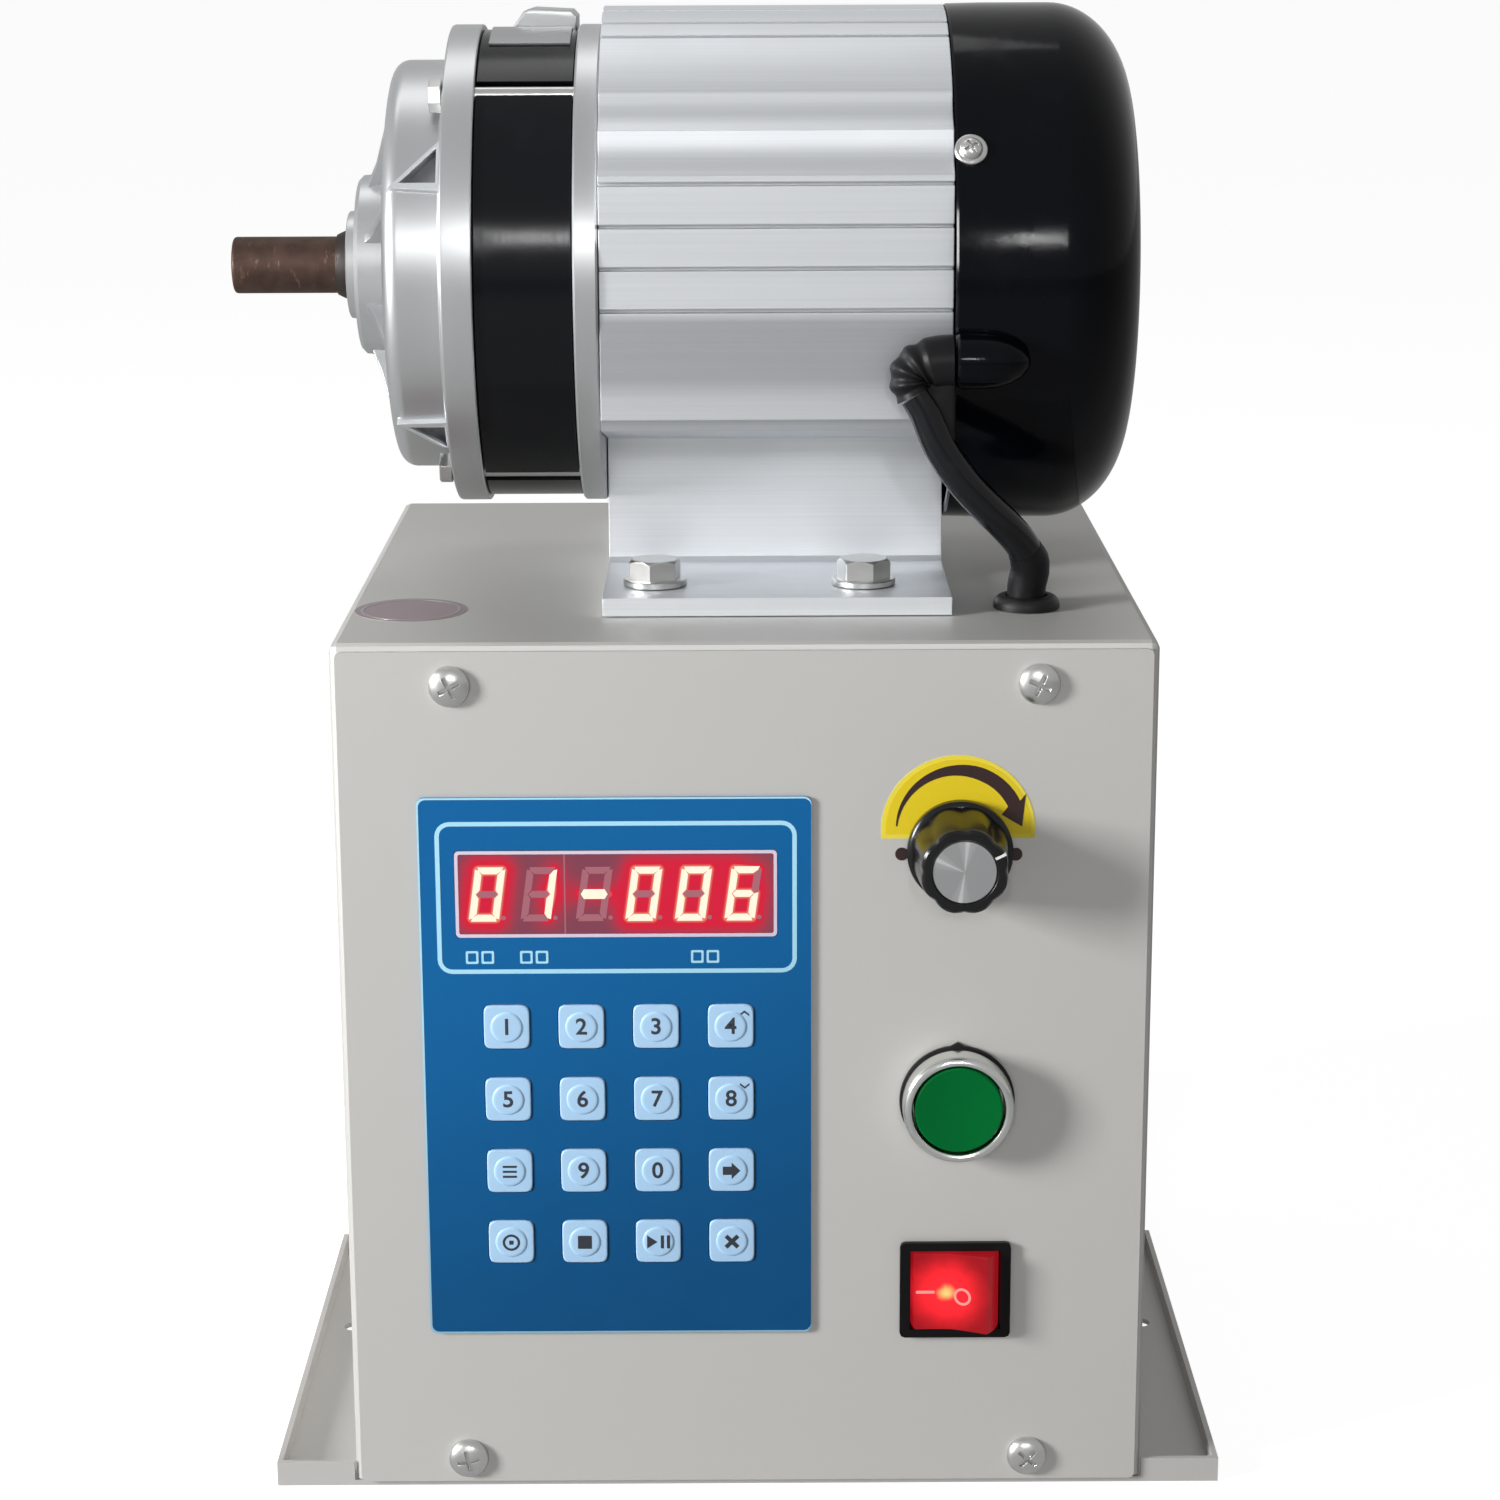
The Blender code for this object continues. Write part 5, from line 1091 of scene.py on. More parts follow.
@dataclass
class Keypad:
    """The printed overlay with its display window, its digits and sixteen keys."""

    bench: Bench
    frame: dict
    reading: str = "01-006"
    print_thickness: float = 0.00006
    overlay_corner: float = 0.0020
    edge_line: float = 0.0005
    outline_low: Point = (-0.0829, 0.1512)
    outline_high: Point = (0.0138, 0.1936)
    outline_line: float = 0.0012
    outline_corner: float = 0.0040
    window_line: float = 0.0007
    digit_places: tuple[float, ...] = (-0.0692, -0.0553, -0.0405, -0.0272, -0.0139, -0.0006)
    digit_half_width: float = 0.0031
    digit_half_height: float = 0.0066
    stroke: float = 0.0019
    stroke_gap: float = 0.00025
    slant: float = math.radians(8)
    bar_width: float = 0.0072
    bar_height: float = 0.0027
    point_radius: float = 0.0006
    glow_step: float = 0.0004
    glow_reach: float = 0.0044
    seam_x: float = -0.0484
    key_corner: float = 0.0020
    key_rim: float = 0.0005
    key_size: float = 0.0124
    key_hole: float = 0.0128
    key_squareness: float = 8.0
    dome_radius: float = 0.0044
    dome_rise: float = 0.00032
    legend_size: float = 0.0064
    legend_weight: float = 0.00012
    mark_size: float = 0.0024
    caption_places: tuple[float, ...] = (-0.0736, -0.0694, -0.0590, -0.0548, -0.0130, -0.0088)
    caption_z: float = 0.1558

    def build(self) -> None:
        """Makes the overlay, the display and the keys."""
        low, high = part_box("keypad_overlay")
        self.front = low.y
        self.thickness = high.y - low.y
        self.sheet(low, high)
        self.window()
        for index in range(16):
            self.key(index)

    def flat(self, outlines: Sequence[Sequence[Point]], lift: float = 0.0) -> Shape:
        """Ink on the overlay's front.

        Args:
            outlines: The print's outer outline and holes, in X and Z.
            lift: How far in front of the overlay it lies.

        Returns:
            The print, laid on the machine.
        """
        return Shape.plate(outlines, self.print_thickness).laid(Lie.FRONT, (0, self.front - lift, 0))

    def sheet(self, low: Vector, high: Vector) -> None:
        """The blue sheet with its openings, its pale edge and its printed outline.

        Args:
            low: The overlay's lowest corner.
            high: The overlay's highest corner.
        """
        outer = rounded((low.x, low.z), (high.x, high.z), self.overlay_corner)
        holes = []
        for index in range(16):
            a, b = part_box(f"key_{index + 1:02d}")
            half = self.key_hole / 2
            centre = ((a.x + b.x) / 2, (a.z + b.z) / 2)
            holes.append(about(centre, half * 2, half * 2, self.key_corner + 0.0003))
        a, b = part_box("display_window")
        holes.append(rounded((a.x - 0.0003, a.z - 0.0003), (b.x + 0.0003, b.z + 0.0003), 0.0010))
        sheet = Shape.plate([outer, *holes], self.thickness, 0, 0.00015)
        self.bench.show(
            "printed_overlay",
            sheet.laid(Lie.FRONT, (0, high.y, 0)),
            OVERLAY_BLUE,
            stands_for=["keypad_overlay"],
        )
        line, corner = self.edge_line, self.overlay_corner
        inner = rounded((low.x + line, low.z + line), (high.x - 0.00004, high.z - line), corner)
        rim = rounded((low.x, low.z), (high.x, high.z), corner)
        self.bench.show("overlay_edge", self.flat([rim, inner]), PRINT_BLUE)
        line = self.outline_line
        (x0, z0), (x1, z1) = self.outline_low, self.outline_high
        ring = [
            rounded((x0, z0), (x1, z1), self.outline_corner),
            rounded((x0 + line, z0 + line), (x1 - line, z1 - line), self.outline_corner - line),
        ]
        self.bench.show("display_outline", self.flat(ring), PRINT_BLUE)
        captions = None
        for x in self.caption_places:
            mark = self.flat([about((x, self.caption_z), 0.0034, 0.0036, 0.0004), about((x, self.caption_z), 0.0022, 0.0024, 0.0003)])
            captions = mark if captions is None else captions + mark
        self.bench.show("caption_marks", captions, PRINT_BLUE)

    def segments(self, middle: Point) -> dict[str, list[Point]]:
        """The seven segments of one digit, by letter from the top clockwise, the bar last.

        Args:
            middle: The digit's centre, in X and Z.

        Returns:
            Each segment's outline.
        """
        w, h, s = self.digit_half_width, self.digit_half_height, self.stroke / 2
        gap = self.stroke_gap
        ends = {
            "a": ((-w, h), (w, h)),
            "b": ((w, h), (w, 0)),
            "c": ((w, 0), (w, -h)),
            "d": ((-w, -h), (w, -h)),
            "e": ((-w, 0), (-w, -h)),
            "f": ((-w, h), (-w, 0)),
            "g": ((-w, 0), (w, 0)),
        }
        made = {}
        for letter, (start, end) in ends.items():
            along = Vector((end[0] - start[0], end[1] - start[1])).normalized()
            side = Vector((-along.y, along.x)) * s
            first = Vector(start) + along * gap
            last = Vector(end) - along * gap
            mitre = along * s
            if letter == "g":
                points = [first, first + mitre + side, last - mitre + side, last, last - mitre - side, first + mitre - side]
            else:
                outward = Vector(start) + Vector(end)
                outer = side if side.dot(outward) > 0 else -side
                points = [first - mitre * 0.3, first - mitre * 0.6 + outer, last + mitre * 0.6 + outer]
                points += [last + mitre * 0.3, last - mitre - outer, first + mitre - outer]
            shear = math.tan(self.slant)
            made[letter] = [(middle[0] + p.x + p.y * shear, middle[1] + p.y) for p in points]
        return made

    def bar(self, middle: Point) -> list[Point]:
        """The broad bar that stands for a minus sign.

        Args:
            middle: Its centre, in X and Z.

        Returns:
            Its outline.
        """
        half, tall, tip = self.bar_width / 2, self.bar_height / 2, self.bar_height * 0.3
        right = [(half, 0), (half - tip, tall), (tip - half, tall)]
        return [(middle[0] + x, middle[1] + y) for x, y in right + [(-x, -y) for x, y in right]]

    def window(self) -> None:
        """The red glass with its glow, its frame and the digits behind it."""
        low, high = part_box("display_window")
        middle = (low.z + high.z) / 2
        lines = {
            "0": "abcdef", "1": "bc", "2": "abged", "3": "abgcd", "4": "fgbc",
            "5": "afgcd", "6": "afgedc", "7": "abc", "8": "abcdefg", "9": "abcdfg", "-": "g",
        }
        lit, unlit = [], []
        for x, sign in zip(self.digit_places, self.reading):
            for letter, outline in self.segments((x, middle)).items():
                if sign == "-" and letter == "g":
                    outline = self.bar((x, middle))
                (lit if letter in lines[sign] else unlit).append(outline)
            centre = (x + self.digit_half_width + 0.0012, middle - self.digit_half_height)
            unlit.append(circle(self.point_radius, centre, 16))
        self.glass(low, high, lit)
        front = low.y
        bright = None
        for outline in lit:
            mark = Shape.plate([outline], self.print_thickness).laid(Lie.FRONT, (0, front - 0.00003, 0))
            bright = mark if bright is None else bright + mark
        self.bench.show("lit_segments", bright, SEGMENT)
        # The unlit segments shine with a painted glow.
        faint = None
        for outline in unlit:
            mark = Shape.plate([outline], self.print_thickness).laid(Lie.FRONT, (0, front, 0))
            faint = mark if faint is None else faint + mark
        self.bench.show("unlit_segments", faint, UNLIT_SEGMENT_GLOW)
        line = self.window_line
        ring = [
            rounded((low.x - 0.0002, low.z - 0.0002), (high.x + 0.0002, high.z + 0.0002), 0.0012),
            rounded((low.x + line, low.z + line), (high.x - line, high.z - line), 0.0006),
        ]
        frame = Shape.plate(ring, self.print_thickness * 2).laid(Lie.FRONT, (0, front, 0))
        self.bench.show("window_edge", frame, PRINT_WHITE)
        seam = Shape.block((self.seam_x - 0.0002, front - 0.00005, low.z + line), (self.seam_x + 0.0002, front, high.z - line))
        self.bench.show("display_seam", seam, UNLIT_SEGMENT_GLOW)

    def glass(self, low: Vector, high: Vector, lit: Sequence[Sequence[Point]]) -> None:
        """The window's glass, whose points carry how strongly they glow.

        Args:
            low: The window's lowest corner.
            high: The window's highest corner.
            lit: The outlines of the lit segments.
        """
        columns = round((high.x - low.x) / self.glow_step)
        rows = round((high.z - low.z) / self.glow_step)
        body = bmesh.new()
        bmesh.ops.create_grid(body, x_segments=columns, y_segments=rows, size=0.5)
        bmesh.ops.scale(body, vec=(high.x - low.x, high.z - low.z, 1), verts=body.verts)
        rim = [edge for edge in body.edges if edge.is_boundary]
        skirt = bmesh.ops.extrude_edge_only(body, edges=rim)["geom"]
        moved = [item for item in skirt if isinstance(item, bmesh.types.BMVert)]
        bmesh.ops.translate(body, vec=(0, 0, low.y - high.y), verts=moved)
        bmesh.ops.contextual_create(body, geom=[e for e in body.edges if e.is_boundary])
        bmesh.ops.recalc_face_normals(body, faces=body.faces)
        at = ((low.x + high.x) / 2, low.y, (low.z + high.z) / 2)
        glass = self.bench.show(
            "display_glass_sheet", Shape(body).laid(Lie.FRONT, at), WINDOW, stands_for=["display_window"]
        )
        bars = [(Vector(outline[0]), Vector(outline[3])) for outline in lit]
        values = []
        for vertex in glass.data.vertices:
            spot = Vector((vertex.co.x, vertex.co.z))
            near = min(self.distance(spot, *bar) for bar in bars)
            total = sum(math.exp(-((self.distance(spot, *bar) / self.glow_reach) ** 2)) for bar in bars)
            edge = math.exp(-((max(0.0, near - self.stroke / 2) / 0.0006) ** 2))
            values.append(min(0.5, total * 0.26) + edge * 0.34)
        glow = glass.data.attributes.new("glow", "FLOAT", "POINT")
        glow.data.foreach_set("value", values)

    def distance(self, spot: Vector, start: Vector, end: Vector) -> float:
        """How far a point is from a line.

        Args:
            spot: The point.
            start: The line's first end.
            end: The line's last end.

        Returns:
            The distance.
        """
        along = end - start
        share = max(0.0, min(1.0, (spot - start).dot(along) / max(along.length_squared, 1e-12)))
        return (spot - start - along * share).length

    def key(self, index: int) -> None:
        """One key with its dome and its legend.

        Args:
            index: The key's number, from 0 at the top left.
        """
        node = f"key_{index + 1:02d}"
        low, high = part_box(node)
        centre = ((low.x + high.x) / 2, (low.z + high.z) / 2)
        half = self.key_size / 2
        back, face = high.y, high.y - low.y
        rim, rise = self.key_rim, self.dome_rise
        rings = []
        for inset, drop in ((0, face - rise), (0, rim), (0.12, rim * 0.5), (0.45, rim * 0.13), (1, 0)):
            outline = cushion(half - inset * rim, self.key_squareness)
            rings.append([(x, y, face - rise - drop) for x, y in outline])
        for share, lift in ((1.0, 0.0), (0.97, 0.3), (0.92, 0.75), (0.86, 0.95), (0.75, 1.0), (0.02, 1.0)):
            outline = circle(self.dome_radius * share, sides=64)
            rings.append([(x, y, face - rise * (1 - lift)) for x, y in outline])
        cap = Shape.lofted(rings).laid(Lie.FRONT, (centre[0], back, centre[1]))
        self.bench.show(f"key_cap_{index + 1:02d}", cap, KEY_FILM, node, [node])
        legend = self.legend(index)
        legend = legend.laid(Lie.FRONT, (centre[0], back - face, centre[1]))
        self.bench.show(f"key_legend_{index + 1:02d}", legend, KEY_INK, node)

    def legend(self, index: int) -> Shape:
        """A key's number, or a plain sign where the key has none.

        Args:
            index: The key's number, from 0 at the top left.

        Returns:
            The sign in the key's own plane.
        """
        numbers = {0: "1", 1: "2", 2: "3", 3: "4", 4: "5", 5: "6", 6: "7", 7: "8", 9: "9", 10: "0"}
        ink, m = self.print_thickness, self.mark_size
        if index in numbers:
            sign = Shape.figure(numbers[index], self.legend_size, ink, self.legend_weight)
            if index in (3, 7):
                up = 1 if index == 3 else -1
                x, y, reach, stroke = 0.0037, 0.0040, 0.0013, 0.0006
                wing = up * reach * 0.8
                mark = [
                    (x - reach, y - wing / 2), (x, y + wing / 2), (x + reach, y - wing / 2),
                    (x + reach, y - wing / 2 - stroke), (x, y + wing / 2 - stroke), (x - reach, y - wing / 2 - stroke),
                ]
                sign = sign + Shape.plate([mark], ink, -ink / 2 - self.dome_rise)
            return sign
        signs: dict[int, list[list[Point]]] = {
            8: [about((0, y), m * 1.6, m * 0.26, 0.0001) for y in (-m * 0.6, 0, m * 0.6)],
            11: [[(-m, m * 0.5), (0, m * 0.5), (0, m), (m, 0), (0, -m), (0, -m * 0.5), (-m, -m * 0.5)]],
            12: [circle(m, sides=24), circle(m * 0.72, sides=24), about((0, 0), m * 0.5, m * 0.5, 0.0001)],
            13: [about((0, 0), m * 1.6, m * 1.6, 0.0002)],
            14: [
                [(-m * 1.3, m * 0.8), (-m * 0.1, 0), (-m * 1.3, -m * 0.8)],
                about((m * 0.45, 0), m * 0.36, m * 1.6, 0.0001),
                about((m * 1.15, 0), m * 0.36, m * 1.6, 0.0001),
            ],
            15: [[
                polar(m * (1.0 if step % 3 else 0.35), math.radians(45 + 90 * (step // 3) + (0, -14, 14)[(step + 0) % 3] + (0 if step % 3 else -45)))
                for step in range(12)
            ]],
        }
        return Shape.plate(signs[index], ink, -ink / 2)


@dataclass
class Controls:
    """The speed knob with its label, the push button and the rocker switch."""

    bench: Bench
    frame: dict
    label_centre: Point = (0.0569, 0.1905)
    label_radius: float = 0.0206
    label_bottom: float = 0.1882
    label_edge: float = 0.0011
    arrow_radius: float = 0.0165
    dot_radius: float = 0.0018
    dot_places: tuple[Point, ...] = ((0.0419, 0.1839), (0.0724, 0.1837))
    print_thickness: float = 0.00012
    knob_standoff: float = 0.0008
    skirt_radius: float = 0.0142
    skirt_height: float = 0.0026
    grip_radius: float = 0.0132
    face_radius: float = 0.0116
    lobes: int = 8
    lobe_depth: float = 0.0008
    disc_radius: float = 0.0085
    pointer_angle: float = 25.0
    gasket_radius: float = 0.0157
    gasket_height: float = 0.0012
    rim_wall: float = 0.0026
    cap_dish: float = 0.0006
    rocker_pivot_depth: float = 0.0022
    rocker_tilt: float = math.radians(11)

    def build(self) -> None:
        """Makes the three controls and the prints about the knob."""
        self.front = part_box("front_panel")[0].y
        low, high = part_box("speed_knob")
        self.knob_at = ((low.x + high.x) / 2, self.front, (low.z + high.z) / 2)
        self.knob_top = self.front - low.y
        self.label()
        self.knob()
        self.button()
        self.rocker()

    def label(self) -> None:
        """The yellow label with its arrow, and the two dots."""
        (x, z), radius = self.label_centre, self.label_radius
        dip = math.degrees(math.asin((z - self.label_bottom) / radius))
        outline = arc(radius, -dip, 180 + dip, 40, (x, z))
        inner = arc(radius - self.label_edge, -dip / 2, 180 + dip / 2, 40, (x, z))
        at = (0, self.front, 0)
        t = self.print_thickness
        self.bench.show("dial_label", Shape.plate([outline], t).laid(Lie.FRONT, at), YELLOW_EDGE)
        face = Shape.plate([inner], t / 2, t)
        self.bench.show("dial_label_face", face.laid(Lie.FRONT, at), YELLOW)
        steps = 30
        outer_edge, inner_edge = [], []
        for step in range(steps + 1):
            share = step / steps
            angle = math.radians(176 - 150 * share)
            width = 0.0002 + 0.0016 * min(1.0, share * 1.4)
            outer_edge.append(polar(self.arrow_radius + width, angle, (x, z)))
            inner_edge.append(polar(self.arrow_radius - width, angle, (x, z)))
        head = [
            polar(self.arrow_radius + 0.0040, math.radians(29), (x, z)),
            polar(self.arrow_radius + 0.0006, math.radians(3), (x, z)),
            polar(self.arrow_radius - 0.0042, math.radians(20), (x, z)),
        ]
        arrow = Shape.plate([outer_edge + head + inner_edge[::-1]], t / 2, t * 1.5)
        self.bench.show("dial_arrow", arrow.laid(Lie.FRONT, at), ARROW_INK)
        dots = [Shape.plate([circle(self.dot_radius, place, 24)], t) for place in self.dot_places]
        self.bench.show("dial_dots", (dots[0] + dots[1]).laid(Lie.FRONT, at), ARROW_INK)

    def knob(self) -> None:
        """The fluted knob, its spun disc and its pointer."""
        top, foot = self.knob_top, self.knob_standoff
        count = self.lobes * 12
        levels = [
            (foot, self.skirt_radius, 0.0),
            (foot + self.skirt_height * 0.8, self.skirt_radius, 0.0),
            (foot + self.skirt_height, self.skirt_radius - 0.0004, 0.1),
            (foot + self.skirt_height + 0.0003, self.grip_radius, 0.6),
            (foot + self.skirt_height + 0.0012, self.grip_radius - 0.0001, 1.0),
            (top - 0.0020, self.face_radius + 0.0003, 1.0),
            (top - 0.0007, self.face_radius, 1.0),
            (top - 0.0001, self.face_radius - 0.0007, 0.7),
            (top, self.face_radius - 0.0014, 0.3),
            (top, self.disc_radius + 0.0004, 0.0),
            (top - 0.0007, self.disc_radius, 0.0),
        ]
        rings = []
        for height, radius, depth in levels:
            ring = []
            for step in range(count):
                dip = self.lobe_depth * depth * (1 - abs(math.sin(math.pi * self.lobes * step / count)))
                ring.append((*polar(radius - dip, 2 * math.pi * step / count), height))
            rings.append(ring)
        body = Shape.lofted(rings) + Shape.turned([(0, 0.001), (0.003, 0.001), (0.003, -0.010), (0, -0.010)], 24, False)
        self.bench.show("fluted_knob", body.laid(Lie.FRONT, self.knob_at), KNOB_BLACK, "knob", ["speed_knob"])
        disc = Shape.turned([(0, top - 0.00035), (self.disc_radius - 0.0002, top - 0.0004), (self.disc_radius, top - 0.0006), (0, top - 0.0006)], 64, False)
        x, y, z = self.knob_at
        finish = SpunDiscPaintedHighlight("spun_disc_painted_highlight", "knob_black", (0.46, 0.465, 0.47), 0.4, centre=(x, y - top, z))
        self.bench.show("knob_disc", disc.laid(Lie.FRONT, self.knob_at), finish, "knob")
        line = Shape.block((self.disc_radius + 0.0003, -0.00035, top - 0.0002), (self.face_radius - 0.0002, 0.00035, top + 0.00006))
        side = Shape.block((self.face_radius - 0.0004, -0.00035, top - 0.0060), (self.face_radius + 0.00022, 0.00035, top + 0.00001))
        pointer = (line + side).spun(math.radians(self.pointer_angle))
        self.bench.show("knob_pointer", pointer.laid(Lie.FRONT, self.knob_at), POINTER, "knob")

    def button(self) -> None:
        """The button's rim with its barrel, its gasket and its dished cap."""
        low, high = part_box("button_bezel")
        at = ((low.x + high.x) / 2, self.front, (low.z + high.z) / 2)
        radius, top, deep = (high.x - low.x) / 2, self.front - low.y, self.front - high.y
        well, gasket = radius - self.rim_wall, self.gasket_height
        profile = [
            (radius - 0.0016, top),
            (radius - 0.0008, top - 0.0002),
            (radius - 0.0003, top - 0.0007),
            (radius, top - 0.0016),
            (radius, gasket + 0.0016),
            (radius - 0.0004, gasket + 0.0012),
            (radius - 0.0004, gasket),
            (0.0110, gasket),
            (0.0110, deep),
            (0.00645, deep),
            (0.00645, 0.0015),
            (well, 0.0015),
            (well, top - 0.0011),
            (well + 0.0003, top - 0.0003),
            (well + 0.0009, top),
        ]
        self.bench.show(
            "button_rim", Shape.turned(profile, 72).laid(Lie.FRONT, at), CHROME, stands_for=["button_bezel"]
        )
        ring = arc(self.gasket_radius, 97, 443, 60)
        ring = [polar(self.gasket_radius + 0.0010, math.radians(90))] + ring
        gasket_plate = Shape.plate([ring, circle(0.0112)], gasket, 0, 0.0003)
        self.bench.show("button_gasket", gasket_plate.laid(Lie.FRONT, at), SOFT_RUBBER)
        low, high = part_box("green_button")
        face, cap = self.front - low.y, (high.x - low.x) / 2
        dish = [(cap * share, face - self.cap_dish * (1 - share * share)) for share in (0, 0.25, 0.5, 0.75, 0.9)]
        profile = [
            *dish,
            (cap - 0.0005, face - 0.00005),
            (cap - 0.0001, face - 0.0003),
            (cap, face - 0.0008),
            (cap, face - 0.0040),
            (0.0060, face - 0.0040),
            (0.0060, self.front - high.y),
            (0, self.front - high.y),
        ]
        cap_shape = Shape.turned(profile, 72, False).laid(Lie.FRONT, at)
        self.bench.show("green_cap", cap_shape, GREEN, "push_button", ["green_button"])

    def rocker(self) -> None:
        """The switch's bezel, its lit paddle and the two signs on it."""
        self.bench.repaint(self.frame["nodes"], ROCKER_BLACK, "rocker_housing")
        low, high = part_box("rocker_paddle")
        pivot = Vector((self.knob_at[0], self.front + self.rocker_pivot_depth, (low.z + high.z) / 2))
        lamp = (pivot.x - 0.0026, self.front - 0.004, pivot.z - 0.0002)
        finish = LitPaddle("lit_paddle", "rocker_red", (0.10, 0.002, 0.003), 0.22, specular=0.16, lamp=lamp)
        half = (high.z - low.z) / 2
        reach = 0.0125 - 0.00035
        front_angle = math.asin(0.0070 / reach)
        back_angle = math.asin(0.0042 / reach)
        right = [
            polar(reach, -front_angle + (front_angle + back_angle) * step / 10) for step in range(11)
        ]
        left = [(-x, y) for x, y in reversed(right)]
        corner = (reach * math.cos(front_angle), -0.0070)
        valley = [
            (x * corner[0], -0.0051 - (0.0070 - 0.0051) * abs(x) ** 1.25)
            for x in (-0.8, -0.6, -0.4, -0.2, 0.0, 0.2, 0.4, 0.6, 0.8)
        ]
        paddle = Shape.plate([right + left + valley], half * 2, -half, 0.0005)
        tilt = Matrix.Translation(pivot) @ Matrix.Rotation(-self.rocker_tilt, 4, "Z")
        self.bench.show("lit_rocker", paddle.moved(tilt), finish, "rocker", ["rocker_paddle"])
        slope = math.atan2(0.0019, corner[0])
        for side, name, x, z in ((-1, "rocker_on_sign", -0.0072, 0.0), (1, "rocker_off_sign", 0.0030, -0.0010)):
            if side < 0:
                sign = Shape.plate([about((0, 0), 0.0052, 0.0008, 0.0003)], 0.0001)
            else:
                sign = Shape.plate([circle(0.0025, sides=32), circle(0.0018, sides=32)], 0.0001)
            y = -0.0051 - 0.0019 * (abs(x) / corner[0]) ** 1.25 - 0.00012
            stand = Matrix.Translation((x, y, z)) @ Matrix.Rotation(-side * slope * 1.1, 4, "Z")
            sign = sign.moved(tilt @ stand @ Matrix(Lie.FRONT.value).to_4x4())
            self.bench.show(name, sign, SIGN_PINK, "rocker")


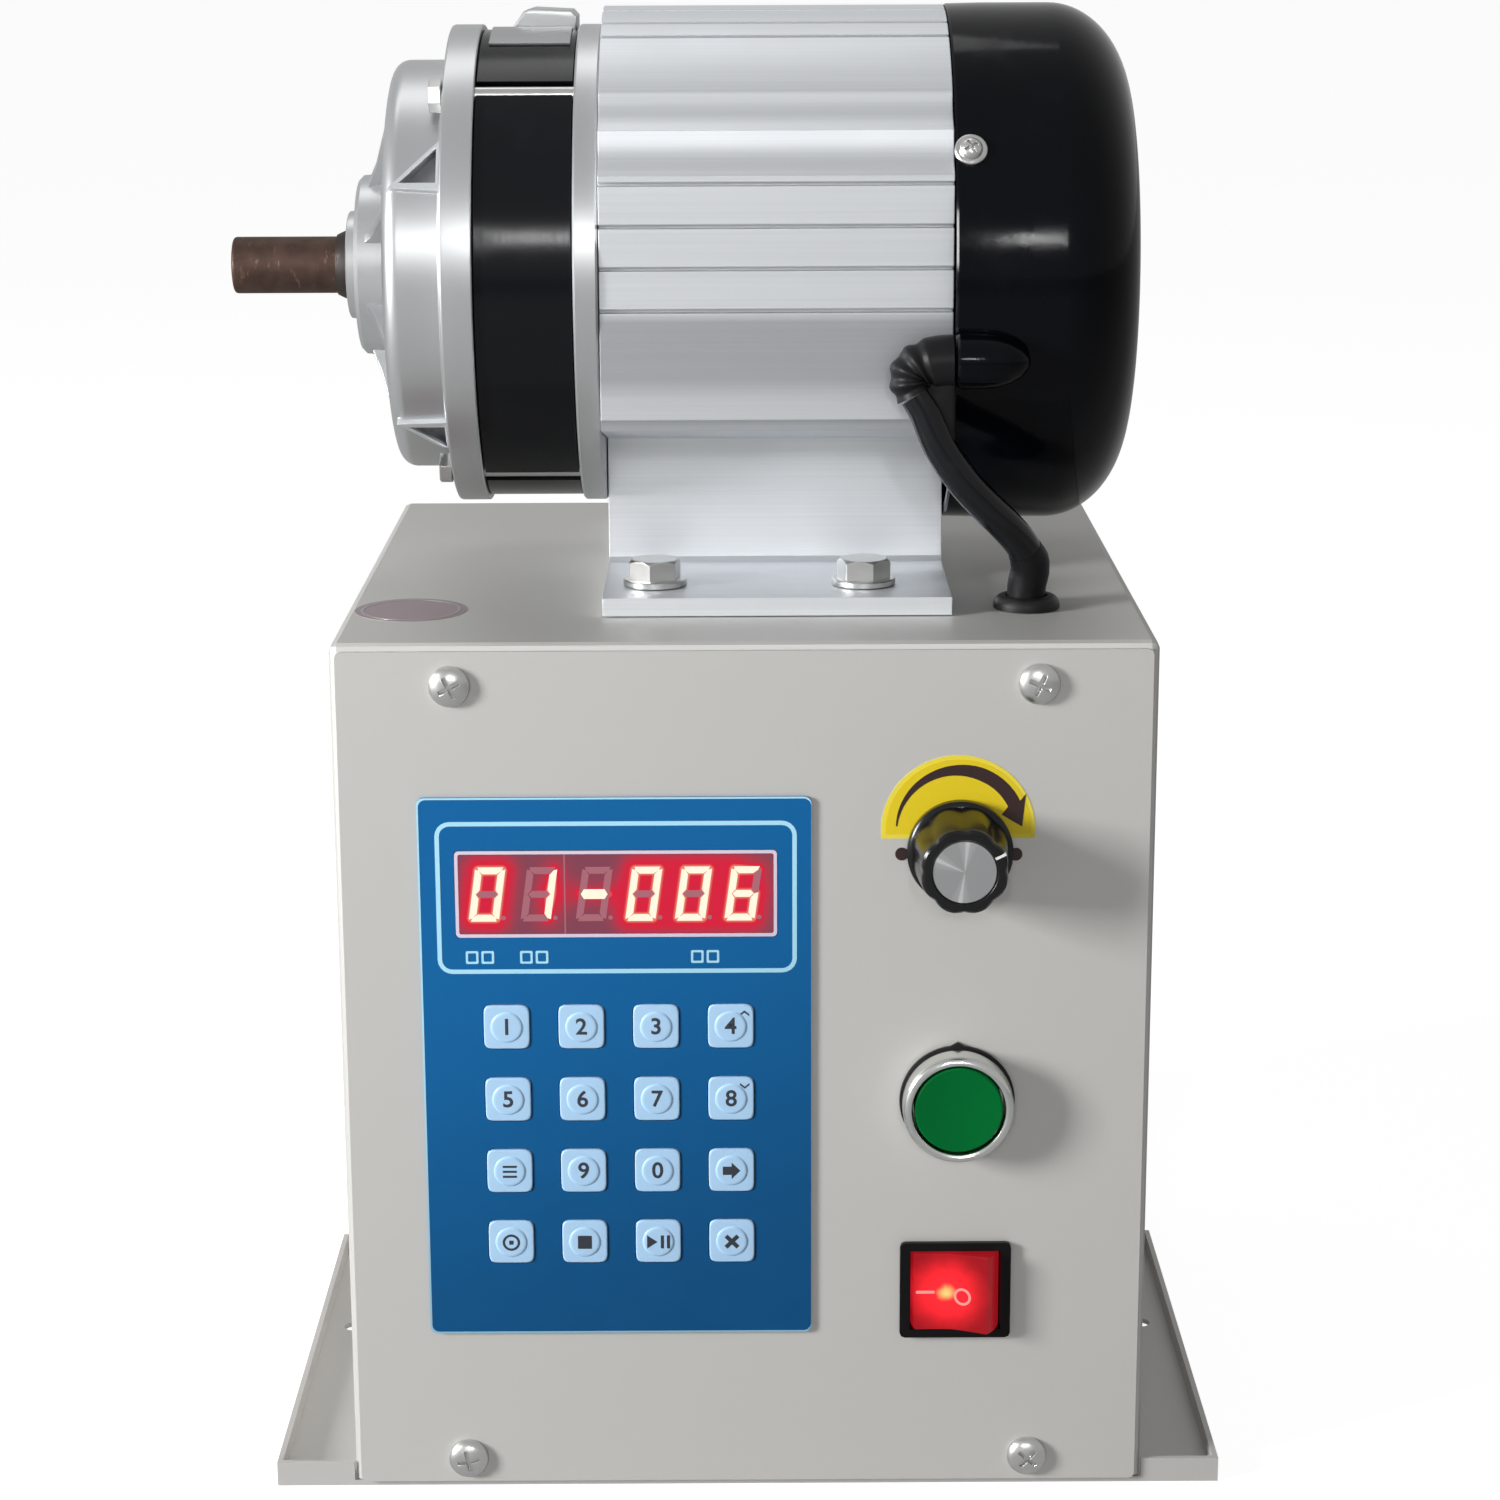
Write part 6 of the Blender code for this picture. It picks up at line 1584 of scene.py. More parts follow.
@dataclass
class Motor:
    """The fluted frame with its foot, the bell behind it and what is inside."""

    bench: Bench
    frame: dict
    radius: float = 0.0725
    bore: float = 0.0465
    flat: float = 0.0660
    ledge: float = 0.0355
    soffit_in: float = 0.0475
    soffit_out: float = 0.0388
    lip: float = 0.0026
    pedestal: float = 0.0200
    foot_thickness: float = 0.0050
    slot_places: tuple[float, ...] = (-0.0060, 0.0053, 0.0166, 0.0279)
    slot_width: float = 0.0011
    slot_depth: float = 0.0026
    flutes: int = 2
    flute_pitch: float = 10.6
    flute_depth: float = 0.0018
    groove_angles: tuple[float, ...] = (64.0, 71.0, 80.5)
    groove_width: float = 0.0016
    groove_depth: float = 0.0012
    bell_round: Point = (0.0270, 0.0226)
    bell_wall: float = 0.0030
    bolt_flats: float = 0.0065
    bolt_head: float = 0.0055
    washer_radius: float = 0.0088
    washer: float = 0.0016

    def build(self) -> None:
        """Makes the frame, the bell and the bolts, and dresses the inner pieces."""
        low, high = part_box("motor_frame")
        bell_low, bell_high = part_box("motor_end_cover")
        self.axis_z = high.z - self.radius
        self.low, self.high = low, high
        nodes = self.frame["nodes"]
        self.bench.repaint(nodes, GEAR_STEEL, "rotor_front_bearing", "rotor_rear_bearing", "output_bearing")
        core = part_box("stator")
        wound = Laminations("wound_core", "core_steel", (0.32, 0.32, 0.34), 0.45, start=core[0].x + 0.014, end=core[1].x - 0.014)
        self.bench.repaint(nodes, wound, "stator")
        self.bench.repaint(nodes, Metal("rotor_steel", "core_steel", (0.36, 0.36, 0.37), 0.36, grain=Grain.TURNED), "rotor")
        self.casting()
        self.bell(bell_low, bell_high)
        for index in range(4):
            self.bolt(index)

    def half_outline(self) -> list[Point]:
        """One side of the frame's section, from its foot up to its crown, about the axis."""
        foot_bottom = self.low.z - self.axis_z
        foot_top = foot_bottom + self.foot_thickness
        reach = self.high.y
        points = [(reach, foot_bottom), (reach, foot_top), (self.pedestal + 0.0015, foot_top)]
        points += [(self.pedestal, foot_top + 0.0015), (self.pedestal, -self.soffit_in)]
        points += [(self.flat - self.lip, -self.soffit_out), (self.flat, -self.ledge)]
        for middle in self.slot_places:
            half = self.slot_width / 2
            points += [
                (self.flat, middle - half),
                (self.flat - self.slot_depth, middle - half),
                (self.flat - self.slot_depth, middle + half),
                (self.flat, middle + half),
            ]
        start = math.degrees(math.acos(self.flat / self.radius))
        steps = 12
        for step in range(self.flutes * steps):
            dip = self.flute_depth * abs(math.sin(math.pi * step / steps))
            points.append(polar(self.radius - dip, math.radians(start + self.flute_pitch * step / steps)))
        angle = start + self.flutes * self.flute_pitch
        half = math.degrees(self.groove_width / self.radius / 2)
        for groove in self.groove_angles:
            points += arc(self.radius, angle, groove - half, 6)
            points += arc(self.radius - self.groove_depth, groove - half * 0.8, groove + half * 0.8, 1)
            angle = groove + half
        return points + arc(self.radius, angle, 90, 6)[:-1]

    def casting(self) -> None:
        """The frame's section drawn out along the axis."""
        half = self.half_outline()
        outline = half + [(0, self.radius)] + [(-x, z) for x, z in reversed(half)]
        start, length = self.low.x, self.high.x - self.low.x
        body = Shape.plate([outline, circle(self.bore, sides=96)], length, start, 0.0002)
        at = (0, 0, self.axis_z)
        self.bench.show("fluted_frame", body.laid(Lie.ALONG, at), DRAWN_PAINTED_SHADE, stands_for=["motor_frame"])

    def bell(self, low: Vector, high: Vector) -> None:
        """The bell with its outlet boss, its screw and the rear bearing's seat.

        Args:
            low: The end cover's lowest corner.
            high: The end cover's highest corner.
        """
        radius, back, start = high.z - self.axis_z, high.x, low.x
        floor, inner = back - 0.0050, radius - self.bell_wall
        across, along = self.bell_round
        edge, shoulder = radius - across, back - along
        corner = [(edge + across * x, shoulder + along * y) for x, y in arc(1.0, 90, 0, 20)]
        hollow = [
            (edge + (inner - edge) * x, shoulder + (floor - shoulder) * y) for x, y in arc(1.0, 0, 90, 14)
        ]
        crease = [(radius, start + 0.0100), (radius - 0.0002, start + 0.0006), (radius - 0.0006, start)]
        profile = [(0, back), *corner, *crease, (inner, start), *hollow]
        profile += [(0.0210, floor), (0.0210, floor - 0.0103), (0.0163, floor - 0.0103), (0.0163, floor), (0, floor)]
        bell = Shape.turned(profile, 112, False).laid(Lie.ALONG, (0, 0, self.axis_z))
        outlet = [(0, 0), (0.0068, 0), (0.0075, 0.0008), (0.0075, 0.0070)]
        outlet += [(0.0075 * math.cos(turn), 0.0070 + 0.0130 * math.sin(turn)) for turn in (0.3, 0.6, 0.9, 1.2, 1.45)]
        outlet = Shape.turned([*outlet, (0, 0.0200)], 40, False)
        outlet = outlet.laid(Lie.ALONG, (start, -self.flat - 0.0073, self.axis_z - 0.0188))
        self.bench.show("motor_bell", bell + outlet, BELL_BLACK, stands_for=["motor_end_cover"])
        self.bell_screw(radius)

    def bell_screw(self, radius: float) -> None:
        """The screw through the bell's rim, seated on it.

        Args:
            radius: The bell's radius.
        """
        rise = 0.0364
        angle = math.asin(rise / radius)
        seat = [(0, -0.0010), (0.0044, -0.0010), (0.0044, 0.0006), (0.0040, 0.0009), (0.0032, 0.0009)]
        dome = [(0.0032 * math.cos(turn), 0.0009 + 0.0020 * math.sin(turn)) for turn in (0.35, 0.7, 1.05, 1.35)]
        head = Shape.turned([*seat, *dome, (0, 0.0030)], 32, False)
        for x, y in ((0.0020, 0.0004), (0.0004, 0.0020)):
            head = head - Shape.block((-x, -y, 0.0017), (x, y, 0.0060))
        out = Vector((0, -math.cos(angle), math.sin(angle)))
        side = Vector((1, 0, 0))
        columns = Matrix((side, out.cross(side), out)).transposed().to_4x4()
        at = Matrix.Translation((0.0612, out.y * radius, self.axis_z + out.z * radius))
        head = head.spun(0.5).moved(at @ columns)
        self.bench.show("bell_rim_screw", head, ZINC)

    def bolt(self, index: int) -> None:
        """One foot bolt: a chamfered hexagon over a washer.

        Args:
            index: Which foot bolt, from 0.
        """
        node = f"foot_bolt_{index + 1}"
        low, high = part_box(node)
        at = ((low.x + high.x) / 2, (low.y + high.y) / 2, high.z - self.bolt_head - self.washer)
        radius = self.bolt_flats / math.cos(math.pi / 6)
        top = self.washer + self.bolt_head
        hexagon = Shape.plate([circle(radius, sides=6)], self.bolt_head, self.washer, 0.00025)
        crown = Shape.turned([(0, self.washer - 0.001), (radius + 0.0004, self.washer - 0.001), (radius + 0.0004, top - 0.0012), (self.bolt_flats * 0.97, top + 0.00001), (0, top + 0.00001)], 48, False)
        pair = [bpy.data.objects.new("bolt", shape.mesh("bolt")) for shape in (hexagon, crown)]
        for piece in pair:
            bpy.context.scene.collection.objects.link(piece)
        modifier = pair[0].modifiers.new("chamfer", "BOOLEAN")
        modifier.operation = "INTERSECT"
        modifier.object = pair[1]
        head = Shape.from_object(pair[0])
        bpy.data.objects.remove(pair[1])
        washer = Shape.turned([(0, 0), (self.washer_radius, 0), (self.washer_radius, self.washer - 0.0003), (self.washer_radius - 0.0003, self.washer), (0, self.washer)], 48, False)
        shank = Shape.turned([(0, 0), (0.0040, 0), (0.0040, low.z - at[2]), (0, low.z - at[2])], 24, False)
        bmesh.ops.recalc_face_normals(shank.body, faces=shank.body.faces)
        bolt = (head.spun(0.35 + 0.5 * index) + washer + shank).laid(Lie.UPRIGHT, at)
        self.bench.show(f"hex_bolt_{index + 1}", bolt, ZINC, stands_for=[node])


@dataclass
class Gearbox:
    """The stepped cover, the black drum, the flange behind it and the output shaft."""

    bench: Bench
    frame: dict
    axis_z: float
    tie_circle: float = 0.0632
    tie_angles: tuple[float, ...] = (52.0, 128.0, 238.0, 302.0)
    tie_radius: float = 0.0025
    tie_head: float = 0.0035
    tie_head_radius: float = 0.0045
    drum_radius: float = 0.0577
    drum_length: float = 0.0167
    drum_round: float = 0.0045
    nose_radius: float = 0.0260
    nose_length: float = 0.0109
    hub_radius: float = 0.0155
    hub_length: float = 0.0034
    flange_thickness: float = 0.0088
    rib_count: int = 8
    rib_reach: float = 0.0220
    rib_thickness: float = 0.0028
    plate_angles: Point = (91.0, 109.0)
    boss_length: float = 0.0200
    pocket_angles: tuple[float, ...] = (147.0, 229.0, 33.0, -49.0)
    pocket_length: float = 0.0115
    pocket_height: float = 0.0105
    pocket_depth: float = 0.0034
    pocket_rim: float = 0.0036
    pocket_lip: float = 0.0010

    def build(self) -> None:
        """Makes each piece from the front of the gearbox to its back."""
        nodes = self.frame["nodes"]
        self.at = (0, 0, self.axis_z)
        self.bench.repaint(nodes, GEAR_STEEL, "planet_1", "planet_2", "planet_3")
        self.cover()
        self.drum()
        self.flange()
        self.shaft()
        for index in range(4):
            self.tie_bolt(index)
        self.name_plate()

    def tie_holes(self, start: float, end: float) -> Shape:
        """The four holes for the tie bolts, as one cutter.

        Args:
            start: The cutter's first station.
            end: Its last station.

        Returns:
            The cutter, laid on the machine.
        """
        cutter = None
        for degrees in self.tie_angles:
            y, z = polar(self.tie_circle, math.radians(degrees))
            radius = self.tie_radius + 0.0003
            rod = Shape.turned([(0, start), (radius, start), (radius, end), (0, end)], 24, False)
            rod = rod.laid(Lie.ALONG, (0, y, self.axis_z + z))
            cutter = rod if cutter is None else cutter + rod
        return cutter

    def cover(self) -> None:
        """The casting that carries the output bearing and the seal."""
        low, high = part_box("gearbox_cover")
        flange, back, hub = high.z - self.axis_z, high.x, low.x
        front = back - self.flange_thickness
        face = front - self.drum_length
        nose = face - self.nose_length
        self.front, self.face, self.nose = front, face, nose
        drum, turn = self.drum_radius, self.drum_round
        corner = [(drum - turn + x, face + turn - y) for x, y in arc(turn, 0, 90, 10)]
        n, h = self.nose_radius, self.hub_radius
        profile = [
            (flange - 0.0003, back),
            (flange, back - 0.0003),
            (flange, front + 0.0008),
            (flange - 0.0003, front + 0.0002),
            (flange - 0.0008, front),
            (drum + 0.0012, front),
            (drum, front - 0.0012),
            *corner,
            (n + 0.0014, face),
            (n, face - 0.0014),
            (n - 0.0006, nose + 0.0012),
            (n - 0.0018, nose),
            (h + 0.0008, nose),
            (h, nose - 0.0008),
            (h - 0.0003, hub + 0.0003),
            (h - 0.0007, hub),
            (0.0123, hub),
            (0.0123, hub + 0.0050),
            (0.0095, hub + 0.0050),
            (0.0095, hub + 0.0067),
            (0.0178, hub + 0.0067),
            (0.0178, face + 0.0050),
            (drum - 0.0050, face + 0.0050),
            (drum - 0.0050, back),
        ]
        body = Shape.turned(profile, 112).laid(Lie.ALONG, self.at)
        body = body - self.tie_holes(front - 0.003, back + 0.003)
        for degrees in self.pocket_angles:
            body = body - self.pocket(degrees)
        for index in range(self.rib_count):
            body = body + self.rib(2 * math.pi * (index + 0.5) / self.rib_count)
        self.bench.show("stepped_cover", body, CAST, stands_for=["gearbox_cover"])
        rims = shade_floors = None
        for degrees in self.pocket_angles:
            rim = self.pocket_rim_shape(degrees)
            rims = rim if rims is None else rims + rim
            # Each pocket gets a dark floor sheet of painted shade.
            bed = Shape.plate([self.triangle(degrees, -0.0001)], 0.0012, self.drum_radius - self.pocket_depth)
            bed = bed.moved(self.facing_out(degrees))
            shade_floors = bed if shade_floors is None else shade_floors + bed
        self.bench.show("pocket_rims", rims, WORN_CAST)
        self.bench.show("pocket_shade_floors", shade_floors, POCKET_SHADE)

    def around(self, angle: float, plate_x: Place, plate_y: Vector, plate_z: Vector) -> Matrix:
        """The place of a plate about the motor's axis, from its own axes' directions."""
        columns = Matrix((Vector(plate_x), plate_y, plate_z)).transposed().to_4x4()
        return Matrix.Translation(self.at) @ columns

    def rib(self, angle: float) -> Shape:
        """A web from the nose down to the drum's face.

        Args:
            angle: Its direction about the axis.

        Returns:
            The web, laid on the machine.
        """
        out = Vector((0, math.cos(angle), math.sin(angle)))
        side = Vector((0, -math.sin(angle), math.cos(angle)))
        root, tip = self.nose_radius - 0.0035, self.nose_radius + self.rib_reach
        outline = [
            (root, -self.nose - self.hub_length),
            (self.nose_radius, -self.nose - self.hub_length),
            (self.nose_radius + 0.0060, -self.face + self.nose_length * 0.45),
            (tip, -self.face + 0.0004),
            (tip, -self.face - 0.0030),
            (root, -self.face - 0.0030),
        ]
        web = Shape.plate([outline], self.rib_thickness, -self.rib_thickness / 2, 0.0004)
        return web.moved(self.around(angle, out, Vector((-1, 0, 0)), side))

    def triangle(self, degrees: float, grow: float) -> list[Point]:
        """A pocket's three corners, drawn out from its middle.

        Args:
            degrees: The pocket's direction about the axis; one below the axis is upside down.
            grow: How far the corners move out.

        Returns:
            The outline, along the axis and across it.
        """
        half = self.pocket_height / 2 * math.copysign(1, math.sin(math.radians(degrees)))
        root = self.front - 0.0016
        corners = [(root, -half), (root, half), (self.front - self.pocket_length, -half)]
        middle = [sum(point[axis] for point in corners) / 3 for axis in (0, 1)]
        made = []
        for x, y in corners:
            reach = math.hypot(x - middle[0], y - middle[1])
            made.append((x + (x - middle[0]) * grow / reach, y + (y - middle[1]) * grow / reach))
        return made

    def pocket(self, degrees: float) -> Shape:
        """The cutter for one three-cornered relief.

        Args:
            degrees: Its direction about the axis.

        Returns:
            The cutter, laid on the machine.
        """
        outline = self.triangle(degrees, 0.0)
        prism = Shape.plate([outline], self.pocket_depth + 0.003, self.drum_radius - self.pocket_depth)
        return prism.moved(self.facing_out(degrees))

    def pocket_rim_shape(self, degrees: float) -> Shape:
        """The raised lip about one relief.

        Args:
            degrees: Its direction about the axis.

        Returns:
            The lip, laid on the machine.
        """
        half = self.pocket_height / 2
        sunk = self.drum_radius - math.sqrt(self.drum_radius**2 - half**2) + 0.0012
        outlines = [self.triangle(degrees, self.pocket_rim), self.triangle(degrees, 0.0)]
        lip = Shape.plate(outlines, sunk + self.pocket_lip, self.drum_radius - sunk, 0.0002)
        return lip.moved(self.facing_out(degrees))

    def facing_out(self, degrees: float) -> Matrix:
        """The place of a plate that faces out from the drum at an angle."""
        angle = math.radians(degrees)
        out = Vector((0, math.cos(angle), math.sin(angle)))
        side = Vector((0, math.sin(angle), -math.cos(angle)))
        return self.around(angle, (1, 0, 0), side, out)

    def drum(self) -> None:
        """The black drum, with an open groove for each tie bolt."""
        low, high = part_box("ring_gear")
        radius = high.z - self.axis_z
        groove = self.tie_radius + 0.0003
        half = math.degrees(math.asin(groove / radius))
        outline: list[Point] = []
        for index, degrees in enumerate(self.tie_angles):
            following = self.tie_angles[(index + 1) % 4] + (360 if index == 3 else 0)
            bed = [(radius * math.cos(math.radians(half)), -groove)]
            bed += [(self.tie_circle - y, -x) for x, y in arc(groove, 0, 180, 8)]
            bed.append((radius * math.cos(math.radians(half)), groove))
            turn = math.radians(degrees)
            for x, y in bed:
                outline.append((x * math.cos(turn) - y * math.sin(turn), x * math.sin(turn) + y * math.cos(turn)))
            outline += arc(radius, degrees + half, following - half, 30)[1:-1]
        length = high.x - low.x
        sleeve = Shape.plate([outline, circle(0.0540, sides=96)], length, low.x, 0.0003)
        self.bench.repaint(self.frame["nodes"], GEAR_STEEL, "ring_gear")
        shell = sleeve.laid(Lie.ALONG, self.at)
        self.bench.show("black_drum", shell, DRUM_BLACK, stands_for=["ring_gear"])
        teeth = []
        for step in range(40 * 4):
            share = step % 4
            teeth.append(polar(0.0479 if share in (0, 1) else 0.0526, 2 * math.pi * (step + 0.5) / 160 + math.pi / 2))
        ring = Shape.plate([circle(0.0541, sides=96), teeth], length - 0.001, low.x + 0.0005)
        self.bench.show("ring_teeth", ring.laid(Lie.ALONG, self.at), GEAR_STEEL)

    def flange(self) -> None:
        """The plate between the gearbox and the motor."""
        low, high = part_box("rear_flange")
        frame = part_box("motor_frame")[0].x
        radius, start, hub = high.z - self.axis_z, low.x, high.x
        end = frame - 0.0003
        profile = [
            (0.0200, hub), (0.0200, end), (radius - 0.0006, end), (radius, end - 0.0006),
            (radius, start + 0.0006), (radius - 0.0006, start), (0.0085, start), (0.0085, start + 0.0020),
            (0.0163, start + 0.0020), (0.0163, hub),
        ]
        body = Shape.turned(profile, 112).laid(Lie.ALONG, self.at) - self.tie_holes(start - 0.003, end + 0.003)
        self.bench.show("motor_flange", body, CAST, stands_for=["rear_flange"])

    def shaft(self) -> None:
        """The output shaft over the carrier's own, and the collar about it."""
        self.bench.repaint(self.frame["nodes"], SHAFT, "planet_carrier")
        low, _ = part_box("planet_carrier")
        end, skin = low.x, 0.0080 + 0.00006
        stop = end + 0.0330
        bevel = arc(0.0010, 90, 0, 4)
        profile = [(0, end - 0.00004), *[(skin - 0.0010 + y, end + 0.0010 - x) for x, y in ((b, a) for a, b in bevel)], (skin, stop), (0, stop)]
        self.bench.show("oiled_spindle", Shape.turned(profile, 64, False).laid(Lie.ALONG, self.at), SHAFT, "spindle")
        low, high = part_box("shaft_seal")
        ring = [(0.0082, low.x), (0.0086, low.x), (0.0092, low.x + 0.0012), (0.0099, low.x + 0.0028)]
        ring += [(0.0100, low.x + 0.0036), (0.0100, high.x), (0.0082, high.x)]
        collar = Shape.turned(ring, 48).laid(Lie.ALONG, self.at)
        self.bench.show("oily_collar", collar, OILY_BLACK, stands_for=["shaft_seal"])

    def tie_bolt(self, index: int) -> None:
        """A long bright bolt with its hexagon head.

        Args:
            index: Which tie bolt, from 0.
        """
        node = f"tie_bolt_{index + 1}"
        low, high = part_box(node)
        y, z = polar(self.tie_circle, math.radians(self.tie_angles[index]))
        rod = Shape.turned([(0, low.x + 0.001), (self.tie_radius, low.x + 0.001), (self.tie_radius, high.x), (0, high.x)], 24, False)
        head = Shape.plate([circle(self.tie_head_radius, sides=6)], self.tie_head, low.x, 0.0003)
        bolt = (rod + head.spun(0.4 * index)).laid(Lie.ALONG, (0, y, self.axis_z + z))
        self.bench.show(f"bright_tie_bolt_{index + 1}", bolt, ZINC, stands_for=[node])

    def name_plate(self) -> None:
        """The bare plate over the drum, and the small boss behind its upper edge."""
        low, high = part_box("ring_gear")
        radius = high.z - self.axis_z
        first, last = self.plate_angles
        outline = arc(radius + 0.0009, first, last, 16) + arc(radius + 0.0001, last, first, 16)
        plate = Shape.plate([outline], high.x - low.x - 0.0040, low.x + 0.0025, 0.0001)
        self.bench.show("bare_plate", plate.laid(Lie.ALONG, self.at), PLATE_FOIL)
        crown = self.axis_z + radius
        start, end = low.x + 0.0060, high.x - 0.0006
        outline = [(start, crown - 0.0020), (start + 0.0035, crown + 0.0030), (start + 0.0050, crown + 0.0050)]
        outline += [(start + 0.0075, crown + 0.0058), (end - 0.0015, crown + 0.0052), (end, crown + 0.0036)]
        outline += [(end, crown - 0.0020)]
        boss = Shape.plate([outline], self.boss_length, -self.boss_length, 0.0007)
        self.bench.show("crown_boss", boss.laid(Lie.FRONT, (0, 0, 0)), CAST)


@dataclass
class MotorLead:
    """The motor's cable with its boot and its grommet."""

    bench: Bench
    axis_z: float
    radius: float = 0.0047
    step: float = 0.0018
    boot_root: float = 0.0072
    boot_tip: float = 0.0056
    ribs: int = 4
    ribs_start: float = 0.26
    rib_height: float = 0.0008
    web: tuple[Point, ...] = (
        (0.0490, 0.3060), (0.0490, 0.3010), (0.0525, 0.2905), (0.0571, 0.2850), (0.0571, 0.3080)
    )
    web_thickness: float = 0.0080
    sleeve: float = 0.0054
    sleeve_top: float = 0.2590
    route: tuple[Place, ...] = (
        (0.0466, -0.0740, 0.3023),
        (0.0491, -0.0745, 0.2980),
        (0.0530, -0.0750, 0.2886),
        (0.0592, -0.0745, 0.2793),
        (0.0649, -0.0730, 0.2728),
        (0.0710, -0.0705, 0.2665),
        (0.0760, -0.0672, 0.2603),
        (0.0788, -0.0640, 0.2540),
        (0.0780, -0.0622, 0.2475),
        (0.0780, -0.0622, 0.2400),
        (0.0780, -0.0622, 0.2280),
    )

    def build(self) -> None:
        """Makes the cable, the boot and the grommet."""
        points = self.smooth(self.route)
        cable = Shape.tube(points, [self.radius] * len(points))
        piece = self.bench.show("motor_lead", cable, LEAD_RUBBER, stands_for=["motor_cable"])
        2 * self.radius
        self.boot()
        self.grommet()
        covered = [point for point in points if point[2] < self.sleeve_top]
        skin = [self.radius + 0.0001, self.radius + 0.0004, *[self.sleeve] * (len(covered) - 2)]
        self.bench.show("lead_sleeve", Shape.tube(covered, skin), SLEEVE_RUBBER)

    def smooth(self, points: Sequence[Place]) -> list[Place]:
        """Points along a smooth curve through the route's own.

        Args:
            points: The route.

        Returns:
            The finer points.
        """
        ends = [points[0], *points, points[-1]]
        made = []
        for before, start, end, after in zip(ends, ends[1:], ends[2:], ends[3:]):
            count = max(1, round(math.dist(start, end) / self.step))
            for index in range(count):
                t = index / count
                made.append(tuple(
                    (2 * b + (c - a) * t + (2 * a - 5 * b + 4 * c - d) * t**2 + (3 * b - a - 3 * c + d) * t**3) / 2
                    for a, b, c, d in zip(before, start, end, after)
                ))
        return made + [points[-1]]

    def boot(self) -> None:
        """The ribbed elbow from the bell's rim down to the cable."""
        low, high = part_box("cable_boot")
        start = (high.x, -0.07330, self.axis_z - 0.0188)
        end, following = self.route[:2]
        rise = (start[2] - end[2]) / (end[2] - following[2])
        corner = [a + (a - b) * rise for a, b in zip(end, following)]
        count = 56
        points, radii = [], []
        for index in range(count + 1):
            t = index / count
            points.append([
                a * (1 - t) ** 2 + 2 * b * t * (1 - t) + c * t**2 for a, b, c in zip(start, corner, end)
            ])
            share = max(0.0, (t - self.ribs_start) / (1 - self.ribs_start))
            groove = math.sin(math.pi * self.ribs * share) ** 2
            radii.append(self.boot_root + (self.boot_tip - self.boot_root) * t**2 - self.rib_height * groove)
        radii[-1] = self.radius + 0.0002
        rings = [self.elbow_ring(*map(Vector, points[i - 1 : i + 2]), radii[i]) for i in range(1, count)]
        web = Shape.plate([self.web], self.web_thickness, 0, 0.0012)
        web = web.laid(Lie.FRONT, (0, start[1] + self.web_thickness / 2, 0))
        boot = Shape.lofted(rings) + web
        self.bench.show("ribbed_boot", boot, SLEEVE_RUBBER, stands_for=["cable_boot"])

    def elbow_ring(self, before: Vector, here: Vector, after: Vector, radius: float) -> list[Vector]:
        """A ring about the elbow's centre line, flattened where the bend is too tight for it.

        Args:
            before: The centre line's point before this one.
            here: The ring's own point.
            after: The point after it.
            radius: The ring's radius.

        Returns:
            The ring's points.
        """
        along = (after - before).normalized()
        turn = (after - here).normalized() - (here - before).normalized()
        inward = (turn - along * turn.dot(along)).normalized()
        limit = 0.85 * (after - before).length / 2 / turn.length
        side = along.cross(inward)
        ring = [polar(radius, 2 * math.pi * step / 32) for step in range(32)]
        return [here + inward * min(x, limit) + side * y for x, y in ring]

    def grommet(self) -> None:
        """The rubber ring in the roof, with a soft lip."""
        low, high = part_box("cable_grommet")
        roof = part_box("cabinet_shell")[1].z
        radius, crown = (high.x - low.x) / 2, high.z - roof
        profile = [(0.0055, roof - 0.0036), (0.0055, roof + crown * 0.75), (0.0059, roof + crown)]
        profile += [(radius - crown * 0.6 + x * 0.6, roof + crown * 0.25 + y * 0.75) for x, y in arc(crown, 90, 0, 8)]
        profile += [(radius, roof + 0.0003), (0.0070, roof + 0.0003), (0.0070, roof - 0.0015), (radius, roof - 0.0015), (radius, roof - 0.0036)]
        at = ((low.x + high.x) / 2, (low.y + high.y) / 2, 0)
        ring = Shape.turned(profile, 48).laid(Lie.UPRIGHT, at)
        self.bench.show("roof_grommet", ring, SOFT_RUBBER, stands_for=["cable_grommet"])


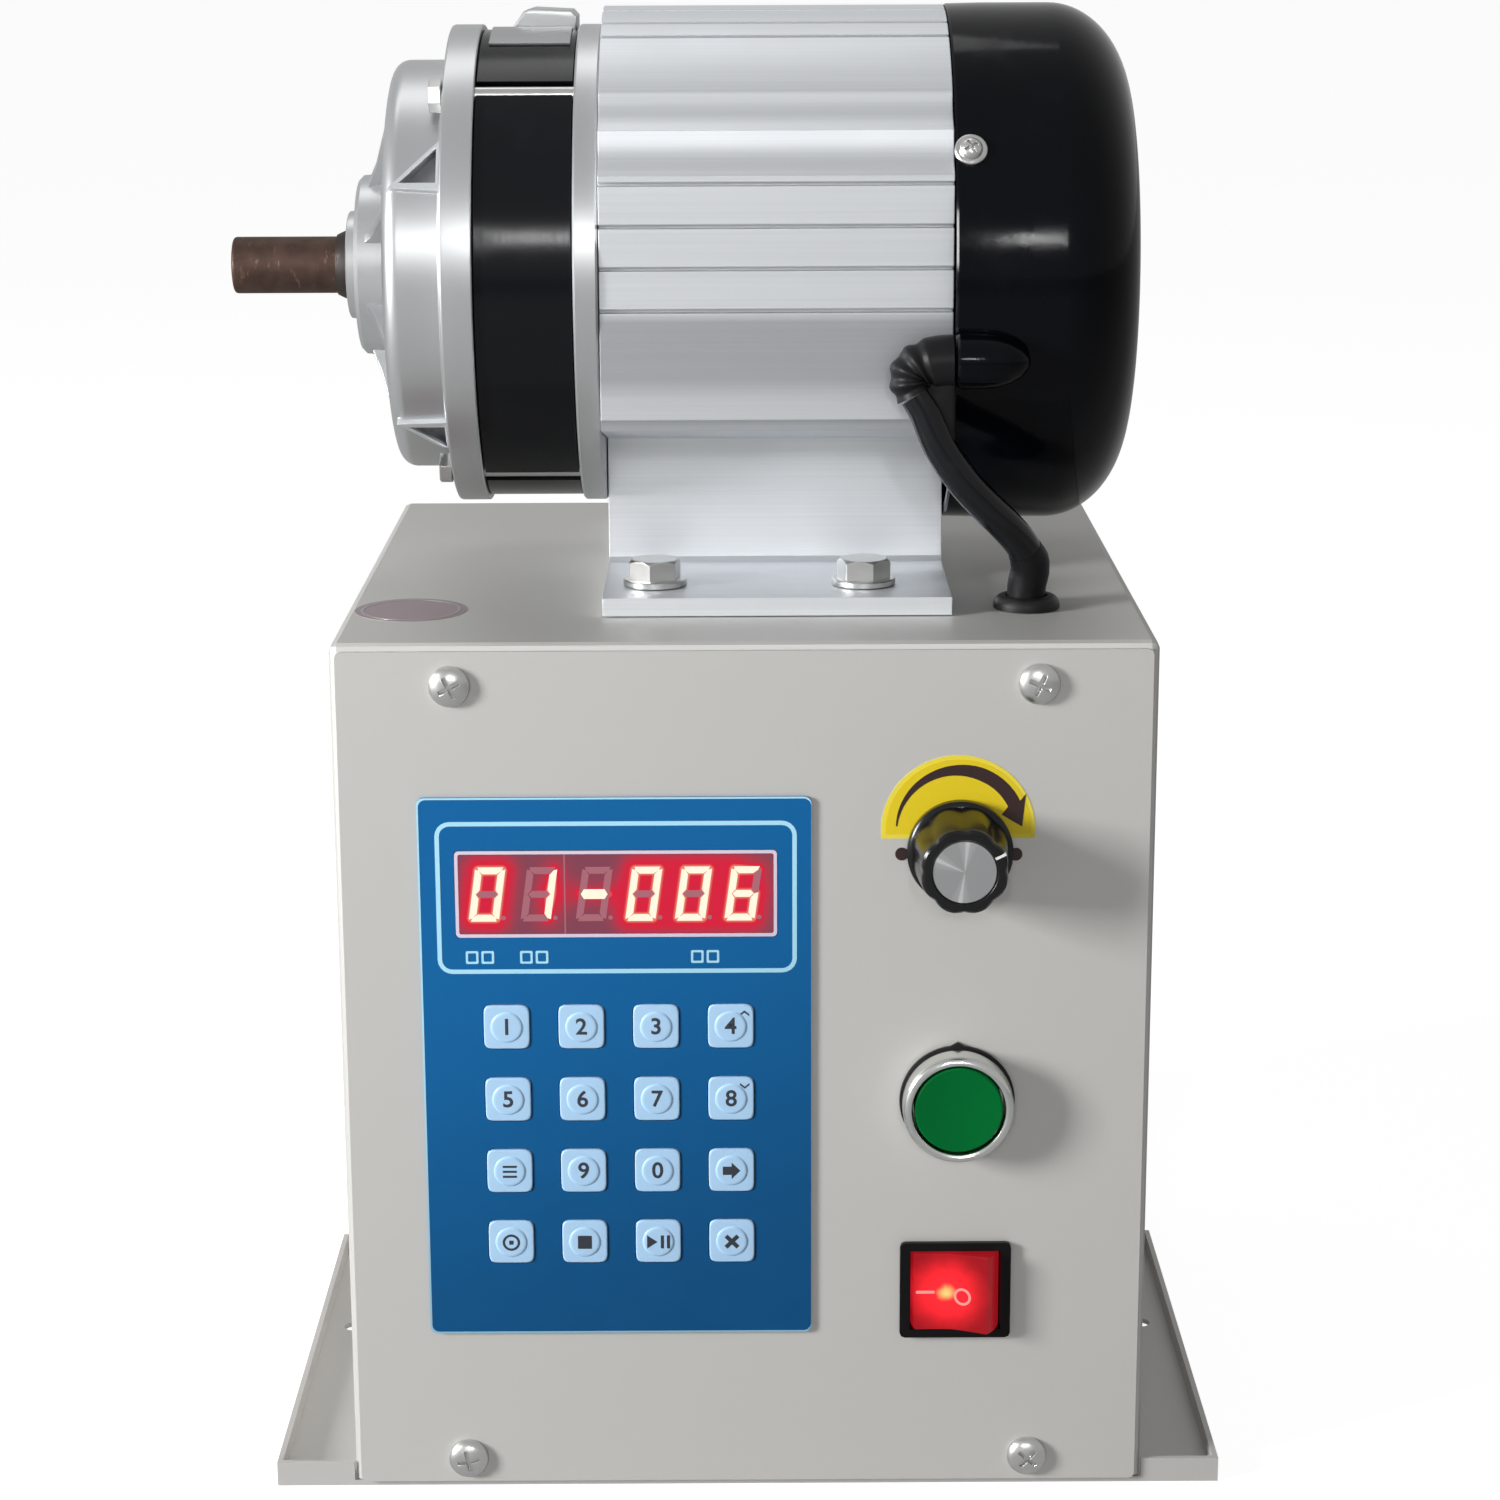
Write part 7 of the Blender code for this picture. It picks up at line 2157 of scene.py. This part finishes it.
@dataclass
class Studio:
    """The camera at the photograph's place, the lamps and the pale floor."""

    lens: float = 82.34
    sensor: float = 36.0
    camera_at: Place = (-0.00033, -0.99133, 0.43458)
    yaw: float = math.radians(0.1125)
    pitch: float = math.radians(14.0967)
    roll: float = math.radians(0.2324)
    floor_size: float = 30.0
    ambient: float = 0.15
    gloss_share: float = 0.47
    floor_gloss: float = 0.26
    floor_white: float = 0.91

    def build(self) -> None:
        """Sets the camera, the lamps, the world and the floor."""
        scene = bpy.context.scene
        scene.view_settings.view_transform = "Standard"
        self.camera(scene)
        self.lamp("left_window", (-1.92, -1.03, 0.72), (0.0, -0.05, 0.20), (0.50, 0.68), 67.0)
        self.lamp("front_pane", (0.262, -2.20, 0.940), (0.0, 0.0, 0.20), (0.020, 0.17), 1.5)
        self.lamp("second_pane", (0.290, -2.20, 0.960), (0.0, 0.0, 0.20), (0.020, 0.17), 1.5)
        self.lamp("front_window", (-0.196, -2.20, 1.06), (0.0, 0.0, 0.20), (0.14, 0.20), 4.2)
        self.lamp("ceiling", (-0.25, 0.50, 1.60), (0.0, 0.0, 0.30), (0.9, 0.4), 2.0)
        self.world(scene)
        self.floor()

    def camera(self, scene: bpy.types.Scene) -> None:
        """Puts the camera where the photograph was taken from.

        Args:
            scene: The scene to set.
        """
        data = bpy.data.cameras.new("camera")
        data.lens, data.sensor_width = self.lens, self.sensor
        piece = bpy.data.objects.new("camera", data)
        scene.collection.objects.link(piece)
        cos, sin = math.cos, math.sin
        ahead = Vector((sin(self.yaw) * cos(self.pitch), cos(self.yaw) * cos(self.pitch), -sin(self.pitch)))
        right = Vector((cos(self.yaw), -sin(self.yaw), 0.0))
        down = ahead.cross(right)
        across = right * cos(self.roll) + down * sin(self.roll)
        below = down * cos(self.roll) - right * sin(self.roll)
        columns = Matrix((across, -below, -ahead)).transposed().to_4x4()
        piece.matrix_world = Matrix.Translation(self.camera_at) @ columns
        scene.camera = piece

    def lamp(self, name: str, at: Place, aim: Place, size: Point, power: float) -> None:
        """Adds a rectangular lamp.

        Args:
            name: The lamp's name.
            at: Where it stands.
            aim: The point that it faces.
            size: Its width and height.
            power: Its power in watts.
        """
        data = bpy.data.lights.new(name, "AREA")
        data.shape = "RECTANGLE"
        data.size, data.size_y = size
        data.energy = power
        piece = bpy.data.objects.new(name, data)
        piece.location = at
        piece.rotation_euler = (Vector(aim) - Vector(at)).to_track_quat("-Z", "Y").to_euler()
        bpy.context.scene.collection.objects.link(piece)

    def world(self, scene: bpy.types.Scene) -> None:
        """A white background over a dimmer light from all sides.

        Args:
            scene: The scene to set.
        """
        made = bpy.data.worlds.new("studio")
        made.use_nodes = True
        scene.world = made
        sketch = Sketch(made.node_tree)
        seen = sketch.node("ShaderNodeLightPath", output="Is Camera Ray")
        glossy = sketch.node("ShaderNodeLightPath", output="Is Glossy Ray")
        through = sketch.node("ShaderNodeLightPath", output="Is Transmission Ray")
        share = seen + glossy * self.gloss_share + through
        strength = self.ambient + share * (1 - self.ambient)
        background = made.node_tree.nodes["Background"].inputs
        sketch.feed(background["Color"], (1.0, 1.0, 1.0))
        sketch.feed(background["Strength"], strength)

    def floor(self) -> None:
        """A pale floor that is white to the camera and keeps the machine's shadow."""
        half = self.floor_size / 2
        body = bmesh.new()
        corners = [(-half, -half, -0.0002), (half, -half, -0.0002), (half, half, -0.0002), (-half, half, -0.0002)]
        body.faces.new([body.verts.new(corner) for corner in corners])
        mesh = bpy.data.meshes.new("floor")
        body.to_mesh(mesh)
        body.free()
        made = bpy.data.materials.new("floor_paper")
        made.use_nodes = True
        sketch = Sketch(made.node_tree)
        inputs = made.node_tree.nodes["Principled BSDF"].inputs
        seen = sketch.node("ShaderNodeLightPath", output="Is Camera Ray")
        glossy = sketch.node("ShaderNodeLightPath", output="Is Glossy Ray")
        sketch.feed(inputs["Base Color"], (0.34, 0.34, 0.34))
        sketch.feed(inputs["Roughness"], 0.9)
        sketch.feed(inputs["Specular IOR Level"], 0.0)
        sketch.feed(inputs["Emission Color"], (1.0, 1.0, 1.0))
        sketch.feed(inputs["Emission Strength"], (seen + glossy * self.floor_gloss) * self.floor_white)
        mesh.materials.append(made)
        piece = bpy.data.objects.new("floor", mesh)
        bpy.context.scene.collection.objects.link(piece)
        piece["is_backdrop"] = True


def corners() -> list[list[float]]:
    """The object's lowest and highest corners."""
    return [list(corner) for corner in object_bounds()]


def main() -> None:
    """Loads the frame, dresses the machine and sets the studio."""
    logging.basicConfig(level=logging.INFO, format="%(name)s %(message)s")
    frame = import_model()
    bench = Bench()
    Studio().build()
    Cabinet(bench, frame).build()
    Keypad(bench, frame).build()
    Controls(bench, frame).build()
    motor = Motor(bench, frame)
    motor.build()
    MotorLead(bench, motor.axis_z).build()
    Gearbox(bench, frame, motor.axis_z).build()


if __name__ == "__main__":
    main()
